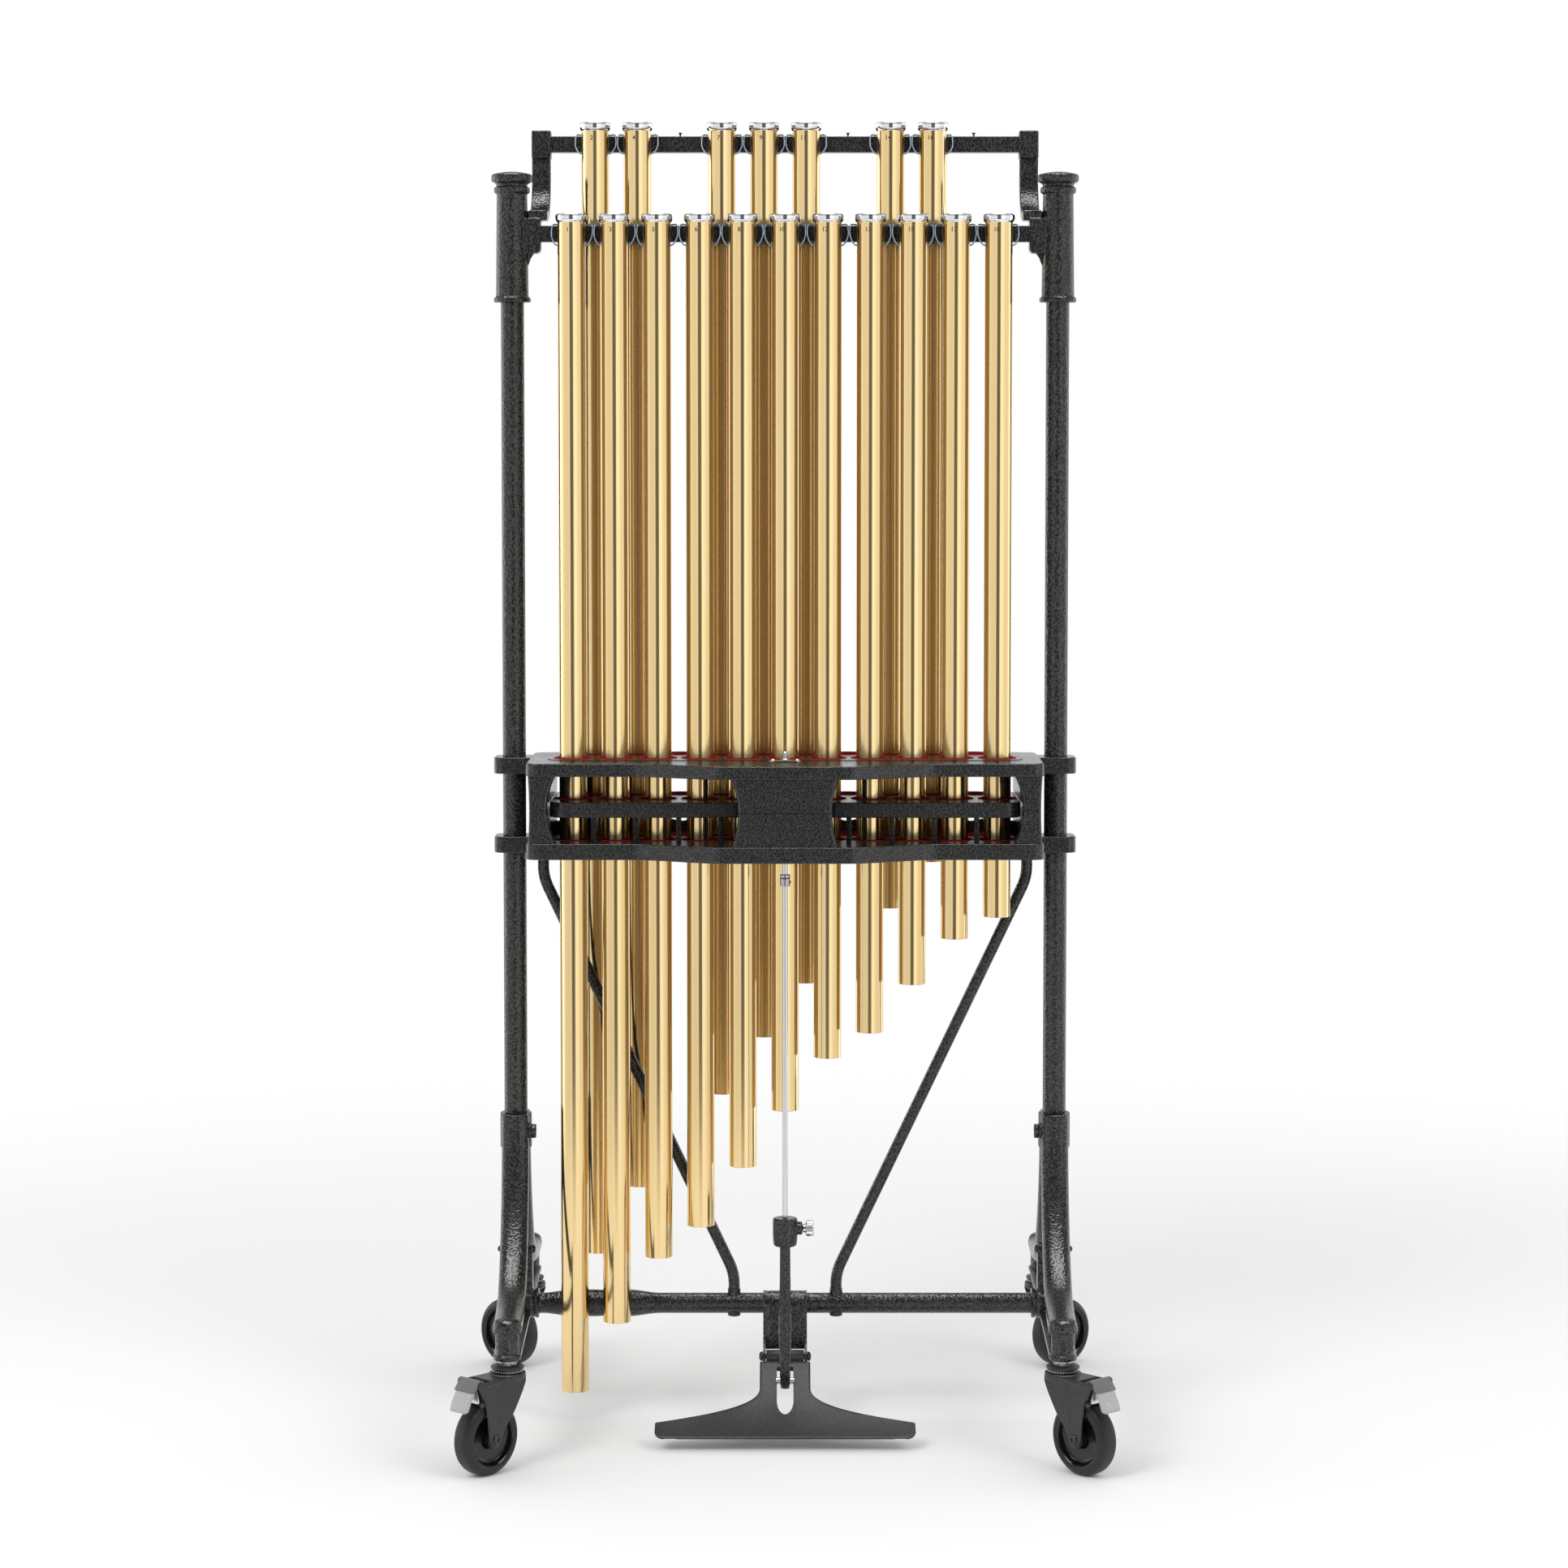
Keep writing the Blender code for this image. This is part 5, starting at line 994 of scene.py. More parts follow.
@dataclass
class Lined(Layout):
    """Pieces with a bore for every tube, each lined with a ring of felt."""

    hole: float = 0.0260
    bore: float = 0.0230

    def holes(self, move: float = 0.0) -> list[Pair]:
        """The middles of the bores, moved along Y."""
        front = [(self.at(place), self.front_y + move) for place in range(self.places)]
        return front + [(self.at(place), self.back_y + move) for place in self.back_rings]

    def felts(self, name: str, low: float, high: float, body: str, move: float = 0.0) -> None:
        """The felt rings of one piece.

        Args:
            name: The name of all its rings together.
            low: The piece's lower face.
            high: Its upper face.
            body: The body that they move with.
            move: How far the bores are moved along Y.
        """
        bore, hole = self.bore, self.hole
        rim = [
            (bore, 0.0002), (bore + 0.0006, 0.0008), (hole - 0.0003, 0.0009), (hole + 0.0006, 0.0004),
            (hole + 0.0007, -0.0003), (hole + 0.0001, -0.0010),
        ]
        profile = [(radius, high + up) for radius, up in rim] + [(radius, low - up) for radius, up in reversed(rim)]
        ring = Bench.lathe(f"{name}_ring", profile, 40)
        rings = [
            Bench.copy(ring, f"{name}_{n}", Matrix.Translation((x, y, 0.0))) for n, (x, y) in enumerate(self.holes(move))
        ]
        bpy.data.objects.remove(ring)
        made = Bench.weld(*rings)
        made.name = name
        self.fit(made, RED_FELT, body, "felt_red", angle=50.0)


@dataclass
class DamperBox(Lined):
    """The two castings of the damper box, clamped on the posts, with their felts."""

    half_width: float = 0.3515
    back: float = 0.071
    front: float = -0.130
    belly: float = -0.178
    belly_inner: float = 0.080
    belly_outer: float = 0.210
    low: float = 0.796
    floor: float = 0.818
    ceiling: float = 0.909
    high: float = 0.927
    seam: float = 0.8635
    cover: float = 0.0008
    tray: float = 0.003
    waist_depth: float = 0.0115
    rod_y: float = -0.096

    def build(self) -> None:
        """Makes both castings, the cover's base plate for the rod and the felts."""
        self.casting("damper_box_top", True)
        self.casting("damper_box_bottom", False)
        self.felts("box_felts_top", self.ceiling, self.high + self.cover, Body.STAND.value)
        self.felts("box_felts_bottom", self.low, self.floor - self.tray, Body.STAND.value)
        self.rod_plate()

    def waist(self, z: float) -> float:
        """How far the windows bulge into the cheeks at a height."""
        reach = (self.ceiling - self.floor) / 2
        return self.waist_depth * max(0.0, 1 - ((z - self.seam) / reach) ** 2)

    def plan(self) -> list[Pair]:
        """The plan of a casting: straight at its back and ends, with a belly in front."""
        w, back, front = self.half_width, self.back, self.front
        corners = [(-w, back), (-w, front), (w, front), (w, back)]
        outline: list[Pair] = []
        for number, at in enumerate(corners):
            outline += corner(at, corners[number - 1], corners[(number + 1) % 4], 0.014, 6)
            if number == 1:
                shares = [(i + 0.3) / 15 for i in range(15)]
                left = [
                    (-(self.belly_outer + (self.belly_inner - self.belly_outer) * share),
                     front + (self.belly - front) * ease(share))
                    for share in shares
                ]
                outline += left + [(-x, y) for x, y in reversed(left)]
        return outline

    def cheek(self, name: str, inner: Sequence[float], outer: Sequence[float], front: float, deep: float,
              soft: float) -> bpy.types.Object:
        """A cheek from the floor to the ceiling, waisted towards its middle height.

        Args:
            name: The piece's name.
            inner: The X of one edge at the floor, and how much of the waist is added.
            outer: The same for the other edge.
            front: The Y of its front face.
            deep: Its depth.
            soft: How much its front edges are rounded.

        Returns:
            The new object.
        """
        steps = 16
        heights = [self.floor - 0.004 + (self.ceiling - self.floor + 0.008) * i / steps for i in range(steps + 1)]
        one = [(inner[0] + inner[1] * self.waist(z), z) for z in heights]
        two = [(outer[0] + outer[1] * self.waist(z), z) for z in heights]
        made = Bench.plate(name, one + two[::-1], -(front + deep), -front, UPRIGHT)
        return Bench.bevel(made, soft, 4, 50.0)

    def clamp(self, side: int, low: float, high: float) -> bpy.types.Object:
        """The end of a casting that holds on to a post."""
        inner, outer, reach = self.half_width - 0.0072, self.post_x + 0.027, 0.027
        points = [(inner, -reach), (outer, -reach), (outer, reach), (inner, reach)]
        outline = [points[0], *corner(points[1], points[0], points[2], 0.012, 8),
                   *corner(points[2], points[1], points[3], 0.012, 8), points[3]]
        made = Bench.plate(f"clamp_{side}", [(side * x, y) for x, y in outline], low, high)
        return Bench.bevel(made, 0.0016, 3, 50.0)

    def casting(self, node: str, top: bool) -> None:
        """Makes one casting.

        Args:
            node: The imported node.
            top: Whether it is the upper one.
        """
        low, high = (self.ceiling, self.high) if top else (self.low, self.floor)
        plate = Bench.plate(f"{node}_casting", self.plan(), low, high)
        Bench.bevel(plate, 0.0018, 3, 50.0)
        standing = []
        for side in (-1, 1):
            end = side * (self.half_width - 0.003)
            inner = side * (self.half_width - 0.040)
            standing.append(self.cheek(f"end_{side}", (inner, side), (end, -0.15 * side), -0.127, 0.026, 0.0035))
            foot, head = self.floor - 0.004, self.ceiling + 0.004
            standing.append(Bench.side_block(f"wall_{side}", side, (self.half_width - 0.0235, -0.114, foot),
                                             (self.half_width - 0.006, 0.067, head)))
            standing.append(Bench.side_block(f"rib_{side}", side, (0.046, -0.167, foot), (0.054, -0.123, head), 0.001))
        standing.append(self.cheek("centre", (-0.0715, 0.7), (0.0715, -0.7), -0.175, 0.016, 0.0045))
        kept = []
        for piece in standing:
            cut = self.seam + 0.00025 if top else self.seam - 0.00025
            Bench.halve(piece, (0.0, 0.0, cut), (0.0, 0.0, -1.0 if top else 1.0))
            kept.append(Bench.bevel(piece, 0.0005, 2, 60.0))
        for side in (-1, 1):
            clamp_low = self.high - 0.0225 if top else self.low - 0.001
            kept.append(self.clamp(side, clamp_low, clamp_low + 0.0225))
            ledge_low = 0.8723 if top else 0.8307
            kept.append(Bench.side_block(f"ledge_{side}", side, (self.half_width - 0.0315, -0.1015, ledge_low),
                                         (self.half_width - 0.009, 0.0672, ledge_low + 0.020), 0.001))
        if top:
            kept.append(self.raised_cover())
        else:
            Bench.combine(plate, [self.tray_cutter()], "DIFFERENCE")
            kept += self.floor_parts()
        Bench.combine(plate, kept, "UNION")
        Bench.drill(plate, self.holes(), self.hole, low - 0.001, high + 0.002)
        Bench.drill(plate, [(0.0, self.rod_y)], 0.0043, low - 0.001, high + 0.002, 24)
        Bench.drill(plate, [(-self.post_x, 0.0), (self.post_x, 0.0)], 0.0163, 0.78, 0.94)
        self.fit(plate, GRAIN_PAINT, Body.STAND.value, "damper_black", [node], angle=40.0, flat=True)

    def raised_cover(self) -> bpy.types.Object:
        """The slightly raised field of the top that holds the felts."""
        w, front, back = 0.3265, -0.0800, 0.0640
        points = [(-w, back), (-w, front), (w, front), (w, back)]
        radii = (0.006, 0.035, 0.035, 0.006)
        made = Bench.plate("cover", rounded(points, radii, 8), self.high - 0.002, self.high + self.cover)
        return Bench.bevel(made, 0.0006, 2, 50.0)

    def tray_cutter(self) -> bpy.types.Object:
        """What the floor is sunk by, a little inside its edge."""
        outline = self.plan()
        middle = Vector((0.0, -0.0295))
        shrunk = []
        for at in outline:
            spot = Vector(at)
            share_x = 1 - 0.010 / self.half_width
            share_y = 1 - 0.010 / (0.1005 if spot.y > middle.y else max(0.05, abs(spot.y - middle.y)))
            shrunk.append((spot.x * share_x, middle.y + (spot.y - middle.y) * share_y))
        return Bench.plate("tray", shrunk, self.floor - self.tray, self.floor + 0.01)

    def floor_parts(self) -> list[bpy.types.Object]:
        """The low back wall, the guide ribs between the front bores, and the bush under the spring."""
        steps = 84
        reach = 0.332
        top: list[Pair] = []
        for i in range(steps + 1):
            x = -reach + 2 * reach * i / steps
            dip = math.cos(FULL_TURN * (x / self.pitch - 0.5)) * 0.5 + 0.5
            top.append((x, self.floor + 0.0165 - 0.0040 * dip**3))
        outline = [(-reach, self.floor - 0.004), (reach, self.floor - 0.004), *reversed(top)]
        wall = Bench.plate("back_wall", outline, -0.0695, -0.0638, UPRIGHT)
        parts = [Bench.bevel(wall, 0.0012, 2, 50.0)]
        for n in range(self.places - 1):
            x = self.at(n + 0.5)
            parts.append(Bench.block(f"guide_{n}", (x - 0.0035, -0.070, self.floor - 0.005),
                                     (x + 0.0035, -0.060, 0.8495), 0.0012))
        parts.append(Bench.rod("bush", (0.0, self.rod_y, self.floor - 0.006), (0.0, self.rod_y, self.floor),
                               0.0095, 32, 0.0006))
        return parts

    def rod_plate(self) -> None:
        """The small plated guide that the rod comes out of, with its two screws."""
        points = [(-0.022, -0.0075), (0.022, -0.0075), (0.022, 0.0075), (-0.022, 0.0075)]
        outline = [(x, y + self.rod_y) for x, y in rounded(points, 0.006)]
        base = Bench.plate("guide_base", outline, self.high, self.high + 0.0015)
        Bench.bevel(base, 0.0004, 2, 50.0)
        parts = [Bench.rod("guide_bush", (0.0, self.rod_y, self.high), (0.0, self.rod_y, self.high + 0.0042),
                           0.0068, 32, 0.0006)]
        dome = [(0.0, 0.0031), (0.0014, 0.0029), (0.0026, 0.0022), (0.0032, 0.0012), (0.0033, 0.0), (0.0, 0.0)]
        for side in (-1, 1):
            parts.append(Bench.lathe(f"guide_screw_{side}", dome, 24,
                                     Matrix.Translation((side * 0.0165, self.rod_y, self.high + 0.0010))))
        Bench.combine(base, parts, "UNION")
        Bench.drill(base, [(0.0, self.rod_y)], 0.0041, self.high - 0.001, self.high + 0.01, 32)
        self.fit(base, CHROME, Body.STAND.value, "chrome", angle=40.0)


@dataclass
class Grid(Lined):
    """The sliding plate between the castings, which presses its felts on the tubes."""

    low: float = 0.851
    high: float = 0.872
    half_width: float = 0.321
    front: float = -0.1015
    back: float = 0.0672
    move: float = -0.003515
    notch: float = 0.058
    notch_y: float = -0.072

    def build(self) -> None:
        """Makes the plate and its felts."""
        w, front, back, notch = self.half_width, self.front, self.back, self.notch
        points = [(-w, back), (-w, front), (-notch - 0.006, front), (-notch, self.notch_y), (notch, self.notch_y),
                  (notch + 0.006, front), (w, front), (w, back)]
        radii = (0.006, 0.020, 0.004, 0.008, 0.008, 0.004, 0.020, 0.006)
        outline = [(x, y + self.move) for x, y in rounded(points, radii)]
        plate = Bench.plate("damper_grid_casting", outline, self.low, self.high)
        Bench.bevel(plate, 0.0015, 3, 50.0)
        Bench.drill(plate, self.holes(self.move), self.hole, self.low - 0.001, self.high + 0.001)
        self.fit(plate, GRAIN_PAINT, Body.GRID.value, "damper_black", ["damper_grid"], angle=40.0, flat=True)
        self.felts("grid_felts", self.low, self.high, Body.GRID.value, self.move)


@dataclass
class PullRod(Assembly):
    """The rod that the pedal pulls down, with its return spring and its stop collar."""

    y: float = -0.096
    radius: float = 0.0035
    top: float = 0.9416
    foot: float = 0.283
    seat_low: float = 0.878
    seat_high: float = 0.882
    seat_radius: float = 0.0085
    collar_low: float = 0.757
    collar_high: float = 0.773
    collar_radius: float = 0.0068
    coil_radius: float = 0.00645
    wire: float = 0.0008
    turns: int = 7
    coil_low: float = 0.8191
    coil_high: float = 0.8769

    def build(self) -> None:
        """Makes the rod, the spring and the collar."""
        r, seat, low, high = self.radius, self.seat_radius, self.seat_low, self.seat_high
        profile = [
            (0.0, self.top), (r * 0.45, self.top - 0.0002), (r * 0.8, self.top - 0.0008), (r, self.top - 0.0018),
            (r, high + 0.0003), (r + 0.0003, high), (seat - 0.0005, high), (seat, high - 0.0005),
            (seat, low + 0.0005), (seat - 0.0005, low), (r, low), (r, self.foot + 0.0004), (r - 0.0004, self.foot),
            (0.0, self.foot),
        ]
        place = Matrix.Translation((0.0, self.y, 0.0))
        self.fit(Bench.lathe("pull_rod_steel", profile, 32, place), ZINC, Body.ROD.value, "rod_steel", ["pull_rod"])
        self.spring()
        self.collar(place)

    def spring(self) -> None:
        """The wound return spring, with a flat turn at each end."""
        steps = 24
        count = self.turns * steps
        line = []
        for i in range(count + 1):
            angle = FULL_TURN * i / steps
            share = i / count
            height = self.coil_low + (self.coil_high - self.coil_low) * share
            line.append((self.coil_radius * math.cos(angle), self.y + self.coil_radius * math.sin(angle), height))
        spring = Bench.pipe("return_spring_wire", line, self.wire, False, 2)
        self.fit(spring, ZINC, Body.STAND.value, "rod_steel", ["return_spring"], angle=60.0)
        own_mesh(spring)

    def collar(self, place: Matrix) -> None:
        """The plated stop collar, with a dark ring near its top and a set screw on its right."""
        r, low, high, bore = self.collar_radius, self.collar_low, self.collar_high, 0.0038
        band = high - 0.0050
        profile = [
            (bore, high), (r - 0.0006, high), (r, high - 0.0006), (r, band + 0.0009), (r - 0.0005, band + 0.0006),
            (r - 0.0005, band - 0.0006), (r, band - 0.0009), (r, low + 0.0006), (r - 0.0006, low), (bore, low),
        ]
        ring = Bench.lathe("stop_collar_ring", profile, 40, place)
        self.fit(ring, NICKEL, Body.ROD.value, "chrome", ["stop_collar"])
        dark = [(r - 0.0004, band + 0.0005), (r - 0.0002, band + 0.0005), (r - 0.0002, band - 0.0005),
                (r - 0.0004, band - 0.0005)]
        self.fit(Bench.lathe("stop_collar_band", dark, 40, place), GLOSS_BLACK, Body.ROD.value, "chrome")
        middle = (low + band) / 2
        screw = Bench.rod("stop_collar_screw", (r - 0.001, self.y, middle), (r + 0.0010, self.y, middle),
                          0.0017, 20, 0.0002)
        key = Bench.rod("stop_collar_key", (r + 0.0002, self.y, middle), (r + 0.002, self.y, middle), 0.0009, 6)
        Bench.combine(screw, [key], "DIFFERENCE")
        self.fit(screw, GLOSS_BLACK, Body.ROD.value, "chrome")


@dataclass
class Link(Assembly):
    """The cast link from the rod to the pedal's pin, and its thumb screw."""

    y: float = -0.096
    coupler_top: float = 0.300
    coupler_low: float = 0.261
    coupler_radius: float = 0.017
    screw_z: float = 0.2855
    pin_y: float = -0.085
    pin_z: float = 0.0705
    sections: tuple[tuple[float, float, float, float], ...] = (
        (0.264, -0.0960, 0.0072, 0.0072), (0.225, -0.0960, 0.0074, 0.0074), (0.190, -0.0960, 0.0079, 0.0075),
        (0.155, -0.0960, 0.0086, 0.0076), (0.130, -0.0955, 0.0085, 0.0079), (0.1105, -0.0935, 0.0080, 0.0092),
        (0.0885, -0.0885, 0.0073, 0.0125), (0.0760, -0.0855, 0.0072, 0.0122), (0.0665, -0.0836, 0.0070, 0.0102),
        (0.0600, -0.0836, 0.0060, 0.0055),
    )

    def build(self) -> None:
        """Makes the casting and the screw."""
        line = blend_through([(z, y, across) for z, y, across, _ in self.sections], 4)
        deep = blend_through([(z, d, 0.0) for z, _, _, d in self.sections], 4)
        rings = [
            rounded_ring(Vector((0.0, y, z)), Vector((across, 0.0, 0.0)), Vector((0.0, d, 0.0)), 2.8, 32)
            for (z, y, across), (_, d, _) in zip(line, deep)
        ]
        arm = Bench.swept("link_casting", rings)
        r, top, low = self.coupler_radius, self.coupler_top, self.coupler_low
        profile = [
            (0.0, top), (r - 0.0026, top), (r - 0.0011, top - 0.0003), (r - 0.0003, top - 0.0011), (r, top - 0.0026),
            (r, top - 0.022), (r - 0.0003, top - 0.030), (r - 0.0009, low + 0.0035), (r - 0.0018, low + 0.001),
            (r - 0.0036, low), (0.0, low),
        ]
        coupler = Bench.lathe("coupler", profile, 48, Matrix.Translation((0.0, self.y, 0.0)))
        boss = Bench.rod("boss", (0.008, self.y, self.screw_z), (r + 0.0068, self.y, self.screw_z), 0.009, 40, 0.0012)
        Bench.combine(arm, [coupler, boss], "UNION")
        Bench.cast(arm, 0.0008, 4)
        rod = Bench.rod("rod_bore", (0.0, self.y, 0.2826), (0.0, self.y, top + 0.01), 0.0038, 24)
        shank = Bench.rod("shank_bore", (0.0025, self.y, self.screw_z), (0.04, self.y, self.screw_z), 0.0029, 24)
        slot: list[Pair] = []
        for centre_y, start in ((self.pin_y, 90.0), (self.pin_y + 0.00234, -90.0)):
            for i in range(11):
                turn = math.radians(start + 18.0 * i)
                slot.append((centre_y + 0.005 * math.cos(turn), self.pin_z + 0.005 * math.sin(turn)))
        eye = Bench.plate("eye_slot", slot, -0.03, 0.03, SIDEWAYS)
        Bench.combine(arm, [rod, shank, eye], "DIFFERENCE")
        self.fit(arm, PAINT, Body.ROD.value, "hammered_black", ["link_arm"], angle=50.0)
        self.thumb_screw()

    def thumb_screw(self) -> None:
        """The plated screw with a fluted head."""
        flutes, steps, radius, depth = 10, 80, 0.0104, 0.0006
        outline = []
        for i in range(steps):
            turn = FULL_TURN * i / steps
            reach = radius + depth * math.cos(flutes * turn)
            outline.append((self.y + reach * math.cos(turn), self.screw_z + reach * math.sin(turn)))
        knob = Bench.plate("wing_screw_knob", outline, 0.0280, 0.0395, SIDEWAYS)
        Bench.bevel(knob, 0.0022, 4, 50.0)
        profile = [(0.0, 0.0038), (0.0025, 0.0038), (0.0025, 0.0235), (0.0062, 0.0250), (0.0062, 0.0285), (0.0, 0.0285)]
        shank = Bench.lathe("shank", profile, 32, Matrix.Translation((0.0, self.y, self.screw_z)) @ ALONG_X)
        dimple = Bench.rod("dimple", (0.0385, self.y, self.screw_z), (0.045, self.y, self.screw_z), 0.0045, 32)
        Bench.combine(knob, [shank], "UNION")
        Bench.combine(knob, [dimple], "DIFFERENCE")
        self.fit(knob, CHROME, Body.ROD.value, "chrome", ["wing_screw"], angle=45.0)


@dataclass
class PedalSet(Assembly):
    """The pedal with its bracket, its two pins and the rubber under its front edge."""

    hinge_y: float = -0.045
    hinge_z: float = 0.095
    bar_z: float = 0.160
    bracket_half: float = 0.0305
    bracket_side: float = 0.0036
    web_face: float = -0.0184
    web_low: float = 0.0989
    bracket_top: float = 0.1771
    front_y: float = -0.195
    front_z: float = 0.0205
    thickness: float = 0.006
    tip_thickness: float = 0.0026
    taper_y: float = -0.150
    neck_half: float = 0.035
    plate_half: float = 0.177
    corner_y: float = -0.178
    pin_y: float = -0.085
    pin_z: float = 0.0705

    def build(self) -> None:
        """Makes the bracket, the pins, the pedal and its rubber."""
        self.bracket()
        self.hinge_pin()
        self.pedal()
        pin = Bench.rod("pedal_pin_steel", (-0.0125, self.pin_y, self.pin_z), (0.0125, self.pin_y, self.pin_z),
                        0.0045, 32, 0.0003)
        self.fit(pin, ZINC, Body.PEDAL.value, "hammered_black", ["pedal_pin"])
        self.rubber()

    def surface(self, y: float) -> float:
        """The height of the pedal's upper face, which flattens out towards its front edge."""
        start_y, start_z = self.hinge_y - 0.006, self.hinge_z - 0.003
        share = (y - start_y) / (self.front_y - start_y)
        return start_z - (start_z - self.front_z) * (1.42 * share - 0.42 * share * share)

    def depth(self, y: float) -> float:
        """The plate's thickness at a place."""
        share = min(1.0, max(0.0, (self.taper_y - y) / (self.taper_y - self.front_y)))
        return self.thickness + (self.tip_thickness - self.thickness) * share

    def half_width(self, y: float) -> float:
        """Half the plate's width at a place."""
        if y < self.corner_y:
            share = (self.corner_y - y) / (self.corner_y - self.front_y)
            return self.plate_half - 0.014 * (1 - math.sqrt(max(0.0, 1 - share * share)))
        if y > -0.092:
            return self.neck_half
        return self.neck_half + (self.plate_half - self.neck_half) * min(1.0, (-0.092 - y) / 0.068) ** 2.3

    def section(self, y: float, share: float = 1.0) -> list[Point]:
        """One section of the plate, with rounded sides.

        Args:
            y: Its place.
            share: How much of its thickness it has.

        Returns:
            Its points.
        """
        wide, deep, top = self.half_width(y), self.depth(y) * share, self.surface(y)
        middle = top - self.depth(y) / 2
        soft = deep / 2
        drop = 0.0006 * ease((-0.150 - y) / 0.015)
        across = 14
        upper = []
        for i in range(across + 1):
            u = -1 + 2 * i / across
            upper.append(((wide - soft) * u, y, middle + soft - drop * u * u))
        right = [(wide - soft + soft * math.cos(a), y, middle - drop + soft * math.sin(a))
                 for a in (math.radians(d) for d in (60, 30, 0, -30, -60))]
        lower = [((wide - soft) * (1 - 2 * i / across), y, middle - soft) for i in range(across + 1)]
        left = [(-x, y, z) for x, _, z in reversed(right)]
        return upper + right + lower + left

    def pedal(self) -> None:
        """The slotted neck and the wide curved foot plate, on its barrel."""
        stations = [-0.0480 - 0.0030 * i for i in range(15)] + [-0.0920 - 0.0020 * i for i in range(1, 52)]
        stations = [y for y in stations if y > self.front_y + 0.0012]
        rings = [self.section(y) for y in stations]
        rings += [self.section(self.front_y + 0.0009), self.section(self.front_y + 0.0003, 0.7),
                  self.section(self.front_y, 0.3)]
        plate = Bench.swept("pedal_plate", rings)
        barrel_half = self.bracket_half - self.bracket_side - 0.0006
        barrel = Bench.rod("barrel", (-barrel_half, self.hinge_y, self.hinge_z),
                           (barrel_half, self.hinge_y, self.hinge_z), 0.009, 48, 0.0006)
        Bench.combine(plate, [barrel], "UNION")
        half, tip, back = 0.0114, -0.144, -0.062
        curve = [(half, tip + 0.026), (half * 0.97, tip + 0.020), (half * 0.85, tip + 0.0125),
                 (half * 0.62, tip + 0.0060), (half * 0.32, tip + 0.0015), (0.0, tip)]
        slot = [(-half, back), *[(-x, y) for x, y in curve], *reversed(curve[:-1]), (half, back)]
        cutters = [
            Bench.plate("slot", slot, 0.01, self.hinge_z),
            Bench.rod("hinge_bore", (-0.05, self.hinge_y, self.hinge_z), (0.05, self.hinge_y, self.hinge_z), 0.0043, 32),
            Bench.rod("pin_bore", (-0.0128, self.pin_y, self.pin_z), (0.0128, self.pin_y, self.pin_z), 0.0048, 32),
        ]
        for side in (-1, 1):
            cutters.append(Bench.rod(f"ear_clear_{side}", (side * 0.0262, self.hinge_y, self.hinge_z),
                                     (side * 0.0400, self.hinge_y, self.hinge_z), 0.01025, 40))
        Bench.combine(plate, cutters, "DIFFERENCE")
        self.fit(plate, SATIN_PAINT, Body.PEDAL.value, "hammered_black", ["pedal"], angle=50.0)

    def bracket(self) -> None:
        """The folded bracket: two ears and a web that wraps over the bar."""
        r = 0.0141
        face, low, top, z = self.web_face, self.web_low, self.bracket_top, self.bar_z
        eye = [(self.hinge_y + 0.0092 * math.cos(math.radians(-70 - 15 * i)),
                self.hinge_z + 0.0092 * math.sin(math.radians(-70 - 15 * i))) for i in range(12)]
        points = [(face, top), (r * 0.4, top), (r + 0.003, z + 0.004), (r + 0.003, z - r), (face + 0.016, low)]
        radii = (0.009, 0.005, 0.006, 0.006, 0.010)
        ring = points + [eye[0], eye[-1], (face, low + 0.020)]
        outline: list[Pair] = []
        for number, radius in enumerate(radii):
            outline += corner(ring[number], ring[number - 1], ring[number + 1], radius, 6)
        outline += eye + corner(ring[-1], ring[-2], ring[0], 0.008, 5)
        half = self.bracket_half
        ears = [
            Bench.bevel(Bench.plate(f"ear_{word}", outline, start, start + self.bracket_side, SIDEWAYS), 0.0005, 2, 50.0)
            for word, start in (("left", -half), ("right", half - self.bracket_side))
        ]
        tall = top - z
        wrap = [(-(-face) * math.cos(math.radians(a)), z + tall * math.sin(math.radians(a))) for a in range(0, 126, 9)]
        inner = [(-0.0145 * math.cos(math.radians(a)), z + 0.0145 * math.sin(math.radians(a))) for a in range(117, -1, -9)]
        web = [(face, low), (face, z - 0.0015), *wrap, *inner, (face + 0.004, z - 0.002), (face + 0.004, low)]
        sheet = Bench.bevel(Bench.plate("web", web, -half + 0.0008, half - 0.0008, SIDEWAYS), 0.0003, 2, 60.0)
        Bench.combine(ears[0], [ears[1], sheet], "UNION")
        cutters = [
            Bench.rod("bar_clear", (-0.05, 0.0, z), (0.05, 0.0, z), r + 0.0003, 64),
            Bench.rod("ear_bore", (-0.05, self.hinge_y, self.hinge_z), (0.05, self.hinge_y, self.hinge_z), 0.0043, 32),
        ]
        Bench.combine(ears[0], cutters, "DIFFERENCE")
        made = ears[0]
        made.name = "pedal_bracket_folded"
        self.fit(made, PAINT, Body.STAND.value, "hammered_black", ["pedal_bracket"], angle=35.0, flat=True)

    def hinge_pin(self) -> None:
        """The pin that the pedal turns on, with a domed head at each end."""
        shank, head, reach, end = 0.004, 0.00675, self.bracket_half + 0.0003, self.bracket_half + 0.0058
        half = [(0.0, end), (head * 0.5, end - 0.0004), (head * 0.8, end - 0.0014), (head - 0.0003, end - 0.0028),
                (head, reach + 0.0008), (head - 0.0004, reach), (shank, reach)]
        profile = half + [(radius, -along) for radius, along in reversed(half)]
        place = Matrix.Translation((0.0, self.hinge_y, self.hinge_z)) @ ALONG_X
        pin = Bench.lathe("pedal_hinge_pin_steel", profile, 40, place)
        self.fit(pin, PAINT, Body.STAND.value, "hammered_black", ["pedal_hinge_pin"])

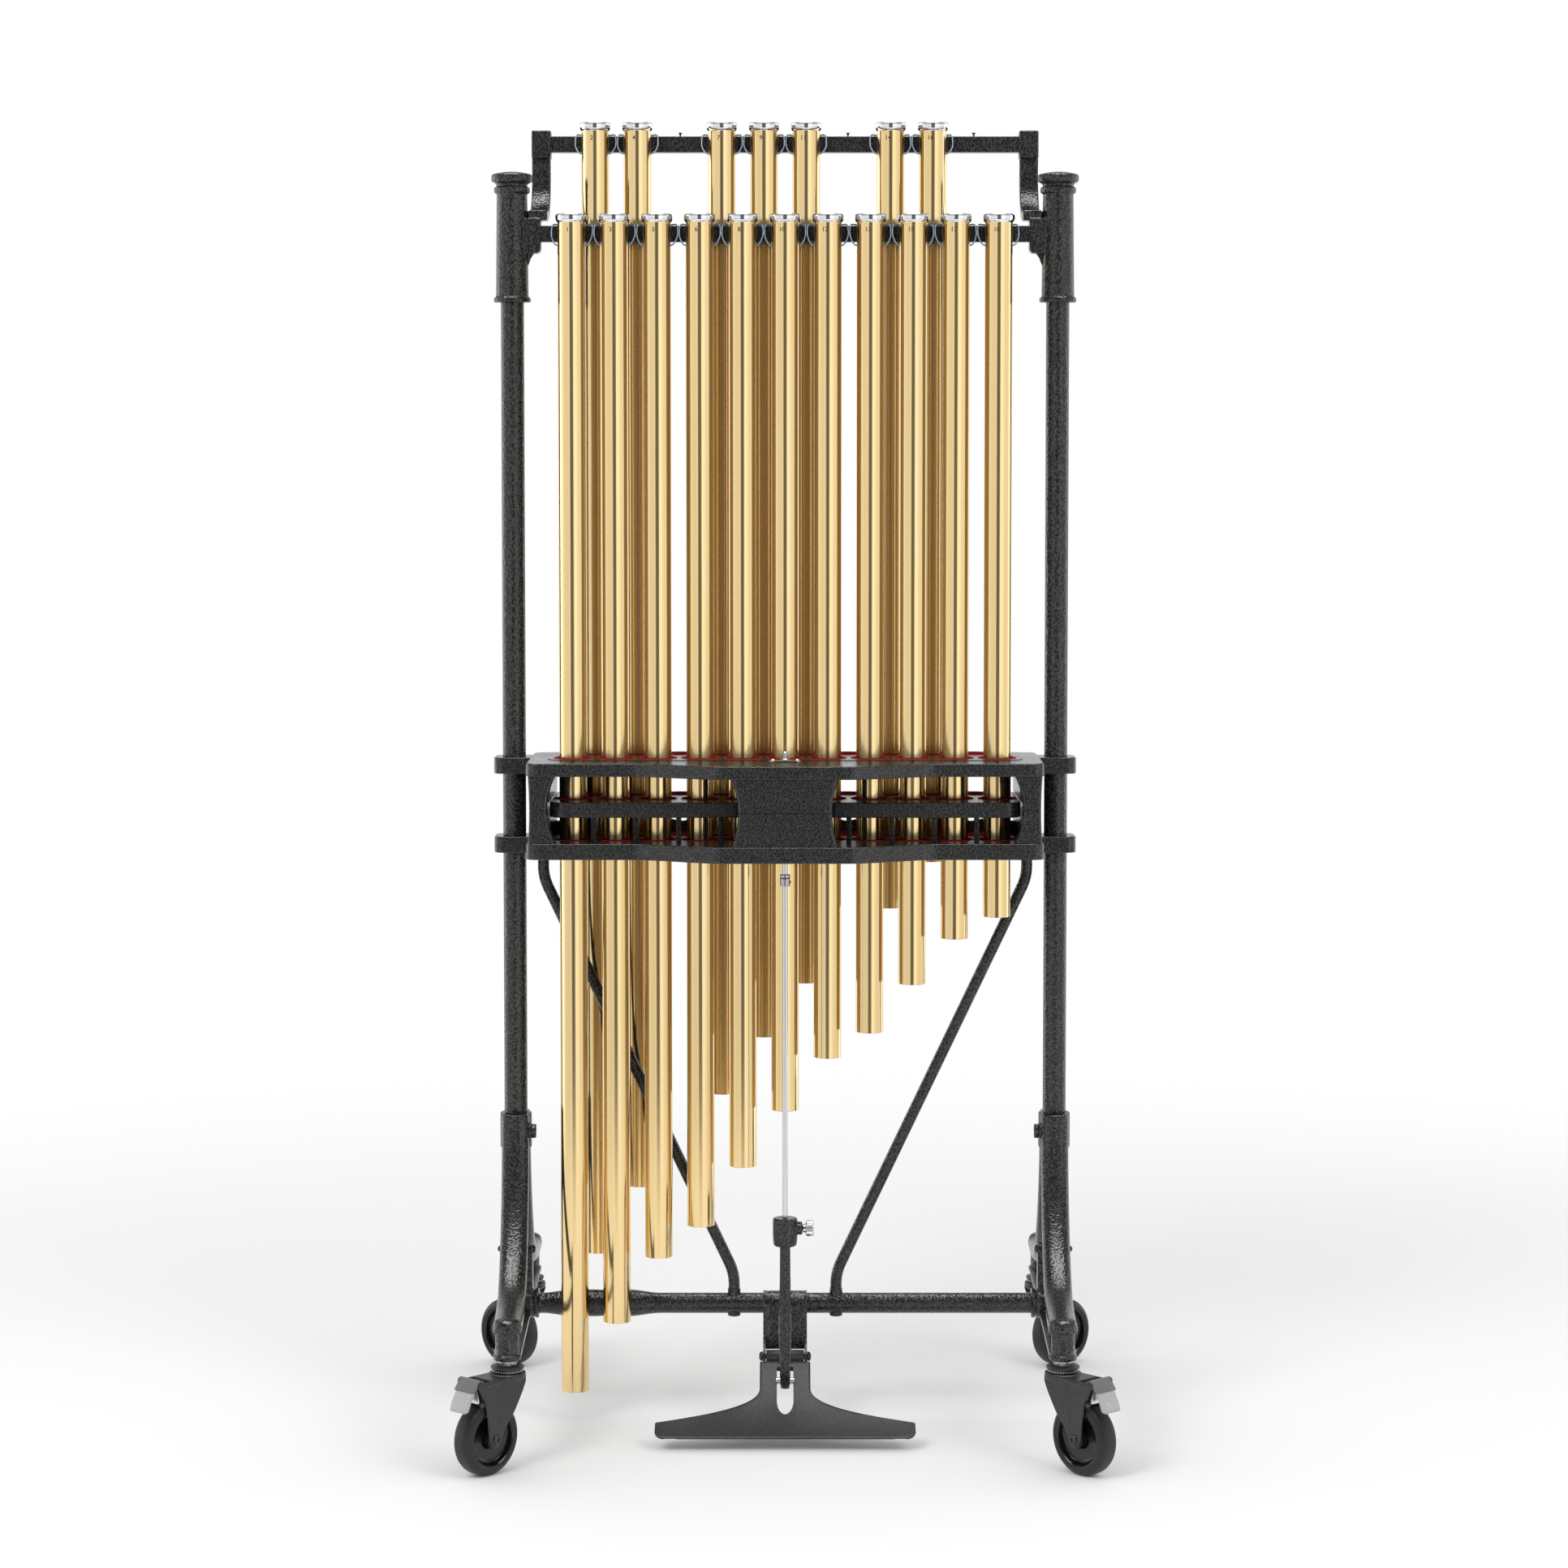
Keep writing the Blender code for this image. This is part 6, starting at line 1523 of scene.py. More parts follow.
    def rubber(self) -> None:
        """The ribbed rubber strip under the front edge."""
        front, deep, gap, tall = self.front_y + 0.003, 0.020, 0.0003, 0.0018
        steps = 40
        upper, lower = [], []
        for i in range(steps + 1):
            y = front + deep * i / steps
            under = self.surface(y) - self.depth(y) - gap
            upper.append((y, under))
            lower.append((y, under - tall + 0.0006 * (0.5 + 0.5 * math.cos(FULL_TURN * i / 5))))
        strip = Bench.plate("pedal_pad_rubber", upper + lower[::-1], -0.147, 0.147, SIDEWAYS)
        self.fit(strip, SOLE, Body.PEDAL.value, "rubber", ["pedal_pad"], angle=50.0)


@dataclass
class Posts(Assembly):
    """The two posts, their turned caps, and the castings on them that hold the rails."""

    x: float = 0.375
    radius: float = 0.016
    wall: float = 0.0025
    low: float = 0.138
    top: float = 1.710
    sleeve_low: float = 1.5526
    block_inner: float = 0.335
    block_outer: float = 0.3586
    block_low: float = 1.6194
    block_top: float = 1.6674
    arm_inner: float = 0.326
    arm_width: float = 0.026
    rail_y: float = 0.075
    head_top: float = 1.793
    nut_z: float = 0.2365

    def build(self) -> None:
        """Makes both sides."""
        for side, word in ((-1, "left"), (1, "right")):
            self.post(side, word)
            self.cap(side, word)
            self.bracket(side, word)

    def post(self, side: int, word: str) -> None:
        """A tube with soft rims, and the cap nut of the crossbar's bolt on its outer face."""
        r, inner, soft = self.radius, self.radius - self.wall, 0.0005
        profile = [
            (r - soft, self.top), (r, self.top - soft), (r, 1.30), (r, 0.60), (r, self.low + soft),
            (r - soft, self.low), (inner, self.low), (inner, self.top),
        ]
        tube = Bench.lathe(f"post_{word}_tube", profile, 72, Matrix.Translation((side * self.x, 0.0, 0.0)))
        self.fit(tube, PAINT, Body.STAND.value, "hammered_black", [f"post_{word}"], flat=True)
        nut = [(0.0, 0.0112), (0.0020, 0.0108), (0.0036, 0.0094), (0.0044, 0.0072), (0.0046, 0.0050), (0.0050, 0.0046),
               (0.0050, 0.0010), (0.0062, 0.0006), (0.0062, 0.0), (0.0, 0.0)]
        turn = Matrix.Rotation(math.radians(90 * side), 4, "Y")
        place = Matrix.Translation((side * (self.x + self.radius - 0.0004), 0.0, self.nut_z)) @ turn
        self.fit(Bench.lathe(f"post_{word}_nut", nut, 24, place), SATIN_PAINT, Body.STAND.value, "hammered_black")

    def cap(self, side: int, word: str) -> None:
        """The turned cap, with a hollow neck under its rim."""
        profile = [
            (0.0, 0.0210), (0.007, 0.0208), (0.0141, 0.0200), (0.0200, 0.0188), (0.0245, 0.0177), (0.0264, 0.0170),
            (0.0276, 0.0159), (0.0282, 0.0144), (0.02825, 0.0116), (0.0281, 0.0090), (0.0274, 0.0074),
            (0.0260, 0.0063), (0.0242, 0.0055), (0.0226, 0.0044), (0.0216, 0.0030), (0.0212, 0.0016),
            (0.0217, 0.0004), (0.0210, 0.0), (0.0, 0.0),
        ]
        place = Matrix.Translation((side * self.x, 0.0, self.top + 0.0003))
        cap = Bench.lathe(f"post_cap_{word}_turned", profile, 72, place)
        self.fit(cap, PAINT, Body.STAND.value, "hammered_black", [f"post_cap_{word}"], angle=60.0)

    def bracket(self, side: int, word: str) -> None:
        """One casting: a sleeve, a block for the front rail, and an arm with a head for the back rail."""
        low, top = self.sleeve_low, self.top
        profile = [
            (0.0, low), (0.0245, low), (0.0255, low + 0.0010), (0.0255, low + 0.0055), (0.0245, low + 0.0068),
            (0.0225, low + 0.0075), (0.0223, low + 0.030), (0.0212, top - 0.030), (0.0209, top - 0.0090),
            (0.0235, top - 0.0082), (0.0246, top - 0.0070), (0.0246, top - 0.0012), (0.0236, top), (0.0, top),
        ]
        made = Bench.lathe(f"rail_bracket_{word}_casting", profile, 72, Matrix.Translation((side * self.x, 0.0, 0.0)))
        inner, outer, bottom, high = self.block_inner, self.block_outer + 0.003, self.block_low, self.block_top
        outline = corner((inner, bottom), (inner, high), (outer, bottom), 0.007, 8)
        outline += [(outer, bottom), (outer, high), (inner, high)]
        block = Bench.plate("block", [(side * x, z) for x, z in outline], -0.014, 0.014, UPRIGHT)
        Bench.bevel(block, 0.0012, 2, 50.0)
        rib_top = bottom + 0.004
        rib = Bench.plate(
            "rib",
            [(side * (inner + 0.007), rib_top), (side * (outer - 0.001), rib_top),
             (side * (outer - 0.001), rib_top - 0.033), (side * (outer - 0.006), rib_top - 0.028),
             (side * (inner + 0.014), rib_top - 0.010)],
            -0.0042, 0.0042, UPRIGHT,
        )
        Bench.combine(made, [block, rib, self.arm(side), self.head(side)], "UNION")
        Bench.cast(made, 0.0010, 3)
        Bench.drill(made, [(side * self.x, 0.0)], self.radius + 0.0003, low - 0.01, top + 0.01, 72)
        screw = Bench.rod("block_screw", (side * 0.347, -0.0152, 1.648), (side * 0.347, -0.0100, 1.648), 0.0034, 28, 0.0005)
        key = Bench.rod("block_key", (side * 0.347, -0.0170, 1.648), (side * 0.347, -0.0138, 1.648), 0.0017, 6)
        Bench.combine(screw, [key], "DIFFERENCE")
        Bench.weld(made, screw)
        self.fit(made, PAINT, Body.STAND.value, "hammered_black", [f"rail_bracket_{word}"], angle=60.0)

    def arm(self, side: int) -> bpy.types.Object:
        """The plate that curves back and up from the block to the head."""
        half, bend = 0.007, 0.060
        base = self.block_top + half - 0.003
        centre_y, centre_z = self.rail_y - bend, base + bend
        turns = [math.radians(-90 + 90 * i / 18) for i in range(19)]
        front = [(centre_y + (bend - half) * math.cos(a), centre_z + (bend - half) * math.sin(a)) for a in turns]
        back = [(centre_y + (bend + half) * math.cos(a), centre_z + (bend + half) * math.sin(a)) for a in turns]
        end = self.head_top - 0.013
        outline = [(-0.012, base + half), *front, (self.rail_y - half, end), (self.rail_y + half, end)]
        outline += [*reversed(back), (-0.012, base - half)]
        ends = sorted((side * self.arm_inner, side * (self.arm_inner + self.arm_width)))
        return Bench.bevel(Bench.plate("arm", outline, ends[0], ends[1], SIDEWAYS), 0.0022, 3, 50.0)

    def head(self, side: int) -> bpy.types.Object:
        """The block that the back rail ends in."""
        low = (self.arm_inner - 0.001, self.rail_y - 0.015, self.head_top - 0.039)
        high = (self.arm_inner + self.arm_width, self.rail_y + 0.015, self.head_top)
        return Bench.side_block("head", side, low, high, 0.0022, 3)


@dataclass
class Legs(Assembly):
    """The four cast legs with their stem sleeves, and the flat braces to the posts' feet."""

    post_x: float = 0.375
    post_clear: float = 0.0163
    stems: tuple[float, float] = (0.3685, 0.377)
    stem_y: float = 0.273
    top: float = 0.430
    socket_low: float = 0.380
    bottom: float = 0.1465
    half_wide: float = 0.019
    half_deep: float = 0.015
    sleeve: float = 0.01575
    collar_low: float = 0.1835
    shares: tuple[Pair, ...] = (
        (0.059, 0.000), (0.073, 0.190), (0.125, 0.407), (0.200, 0.579), (0.293, 0.730), (0.396, 0.853),
        (0.540, 0.960), (0.714, 1.006), (0.897, 1.021), (1.000, 1.023),
    )

    def build(self) -> None:
        """Makes the four legs."""
        for side, word in ((-1, "left"), (1, "right")):
            for toward, end in ((-1, "front"), (1, "back")):
                self.leg(f"leg_{end}_{word}", side, toward)

    def leg(self, node: str, side: int, toward: int) -> None:
        """Makes one leg.

        Args:
            node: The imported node.
            side: -1 on the left and 1 on the right.
            toward: -1 for the front and 1 for the back.
        """
        stem_x = self.stems[0] if toward < 0 else self.stems[1]
        fall = self.top - (self.bottom + 0.045)
        spots = [
            (self.post_x + (stem_x - self.post_x) * share_y, self.stem_y * share_y, self.top - fall * share_z)
            for share_y, share_z in self.shares
        ]
        path = [Vector((side * x, toward * y, z)) for x, y, z in blend_through(spots, 5)]
        last = len(path) - 1
        rings = []
        for i, at in enumerate(path):
            run = Vector((0.0, 0.0, -1.0)) if i == 0 else path[min(i + 1, last)] - path[i - 1]
            across = Vector((self.half_wide, 0.0, 0.0))
            deep = run.normalized().cross(Vector((1.0, 0.0, 0.0))).normalized() * self.half_deep
            rings.append(rounded_ring(at, across, deep))
        made = Bench.swept(f"{node}_casting", rings)
        Bench.bevel(made, 0.0025, 3, 60.0)
        place = Matrix.Translation((side * self.post_x, 0.0, 0.0))
        r = 0.022
        socket = Bench.lathe("socket", [
            (0.0, self.top), (r - 0.001, self.top), (r, self.top - 0.001), (r, self.socket_low + 0.0015),
            (r - 0.0015, self.socket_low), (0.0, self.socket_low),
        ], 64, place)
        stem = Matrix.Translation((side * stem_x, toward * self.stem_y, 0.0))
        hub = Bench.lathe("hub", [
            (0.0, 0.2025), (0.0080, 0.2022), (0.0135, 0.2008), (0.0172, 0.1978), (0.0189, 0.1935), (0.0190, 0.1850),
            (0.0180, 0.1836), (0.0, 0.1836),
        ], 64, stem)
        Bench.combine(made, [socket, hub], "UNION")
        Bench.cast(made, 0.0012, 4)
        foot = Bench.lathe("foot", self.foot_profile(), 64, stem)
        Bench.combine(made, [foot, self.brace(side, toward, stem_x)], "UNION")
        bores = [
            Bench.rod("post_bore", (side * self.post_x, 0.0, 0.1), (side * self.post_x, 0.0, 0.6), self.post_clear, 72),
            Bench.rod("stem_bore", (side * stem_x, toward * self.stem_y, 0.13), (side * stem_x, toward * self.stem_y, 0.1805),
                      0.0063, 32),
        ]
        Bench.combine(made, bores, "DIFFERENCE")
        Bench.halve(made, (0.0, toward * 0.00015, 0.0), (0.0, -toward, 0.0))
        if toward < 0:
            Bench.weld(made, self.bolt(side, toward))
        self.fit(made, PAINT, Body.STAND.value, "hammered_black", [node], angle=60.0)

    def foot_profile(self) -> list[Pair]:
        """The turned collar, sleeve and flange that the caster's stem sits in."""
        low, collar = self.bottom, self.collar_low
        return [
            (0.0, 0.1925), (0.0176, 0.1925), (0.0188, 0.1918), (0.0193, 0.1905), (0.0193, 0.1850), (0.0188, 0.1838),
            (0.0175, collar), (self.sleeve, collar - 0.0006), (self.sleeve, low + 0.0078), (0.0162, low + 0.0068),
            (0.0178, low + 0.0064), (0.0185, low + 0.0056), (0.0185, low + 0.0009), (0.0177, low), (0.0, low),
        ]

    def brace(self, side: int, toward: int, stem_x: float) -> bpy.types.Object:
        """The flat plate from the foot to the post, notched for the crossbar's flange."""
        near, far = self.post_clear + 0.0037, 0.018
        outline = [
            (side * (self.post_x - near), 0.0), (side * (self.post_x + near), 0.0),
            (side * (stem_x + far), toward * self.stem_y), (side * (stem_x - far), toward * self.stem_y),
        ]
        plate = Bench.plate("brace", outline, self.bottom + 0.0005, self.bottom + 0.0060)
        Bench.bevel(plate, 0.0009, 2, 50.0)
        notch = Bench.side_block("notch", side, (0.3460, -0.0208, 0.1392), (0.3653, 0.0208, 0.1808))
        return Bench.combine(plate, [notch], "DIFFERENCE")

    def bolt(self, side: int, toward: int) -> bpy.types.Object:
        """The hexagon bolt of the clamp, on its washer."""
        y, z = toward * 0.0116, 0.405
        head = Bench.rod("bolt_head", (side * 0.3530, y, z), (side * 0.3462, y, z), 0.0105, 6, 0.0008)
        washer = Bench.rod("bolt_washer", (side * 0.3590, y, z), (side * 0.3528, y, z), 0.0115, 36, 0.0004)
        return Bench.weld(head, washer)


@dataclass
class Bars(Assembly):
    """The crossbar between the posts, and the two stays that stand on it."""

    z: float = 0.160
    radius: float = 0.0141
    flange: float = 0.0205
    post_x: float = 0.375
    swell_x: float = -0.257
    swell_half: float = 0.083
    swell_flat: float = 0.45
    swell_radius: float = 0.0187
    stay_top: Pair = (0.3354, 0.7957)
    stay_foot: Pair = (0.0712, 0.1779)
    stay_radius: float = 0.0079

    def build(self) -> None:
        """Makes the crossbar and the stays."""
        self.crossbar()
        for side, word in ((-1, "left"), (1, "right")):
            self.stay(side, word)

    def crossbar(self) -> None:
        """A turned bar with double flanges, a swell with a seam, two bosses and a lug on each post."""
        r, f, end = self.radius, self.flange, 0.365
        rim = [
            (0.0, end), (f - 0.001, end), (f - 0.001, 0.3575), (f, 0.3567), (f, 0.3520), (f - 0.0008, 0.3510),
            (f - 0.0016, 0.3500), (f - 0.0008, 0.3490), (f, 0.3480), (f, 0.3448), (f - 0.001, 0.3440),
            (r + 0.0008, 0.3434), (r, 0.3420),
        ]
        profile = list(rim)
        for i in range(31):
            t = 1 - i / 15
            rise = (self.swell_radius - r) * (1 - ease((abs(t) - self.swell_flat) / (1 - self.swell_flat)))
            groove = 0.0005 if i == 15 else 0.0
            profile.append((r + rise - groove, self.swell_x + self.swell_half * t))
        profile += [(radius, -along) for radius, along in reversed(rim)]
        bar = Bench.lathe("crossbar_turned", profile, 64, Matrix.Translation((0.0, 0.0, self.z)) @ ALONG_X)
        parts = []
        for side in (-1, 1):
            reach = r + 0.0035
            parts.append(Bench.rod(f"boss_{side}", (side * 0.0712, 0.0, self.z - reach), (side * 0.0712, 0.0, self.z + reach),
                                   0.009, 32, 0.0008))
            parts.append(self.lug(side))
        Bench.combine(bar, parts, "UNION")
        Bench.drill(bar, [(-self.post_x, 0.0), (self.post_x, 0.0)], 0.0163, 0.05, 0.3, 72)
        bolts = []
        for side in (-1, 1):
            button = [(0.0, 0.0046), (0.0028, 0.0044), (0.0048, 0.0034), (0.0060, 0.0018), (0.0062, 0.0), (0.0, 0.0)]
            turn = Matrix.Rotation(math.radians(-90 * side), 4, "Y")
            place = Matrix.Translation((side * 0.3528, 0.0, 0.2365)) @ turn
            head = Bench.lathe(f"lug_bolt_{side}", button, 32, place)
            key = Bench.rod("lug_key", (side * 0.3500, 0.0, 0.2365), (side * 0.3440, 0.0, 0.2365), 0.0024, 6)
            bolts.append(Bench.combine(head, [key], "DIFFERENCE"))
        Bench.weld(bar, *bolts)
        self.fit(bar, PAINT, Body.STAND.value, "hammered_black", ["crossbar"], angle=40.0)

    def lug(self, side: int) -> bpy.types.Object:
        """The upright tongue with a round top that is bolted to the post."""
        half, top = 0.009, 0.2365
        outline = [(-half, self.z), (half, self.z)]
        outline += [(half * math.cos(math.pi * i / 14), top + half * math.sin(math.pi * i / 14)) for i in range(15)]
        ends = sorted((side * 0.3525, side * 0.3620))
        return Bench.bevel(Bench.plate(f"lug_{side}", outline, ends[0], ends[1], SIDEWAYS), 0.0008, 2, 50.0)

    def stay(self, side: int, word: str) -> None:
        """A bent bar from under the damper box to the crossbar, with a weld at each end."""
        top, foot = self.stay_top, self.stay_foot
        high, low = (top[0], top[1] - 0.037), (foot[0], foot[1] + 0.025)
        flat = [top, *corner(high, top, low, 0.070, 16), *corner(low, high, foot, 0.070, 16), foot]
        rod = Bench.pipe(f"stay_{word}_bar", [(side * x, 0.0, z) for x, z in flat], self.stay_radius, False, 7)
        parts = []
        for name, (x, z), up in (("top", top, -1), ("foot", foot, 1)):
            profile = [(0.0, 0.0), (0.0088, 0.0), (0.0090, 0.0012), (0.0086, 0.0030), (0.0080, 0.0042), (0.0, 0.0044)]
            place = Matrix.Translation((side * x, 0.0, z)) @ Matrix.Diagonal((1.0, 1.0, float(up), 1.0))
            parts.append(Bench.lathe(f"weld_{name}", profile, 32, place))
        Bench.combine(rod, parts, "UNION")
        self.fit(rod, PAINT, Body.STAND.value, "hammered_black", [f"stay_{word}"], angle=50.0)


@dataclass
class Casters(Assembly):
    """The four swivelling casters. Each is made in its own frame, with its trail along +X."""

    stems: tuple[float, float] = (0.3685, 0.377)
    yaws_deg: tuple[float, float] = (49.0, 40.2)
    stem_y: float = 0.273
    trail: float = 0.0405
    base: float = 0.130
    outer: float = 0.021
    inner: float = 0.018
    wheel_z: float = 0.04938
    wheel_radius: float = 0.0494
    pivot: Pair = (0.0655, 0.129)
    lever_half: float = 0.0177

    def build(self) -> None:
        """Makes the casters; the two in front have a foot brake."""
        for side, word in ((-1, "left"), (1, "right")):
            for toward, end in ((-1, "front"), (1, "back")):
                frame = self.frame(side, toward)
                tag = f"{end}_{word}"
                self.fork(tag, frame, toward < 0)
                self.race(tag, frame)
                self.wheel(tag, frame)
                if toward < 0:
                    self.brake(word, frame)

    def frame(self, side: int, toward: int) -> Matrix:
        """The matrix from a caster's own frame to the posts' frame."""
        pick = 0 if toward < 0 else 1
        yaw = math.radians(self.yaws_deg[pick])
        angle = math.atan2(toward * math.sin(yaw), side * math.cos(yaw))
        place = Matrix.Translation((side * self.stems[pick], toward * self.stem_y, 0.0))
        return place @ Matrix.Rotation(angle, 4, "Z")

    def cheeks(self, front: bool) -> list[Pair]:
        """The fork's outline seen from its side; those in front reach back to the brake's pivot."""
        base, trail, z = self.base, self.trail, self.wheel_z
        px, pz = self.pivot
        points = [
            (-0.015, base - 0.002), (-0.015, base - 0.012), (-0.0095, base - 0.0235), (-0.0014, base - 0.037),
            (0.007, base - 0.050), (0.026, base - 0.071), (trail - 0.007, z - 0.007), (trail + 0.001, z - 0.0105),
            (trail + 0.009, z - 0.007), (trail + 0.013, z + 0.002),
        ]
        radii = [0.002, 0.006, 0.010, 0.020, 0.020, 0.020, 0.006, 0.005, 0.006, 0.010]
        if front:
            points += [(trail + 0.0155, base - 0.052), (trail + 0.0185, base - 0.030), (px + 0.007, pz - 0.006),
                       (px + 0.007, pz + 0.004), (px - 0.010, base - 0.001)]
            radii += [0.020, 0.012, 0.004, 0.004, 0.004]
        else:
            points += [(0.050, 0.075), (0.040, 0.095), (0.0335, 0.112), (0.032, base - 0.001)]
            radii += [0.020, 0.020, 0.012, 0.003]
        return rounded(points, radii, 5)

    def fork(self, tag: str, frame: Matrix, front: bool) -> None:
        """The pressed fork with its crown, the axle's heads and the brake's rivets.

        Args:
            tag: Which caster.
            frame: From its own frame to the posts'.
            front: Whether it carries a brake.
        """
        base, o, i = self.base, self.outer, self.inner
        made = Bench.plate("fork_shell", self.cheeks(front), -o, o, UPRIGHT)
        Bench.bevel(made, 0.0022, 3, 60.0)
        hollow = Bench.block("hollow", (-0.05, -i, -0.01), (0.12, i, base - 0.0055), 0.0012, 2)
        back = Bench.block("open_top", (0.0465, -i, base - 0.012), (0.12, i, base + 0.02), 0.0012, 2)
        crown = Bench.lathe("crown", [
            (0.0, base), (0.0235, base), (0.0243, base - 0.0008), (0.0245, base - 0.0030), (0.0240, base - 0.0068),
            (0.0215, base - 0.0095), (0.0, base - 0.0100),
        ], 64)
        line = [(0.060, -o, base - 0.006), (0.044, -o, base - 0.0052), (0.028, -o, base - 0.0045),
                (0.028, -o, base - 0.020), (0.0285, -o, base - 0.042), (0.030, -o, base - 0.060)]
        ridge = Bench.pipe("ridge", line if front else line[3:], 0.0015, False, 3)
        other = Bench.copy(ridge, "other_ridge", Matrix.Diagonal((1.0, -1.0, 1.0, 1.0)))
        Bench.combine(made, [hollow, back], "DIFFERENCE")
        Bench.weld(made, crown, ridge, other)
        Bench.cast(made, 0.0009, 3)
        parts = [Bench.rod("axle", (self.trail, -i - 0.001, self.wheel_z), (self.trail, i + 0.001, self.wheel_z), 0.004, 24)]
        for edge in (-1, 1):
            head = [(0.0, 0.0012), (0.0024, 0.0012), (0.0030, 0.0028), (0.0052, 0.0029), (0.0065, 0.0020),
                    (0.0068, 0.0006), (0.0068, -0.0006), (0.0, -0.0006)]
            turn = Matrix.Rotation(math.radians(-90 * edge), 4, "X")
            parts.append(Bench.lathe(f"axle_head_{edge}", head, 36,
                                     Matrix.Translation((self.trail, edge * o, self.wheel_z)) @ turn))
            if front:
                spots = ((*self.pivot, 0.0032, 0.0016), (0.040, 0.113, 0.0027, 0.0012))
                for n, (x, z, r, tall) in enumerate(spots):
                    rivet = [(0.0, tall), (r * 0.6, tall * 0.9), (r * 0.9, tall * 0.5), (r, 0.0), (r, -0.0008), (0.0, -0.0008)]
                    parts.append(Bench.lathe(f"rivet_{edge}_{n}", rivet, 24, Matrix.Translation((x, edge * o, z)) @ turn))
        stem = Bench.lathe("stem", [
            (0.0, 0.1765), (0.0052, 0.1765), (0.006, 0.1757), (0.006, 0.138), (0.0, 0.138),
        ], 24)
        Bench.weld(made, *parts, stem)
        Bench.place(made, frame)
        made.name = f"caster_fork_{tag}_pressed"
        self.fit(made, FORK_PAINT, f"caster_{tag}", "hammered_black", [f"caster_fork_{tag}"], angle=60.0)

    def race(self, tag: str, frame: Matrix) -> None:
        """The bearing's disc, its cage with the balls' edges, and the stem's nut and ring."""
        base = self.base
        disc = Bench.lathe("disc", [
            (0.0, base + 0.0085), (0.0195, base + 0.0085), (0.0216, base + 0.0080), (0.0223, base + 0.0066),
            (0.0222, base + 0.0054), (0.0205, base + 0.0050), (0.0, base + 0.0050),
        ], 64)
        dark = Bench.place(disc, frame)
        dark.name = f"caster_{tag}_disc"
        self.fit(dark, SATIN_PAINT, f"caster_{tag}", "hammered_black", angle=50.0)
        cage = Bench.lathe("cage", [
            (0.0, base + 0.0052), (0.0203, base + 0.0052), (0.0203, base - 0.0002), (0.0, base - 0.0002),
        ], 48)
        Bench.place(cage, frame)
        cage.name = f"caster_{tag}_cage"
        self.fit(cage, GLOSS_BLACK, f"caster_{tag}", "hammered_black", angle=50.0)
        balls = []
        for n in range(34):
            turn = FULL_TURN * n / 34
            Bench.pick()
            at = (0.0200 * math.cos(turn), 0.0200 * math.sin(turn), base + 0.0026)
            bpy.ops.mesh.primitive_uv_sphere_add(segments=10, ring_count=8, radius=0.0013, location=at)
            ball = Bench.named(f"ball_{n}")
            balls.append(Bench.place(ball, ball.matrix_world.copy()))
        ring = Bench.place(Bench.weld(*balls), frame)
        ring.name = f"caster_{tag}_balls"
        self.fit(ring, ZINC, f"caster_{tag}", "chrome", angle=50.0)
        nut = Bench.rod("nut", (0.0, 0.0, base + 0.0083), (0.0, 0.0, base + 0.0127), 0.0127, 6, 0.0007)
        ring = Bench.lathe("ring", [
            (0.0, base + 0.0160), (0.0128, base + 0.0160), (0.0138, base + 0.0152), (0.0138, base + 0.0135),
            (0.0128, base + 0.0127), (0.0, base + 0.0127),
        ], 48)
        Bench.weld(nut, ring)
        Bench.place(nut, frame)
        nut.name = f"caster_{tag}_nut"
        self.fit(nut, NICKEL, f"caster_{tag}", "chrome", angle=40.0)

    def wheel(self, tag: str, frame: Matrix) -> None:
        """A rubber tyre round a glossy rim with a thin web and a hub."""
        place = frame @ Matrix.Translation((self.trail, 0.0, self.wheel_z)) @ Matrix.Rotation(math.radians(90), 4, "X")
        rr, half = self.wheel_radius, 0.016
        side = [
            (0.0368, 0.0140), (0.0385, 0.0154), (0.0408, 0.0158), (0.0436, 0.0146), (0.0462, 0.0124), (0.0480, 0.0104),
            (0.0490, 0.0080), (rr, 0.0050),
        ]
        profile = side + [(rr, 0.0)] + [(radius, -along) for radius, along in reversed(side)] + [(0.0352, -0.0120), (0.0352, 0.0120)]
        tyre = Bench.lathe(f"caster_wheel_{tag}_tyre", profile, 96, place)
        body = f"wheel_{tag}"
        self.fit(tyre, TYRE, body, "wheel_rubber", [f"caster_wheel_{tag}"], angle=50.0)
        face = [
            (0.0045, 0.0176), (0.0112, 0.0176), (0.0124, 0.0170), (0.0130, 0.0155), (0.0134, 0.0080), (0.0146, 0.0056),
            (0.0180, 0.0048), (0.0280, 0.0048), (0.0318, 0.0056), (0.0336, 0.0078), (0.0344, 0.0110), (0.0350, 0.0134),
            (0.0362, 0.0146), (0.0374, 0.0146), (0.0378, 0.0136), (0.0372, 0.0100),
        ]
        rim = Bench.lathe(f"caster_wheel_{tag}_rim", face + [(radius, -along) for radius, along in reversed(face)], 96, place)
        self.fit(rim, GLOSS_BLACK, body, "wheel_rubber", angle=40.0)

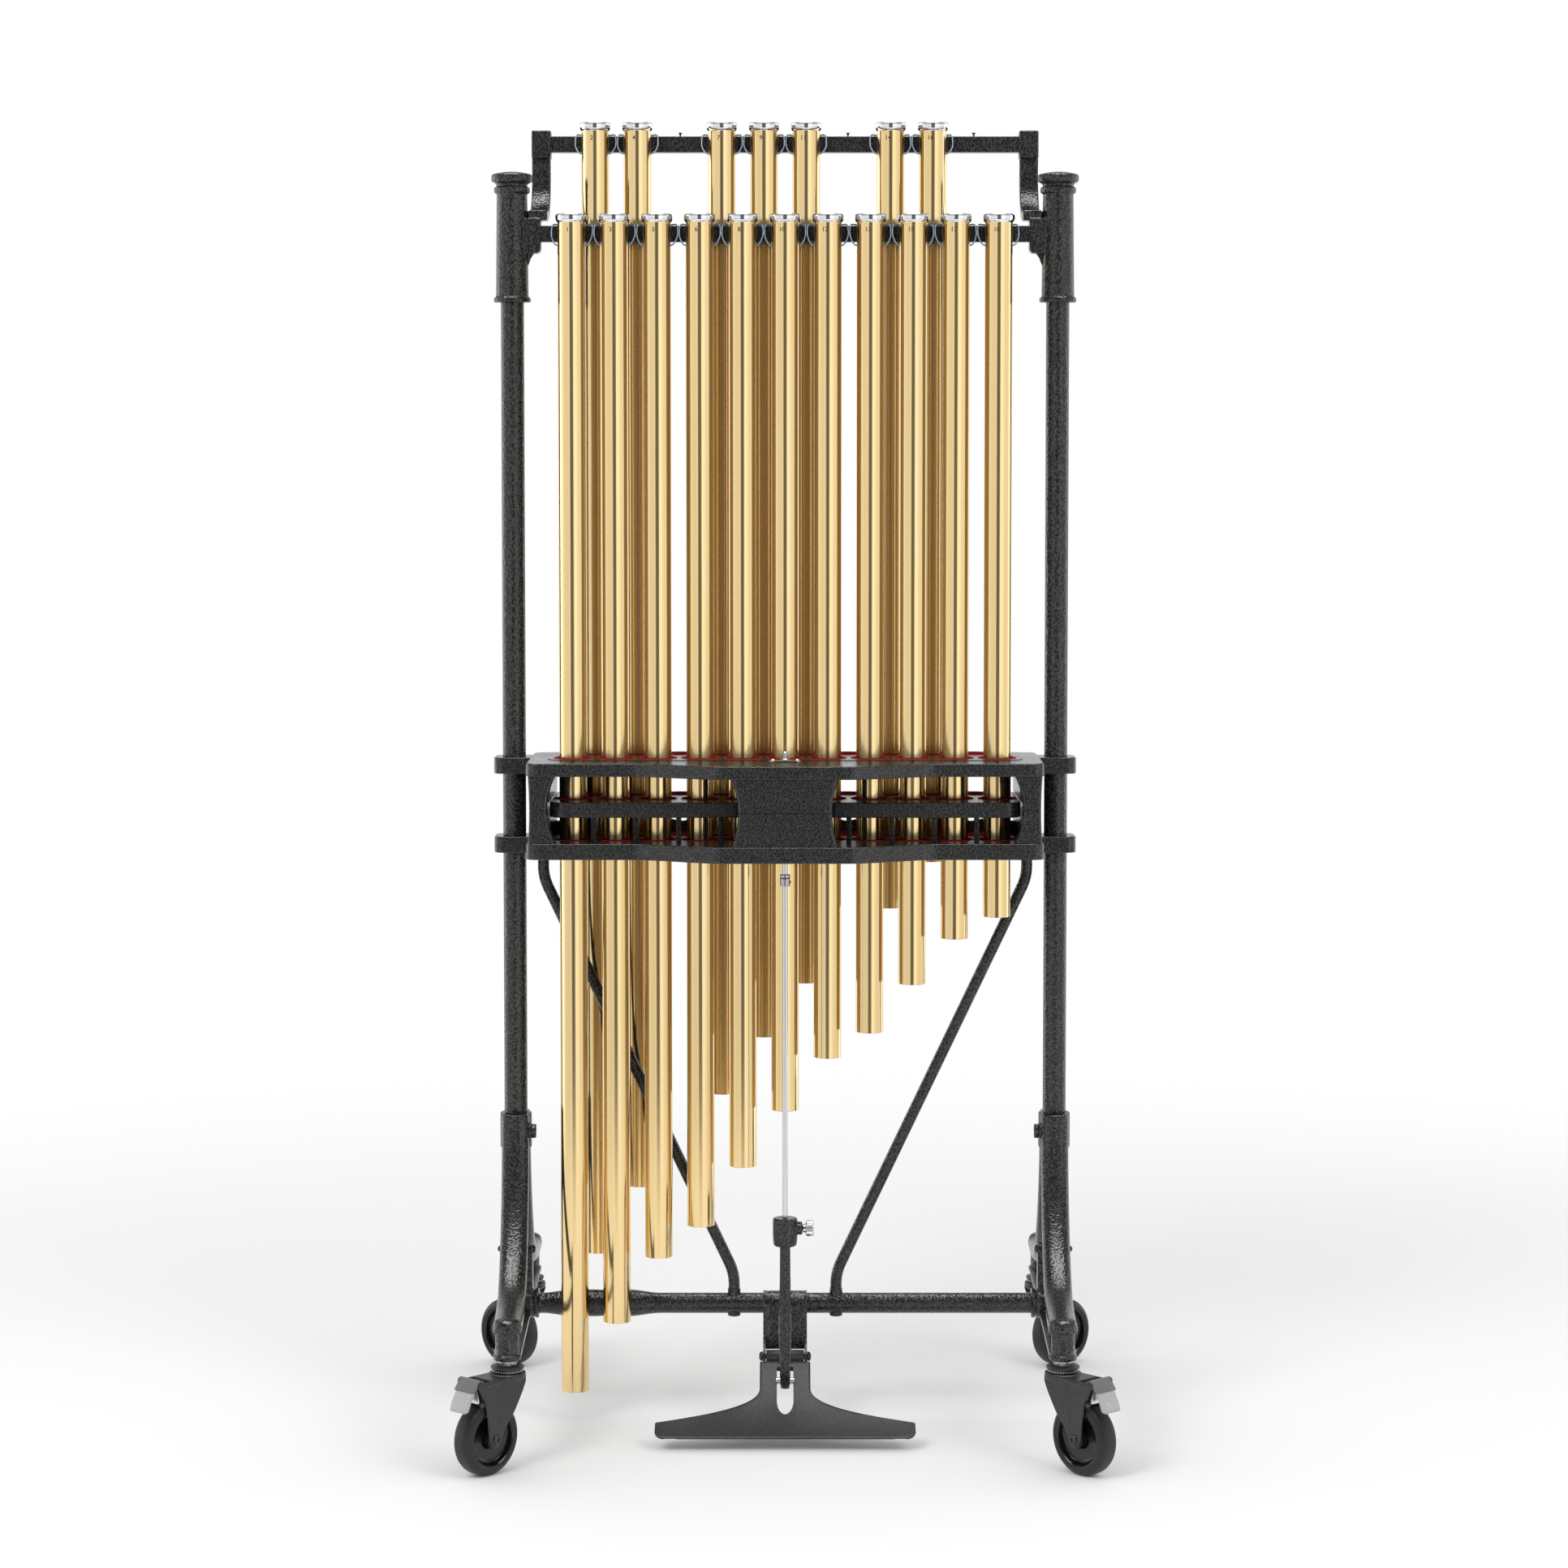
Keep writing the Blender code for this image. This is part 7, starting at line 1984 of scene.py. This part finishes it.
    def brake(self, word: str, frame: Matrix) -> None:
        """The foot brake: a dark upper part, a pale tongue and the steel block that it presses."""
        body = f"brake_{word}"
        upper = [(0.061, 0.1305), (0.0665, 0.1330), (0.0700, 0.1325), (0.0800, 0.1205), (0.0815, 0.1185),
                 (0.0800, 0.1170), (0.0755, 0.1190), (0.0690, 0.1245), (0.0610, 0.1250)]
        dark = Bench.plate(f"caster_brake_{word}_arm", upper, -self.lever_half, self.lever_half, UPRIGHT)
        Bench.bevel(dark, 0.0012, 3, 40.0)
        Bench.place(dark, frame)
        self.fit(dark, LEVER_DARK, body, "lever_grey", [f"caster_brake_{word}"], angle=50.0)
        tongue = [(0.0765, 0.1180), (0.0800, 0.1175), (0.0868, 0.1062), (0.0920, 0.0940), (0.0915, 0.0920),
                  (0.0880, 0.0915), (0.0865, 0.0930), (0.0815, 0.1050), (0.0750, 0.1150)]
        pale = Bench.plate(f"caster_brake_{word}_tongue", tongue, -0.0150, 0.0150, UPRIGHT)
        face = [(-0.015, 0.0914), (0.015, 0.0914), (0.015, 0.125), (-0.015, 0.125)]
        shape = Bench.plate("shape", rounded(face, (0.005, 0.005, 0.001, 0.001)), 0.07, 0.10, SIDEWAYS)
        Bench.combine(pale, [shape], "INTERSECT")
        Bench.bevel(pale, 0.0010, 3, 40.0)
        Bench.place(pale, frame)
        self.fit(pale, LEVER_PALE, body, "lever_grey", angle=50.0)
        steel = Bench.block(f"caster_brake_{word}_block", (0.0570, -0.0115, 0.1000), (0.0660, 0.0115, 0.1200), 0.0008)
        Bench.place(steel, frame)
        self.fit(steel, ZINC, body, "lever_grey", angle=40.0)


@dataclass
class Studio:
    """The floor, the soft light round the object, and the camera."""

    camera_at: Point = (-0.0015, -5.180, 1.341)
    pitch_deg: float = 3.672
    lens: float = 86.21
    shift_y: float = -0.055
    floor_radius: float = 3.2
    ambient: float = 0.86

    def build(self) -> None:
        """Makes the stage."""
        self.floor()
        self.light()
        self.camera()
        bpy.context.scene.view_settings.view_transform = "Standard"

    def floor(self) -> None:
        """A pale disc that fades out at its rim."""
        Bench.pick()
        bpy.ops.mesh.primitive_circle_add(vertices=96, radius=self.floor_radius, fill_type="NGON")
        disc = Bench.named("studio_floor")
        made = bpy.data.materials.new("pale_floor")
        made.use_nodes = True
        recipe = Recipe(made.node_tree)
        far = recipe.node("ShaderNodeVectorMath", {"operation": "LENGTH"}, {0: recipe.place()}, "Value")
        pale = recipe.node("ShaderNodeBsdfPrincipled", {}, {"Base Color": (0.93, 0.93, 0.93, 1.0), "Roughness": 0.9,
                                                           "Specular IOR Level": 0.0})
        clear = recipe.node("ShaderNodeBsdfTransparent")
        fade = far.smooth(self.floor_radius * 0.35, self.floor_radius * 0.97)
        recipe.output(recipe.node("ShaderNodeMixShader", {}, {0: fade, 1: pale, 2: clear}))
        disc.data.materials.append(made)

    def light(self) -> None:
        """A white surround with a dark slot in front, tall soft panels beside it and one overhead."""
        world = bpy.data.worlds.new("soft_surround")
        bpy.context.scene.world = world
        world.use_nodes = True
        recipe = Recipe(world.node_tree)
        here = recipe.node("ShaderNodeTexCoord", output="Generated")
        parts = {axis: recipe.node("ShaderNodeSeparateXYZ", {}, {0: here}, axis) for axis in ("X", "Y", "Z")}
        turn = parts["X"].maths("ARCTAN2", parts["X"], 0.0 - parts["Y"]) / FULL_TURN + 0.5
        full = 4.0
        panels = [
            (-180, 1.0), (-140, 1.0), (-122, 2.8), (-104, 2.2), (-84, 1.18), (-66, 0.92), (-30, 0.88), (-17, 1.05),
            (-12, 0.14), (12, 0.14), (16, 1.35), (34, 1.28), (52, 1.0), (88, 0.96), (104, 1.8), (122, 2.0),
            (140, 1.0), (180, 1.0),
        ]
        stops = [(0.5 + degrees / 360.0, level / full) for degrees, level in panels]
        ramp = recipe.node("ShaderNodeValToRGB", {"stops": stops}, {"Fac": turn}) * full
        rise = parts["Z"]
        upright = 1.0 - rise.maths("ABSOLUTE", rise).smooth(0.45, 0.80)
        falling = (1.0 - rise.smooth(0.04, 0.50) * 0.58) * (1.0 - (0.0 - rise).smooth(0.02, 0.30) * 0.22)
        around = (1.0 + (ramp - 1.0) * upright) * falling
        overhead = rise.smooth(0.88, 0.95) * 8.0
        bounces = recipe.node("ShaderNodeLightPath", output="Ray Depth")
        inside = 1.0 - bounces.maths("GREATER_THAN", bounces, 2.5) * 0.62
        path = {name: recipe.node("ShaderNodeLightPath", output=f"Is {name} Ray") for name in
                ("Camera", "Glossy", "Transmission")}
        seen = path["Camera"].maths("MAXIMUM", path["Camera"], path["Transmission"])
        glossy = path["Glossy"] * (around + overhead) * inside
        rest = (1.0 - seen.maths("MAXIMUM", seen, path["Glossy"])) * self.ambient
        recipe.output(
            recipe.node("ShaderNodeBackground", {}, {"Color": (1.0, 1.0, 1.0, 1.0), "Strength": seen + glossy + rest}),
            "ShaderNodeOutputWorld",
        )
        for name, place, energy, size in (
            ("key_panel", (-2.2, -3.0, 3.4), 60.0, 1.6),
            ("fill_panel", (2.4, -2.6, 2.6), 30.0, 1.6),
        ):
            lamp = bpy.data.lights.new(name, "AREA")
            lamp.energy = energy
            lamp.size = size
            panel = bpy.data.objects.new(name, lamp)
            bpy.context.scene.collection.objects.link(panel)
            aim = (Vector((0.0, 0.0, 0.9)) - Vector(place)).to_track_quat("-Z", "Y")
            panel.matrix_world = Matrix.Translation(place) @ aim.to_matrix().to_4x4()
            panel.visible_glossy = False

    def camera(self) -> None:
        """The camera at the photograph's place."""
        data = bpy.data.cameras.new("view")
        data.lens = self.lens
        data.sensor_width = 36.0
        data.shift_y = self.shift_y
        data.clip_end = 60.0
        obj = bpy.data.objects.new("view", data)
        bpy.context.scene.collection.objects.link(obj)
        turn = Matrix.Rotation(math.radians(90 - self.pitch_deg), 4, "X")
        obj.matrix_world = Matrix.Translation(self.camera_at) @ turn
        bpy.context.scene.camera = obj


def main() -> None:
    """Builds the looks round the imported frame, group by group."""
    logging.basicConfig(level=logging.INFO, format="%(message)s", stream=sys.stdout)
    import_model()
    low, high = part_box("post_left")
    shift = (low.y + high.y) / 2
    Studio().build()
    groups = [Tubes(shift), Rails(shift), DamperBox(shift), Grid(shift), PullRod(shift), Link(shift),
              PedalSet(shift), Posts(shift), Legs(shift), Bars(shift), Casters(shift)]
    for group in groups:
        group.build()
        LOG.info("%s: %d pieces", type(group).__name__, group.count)


if __name__ == "__main__":
    main()
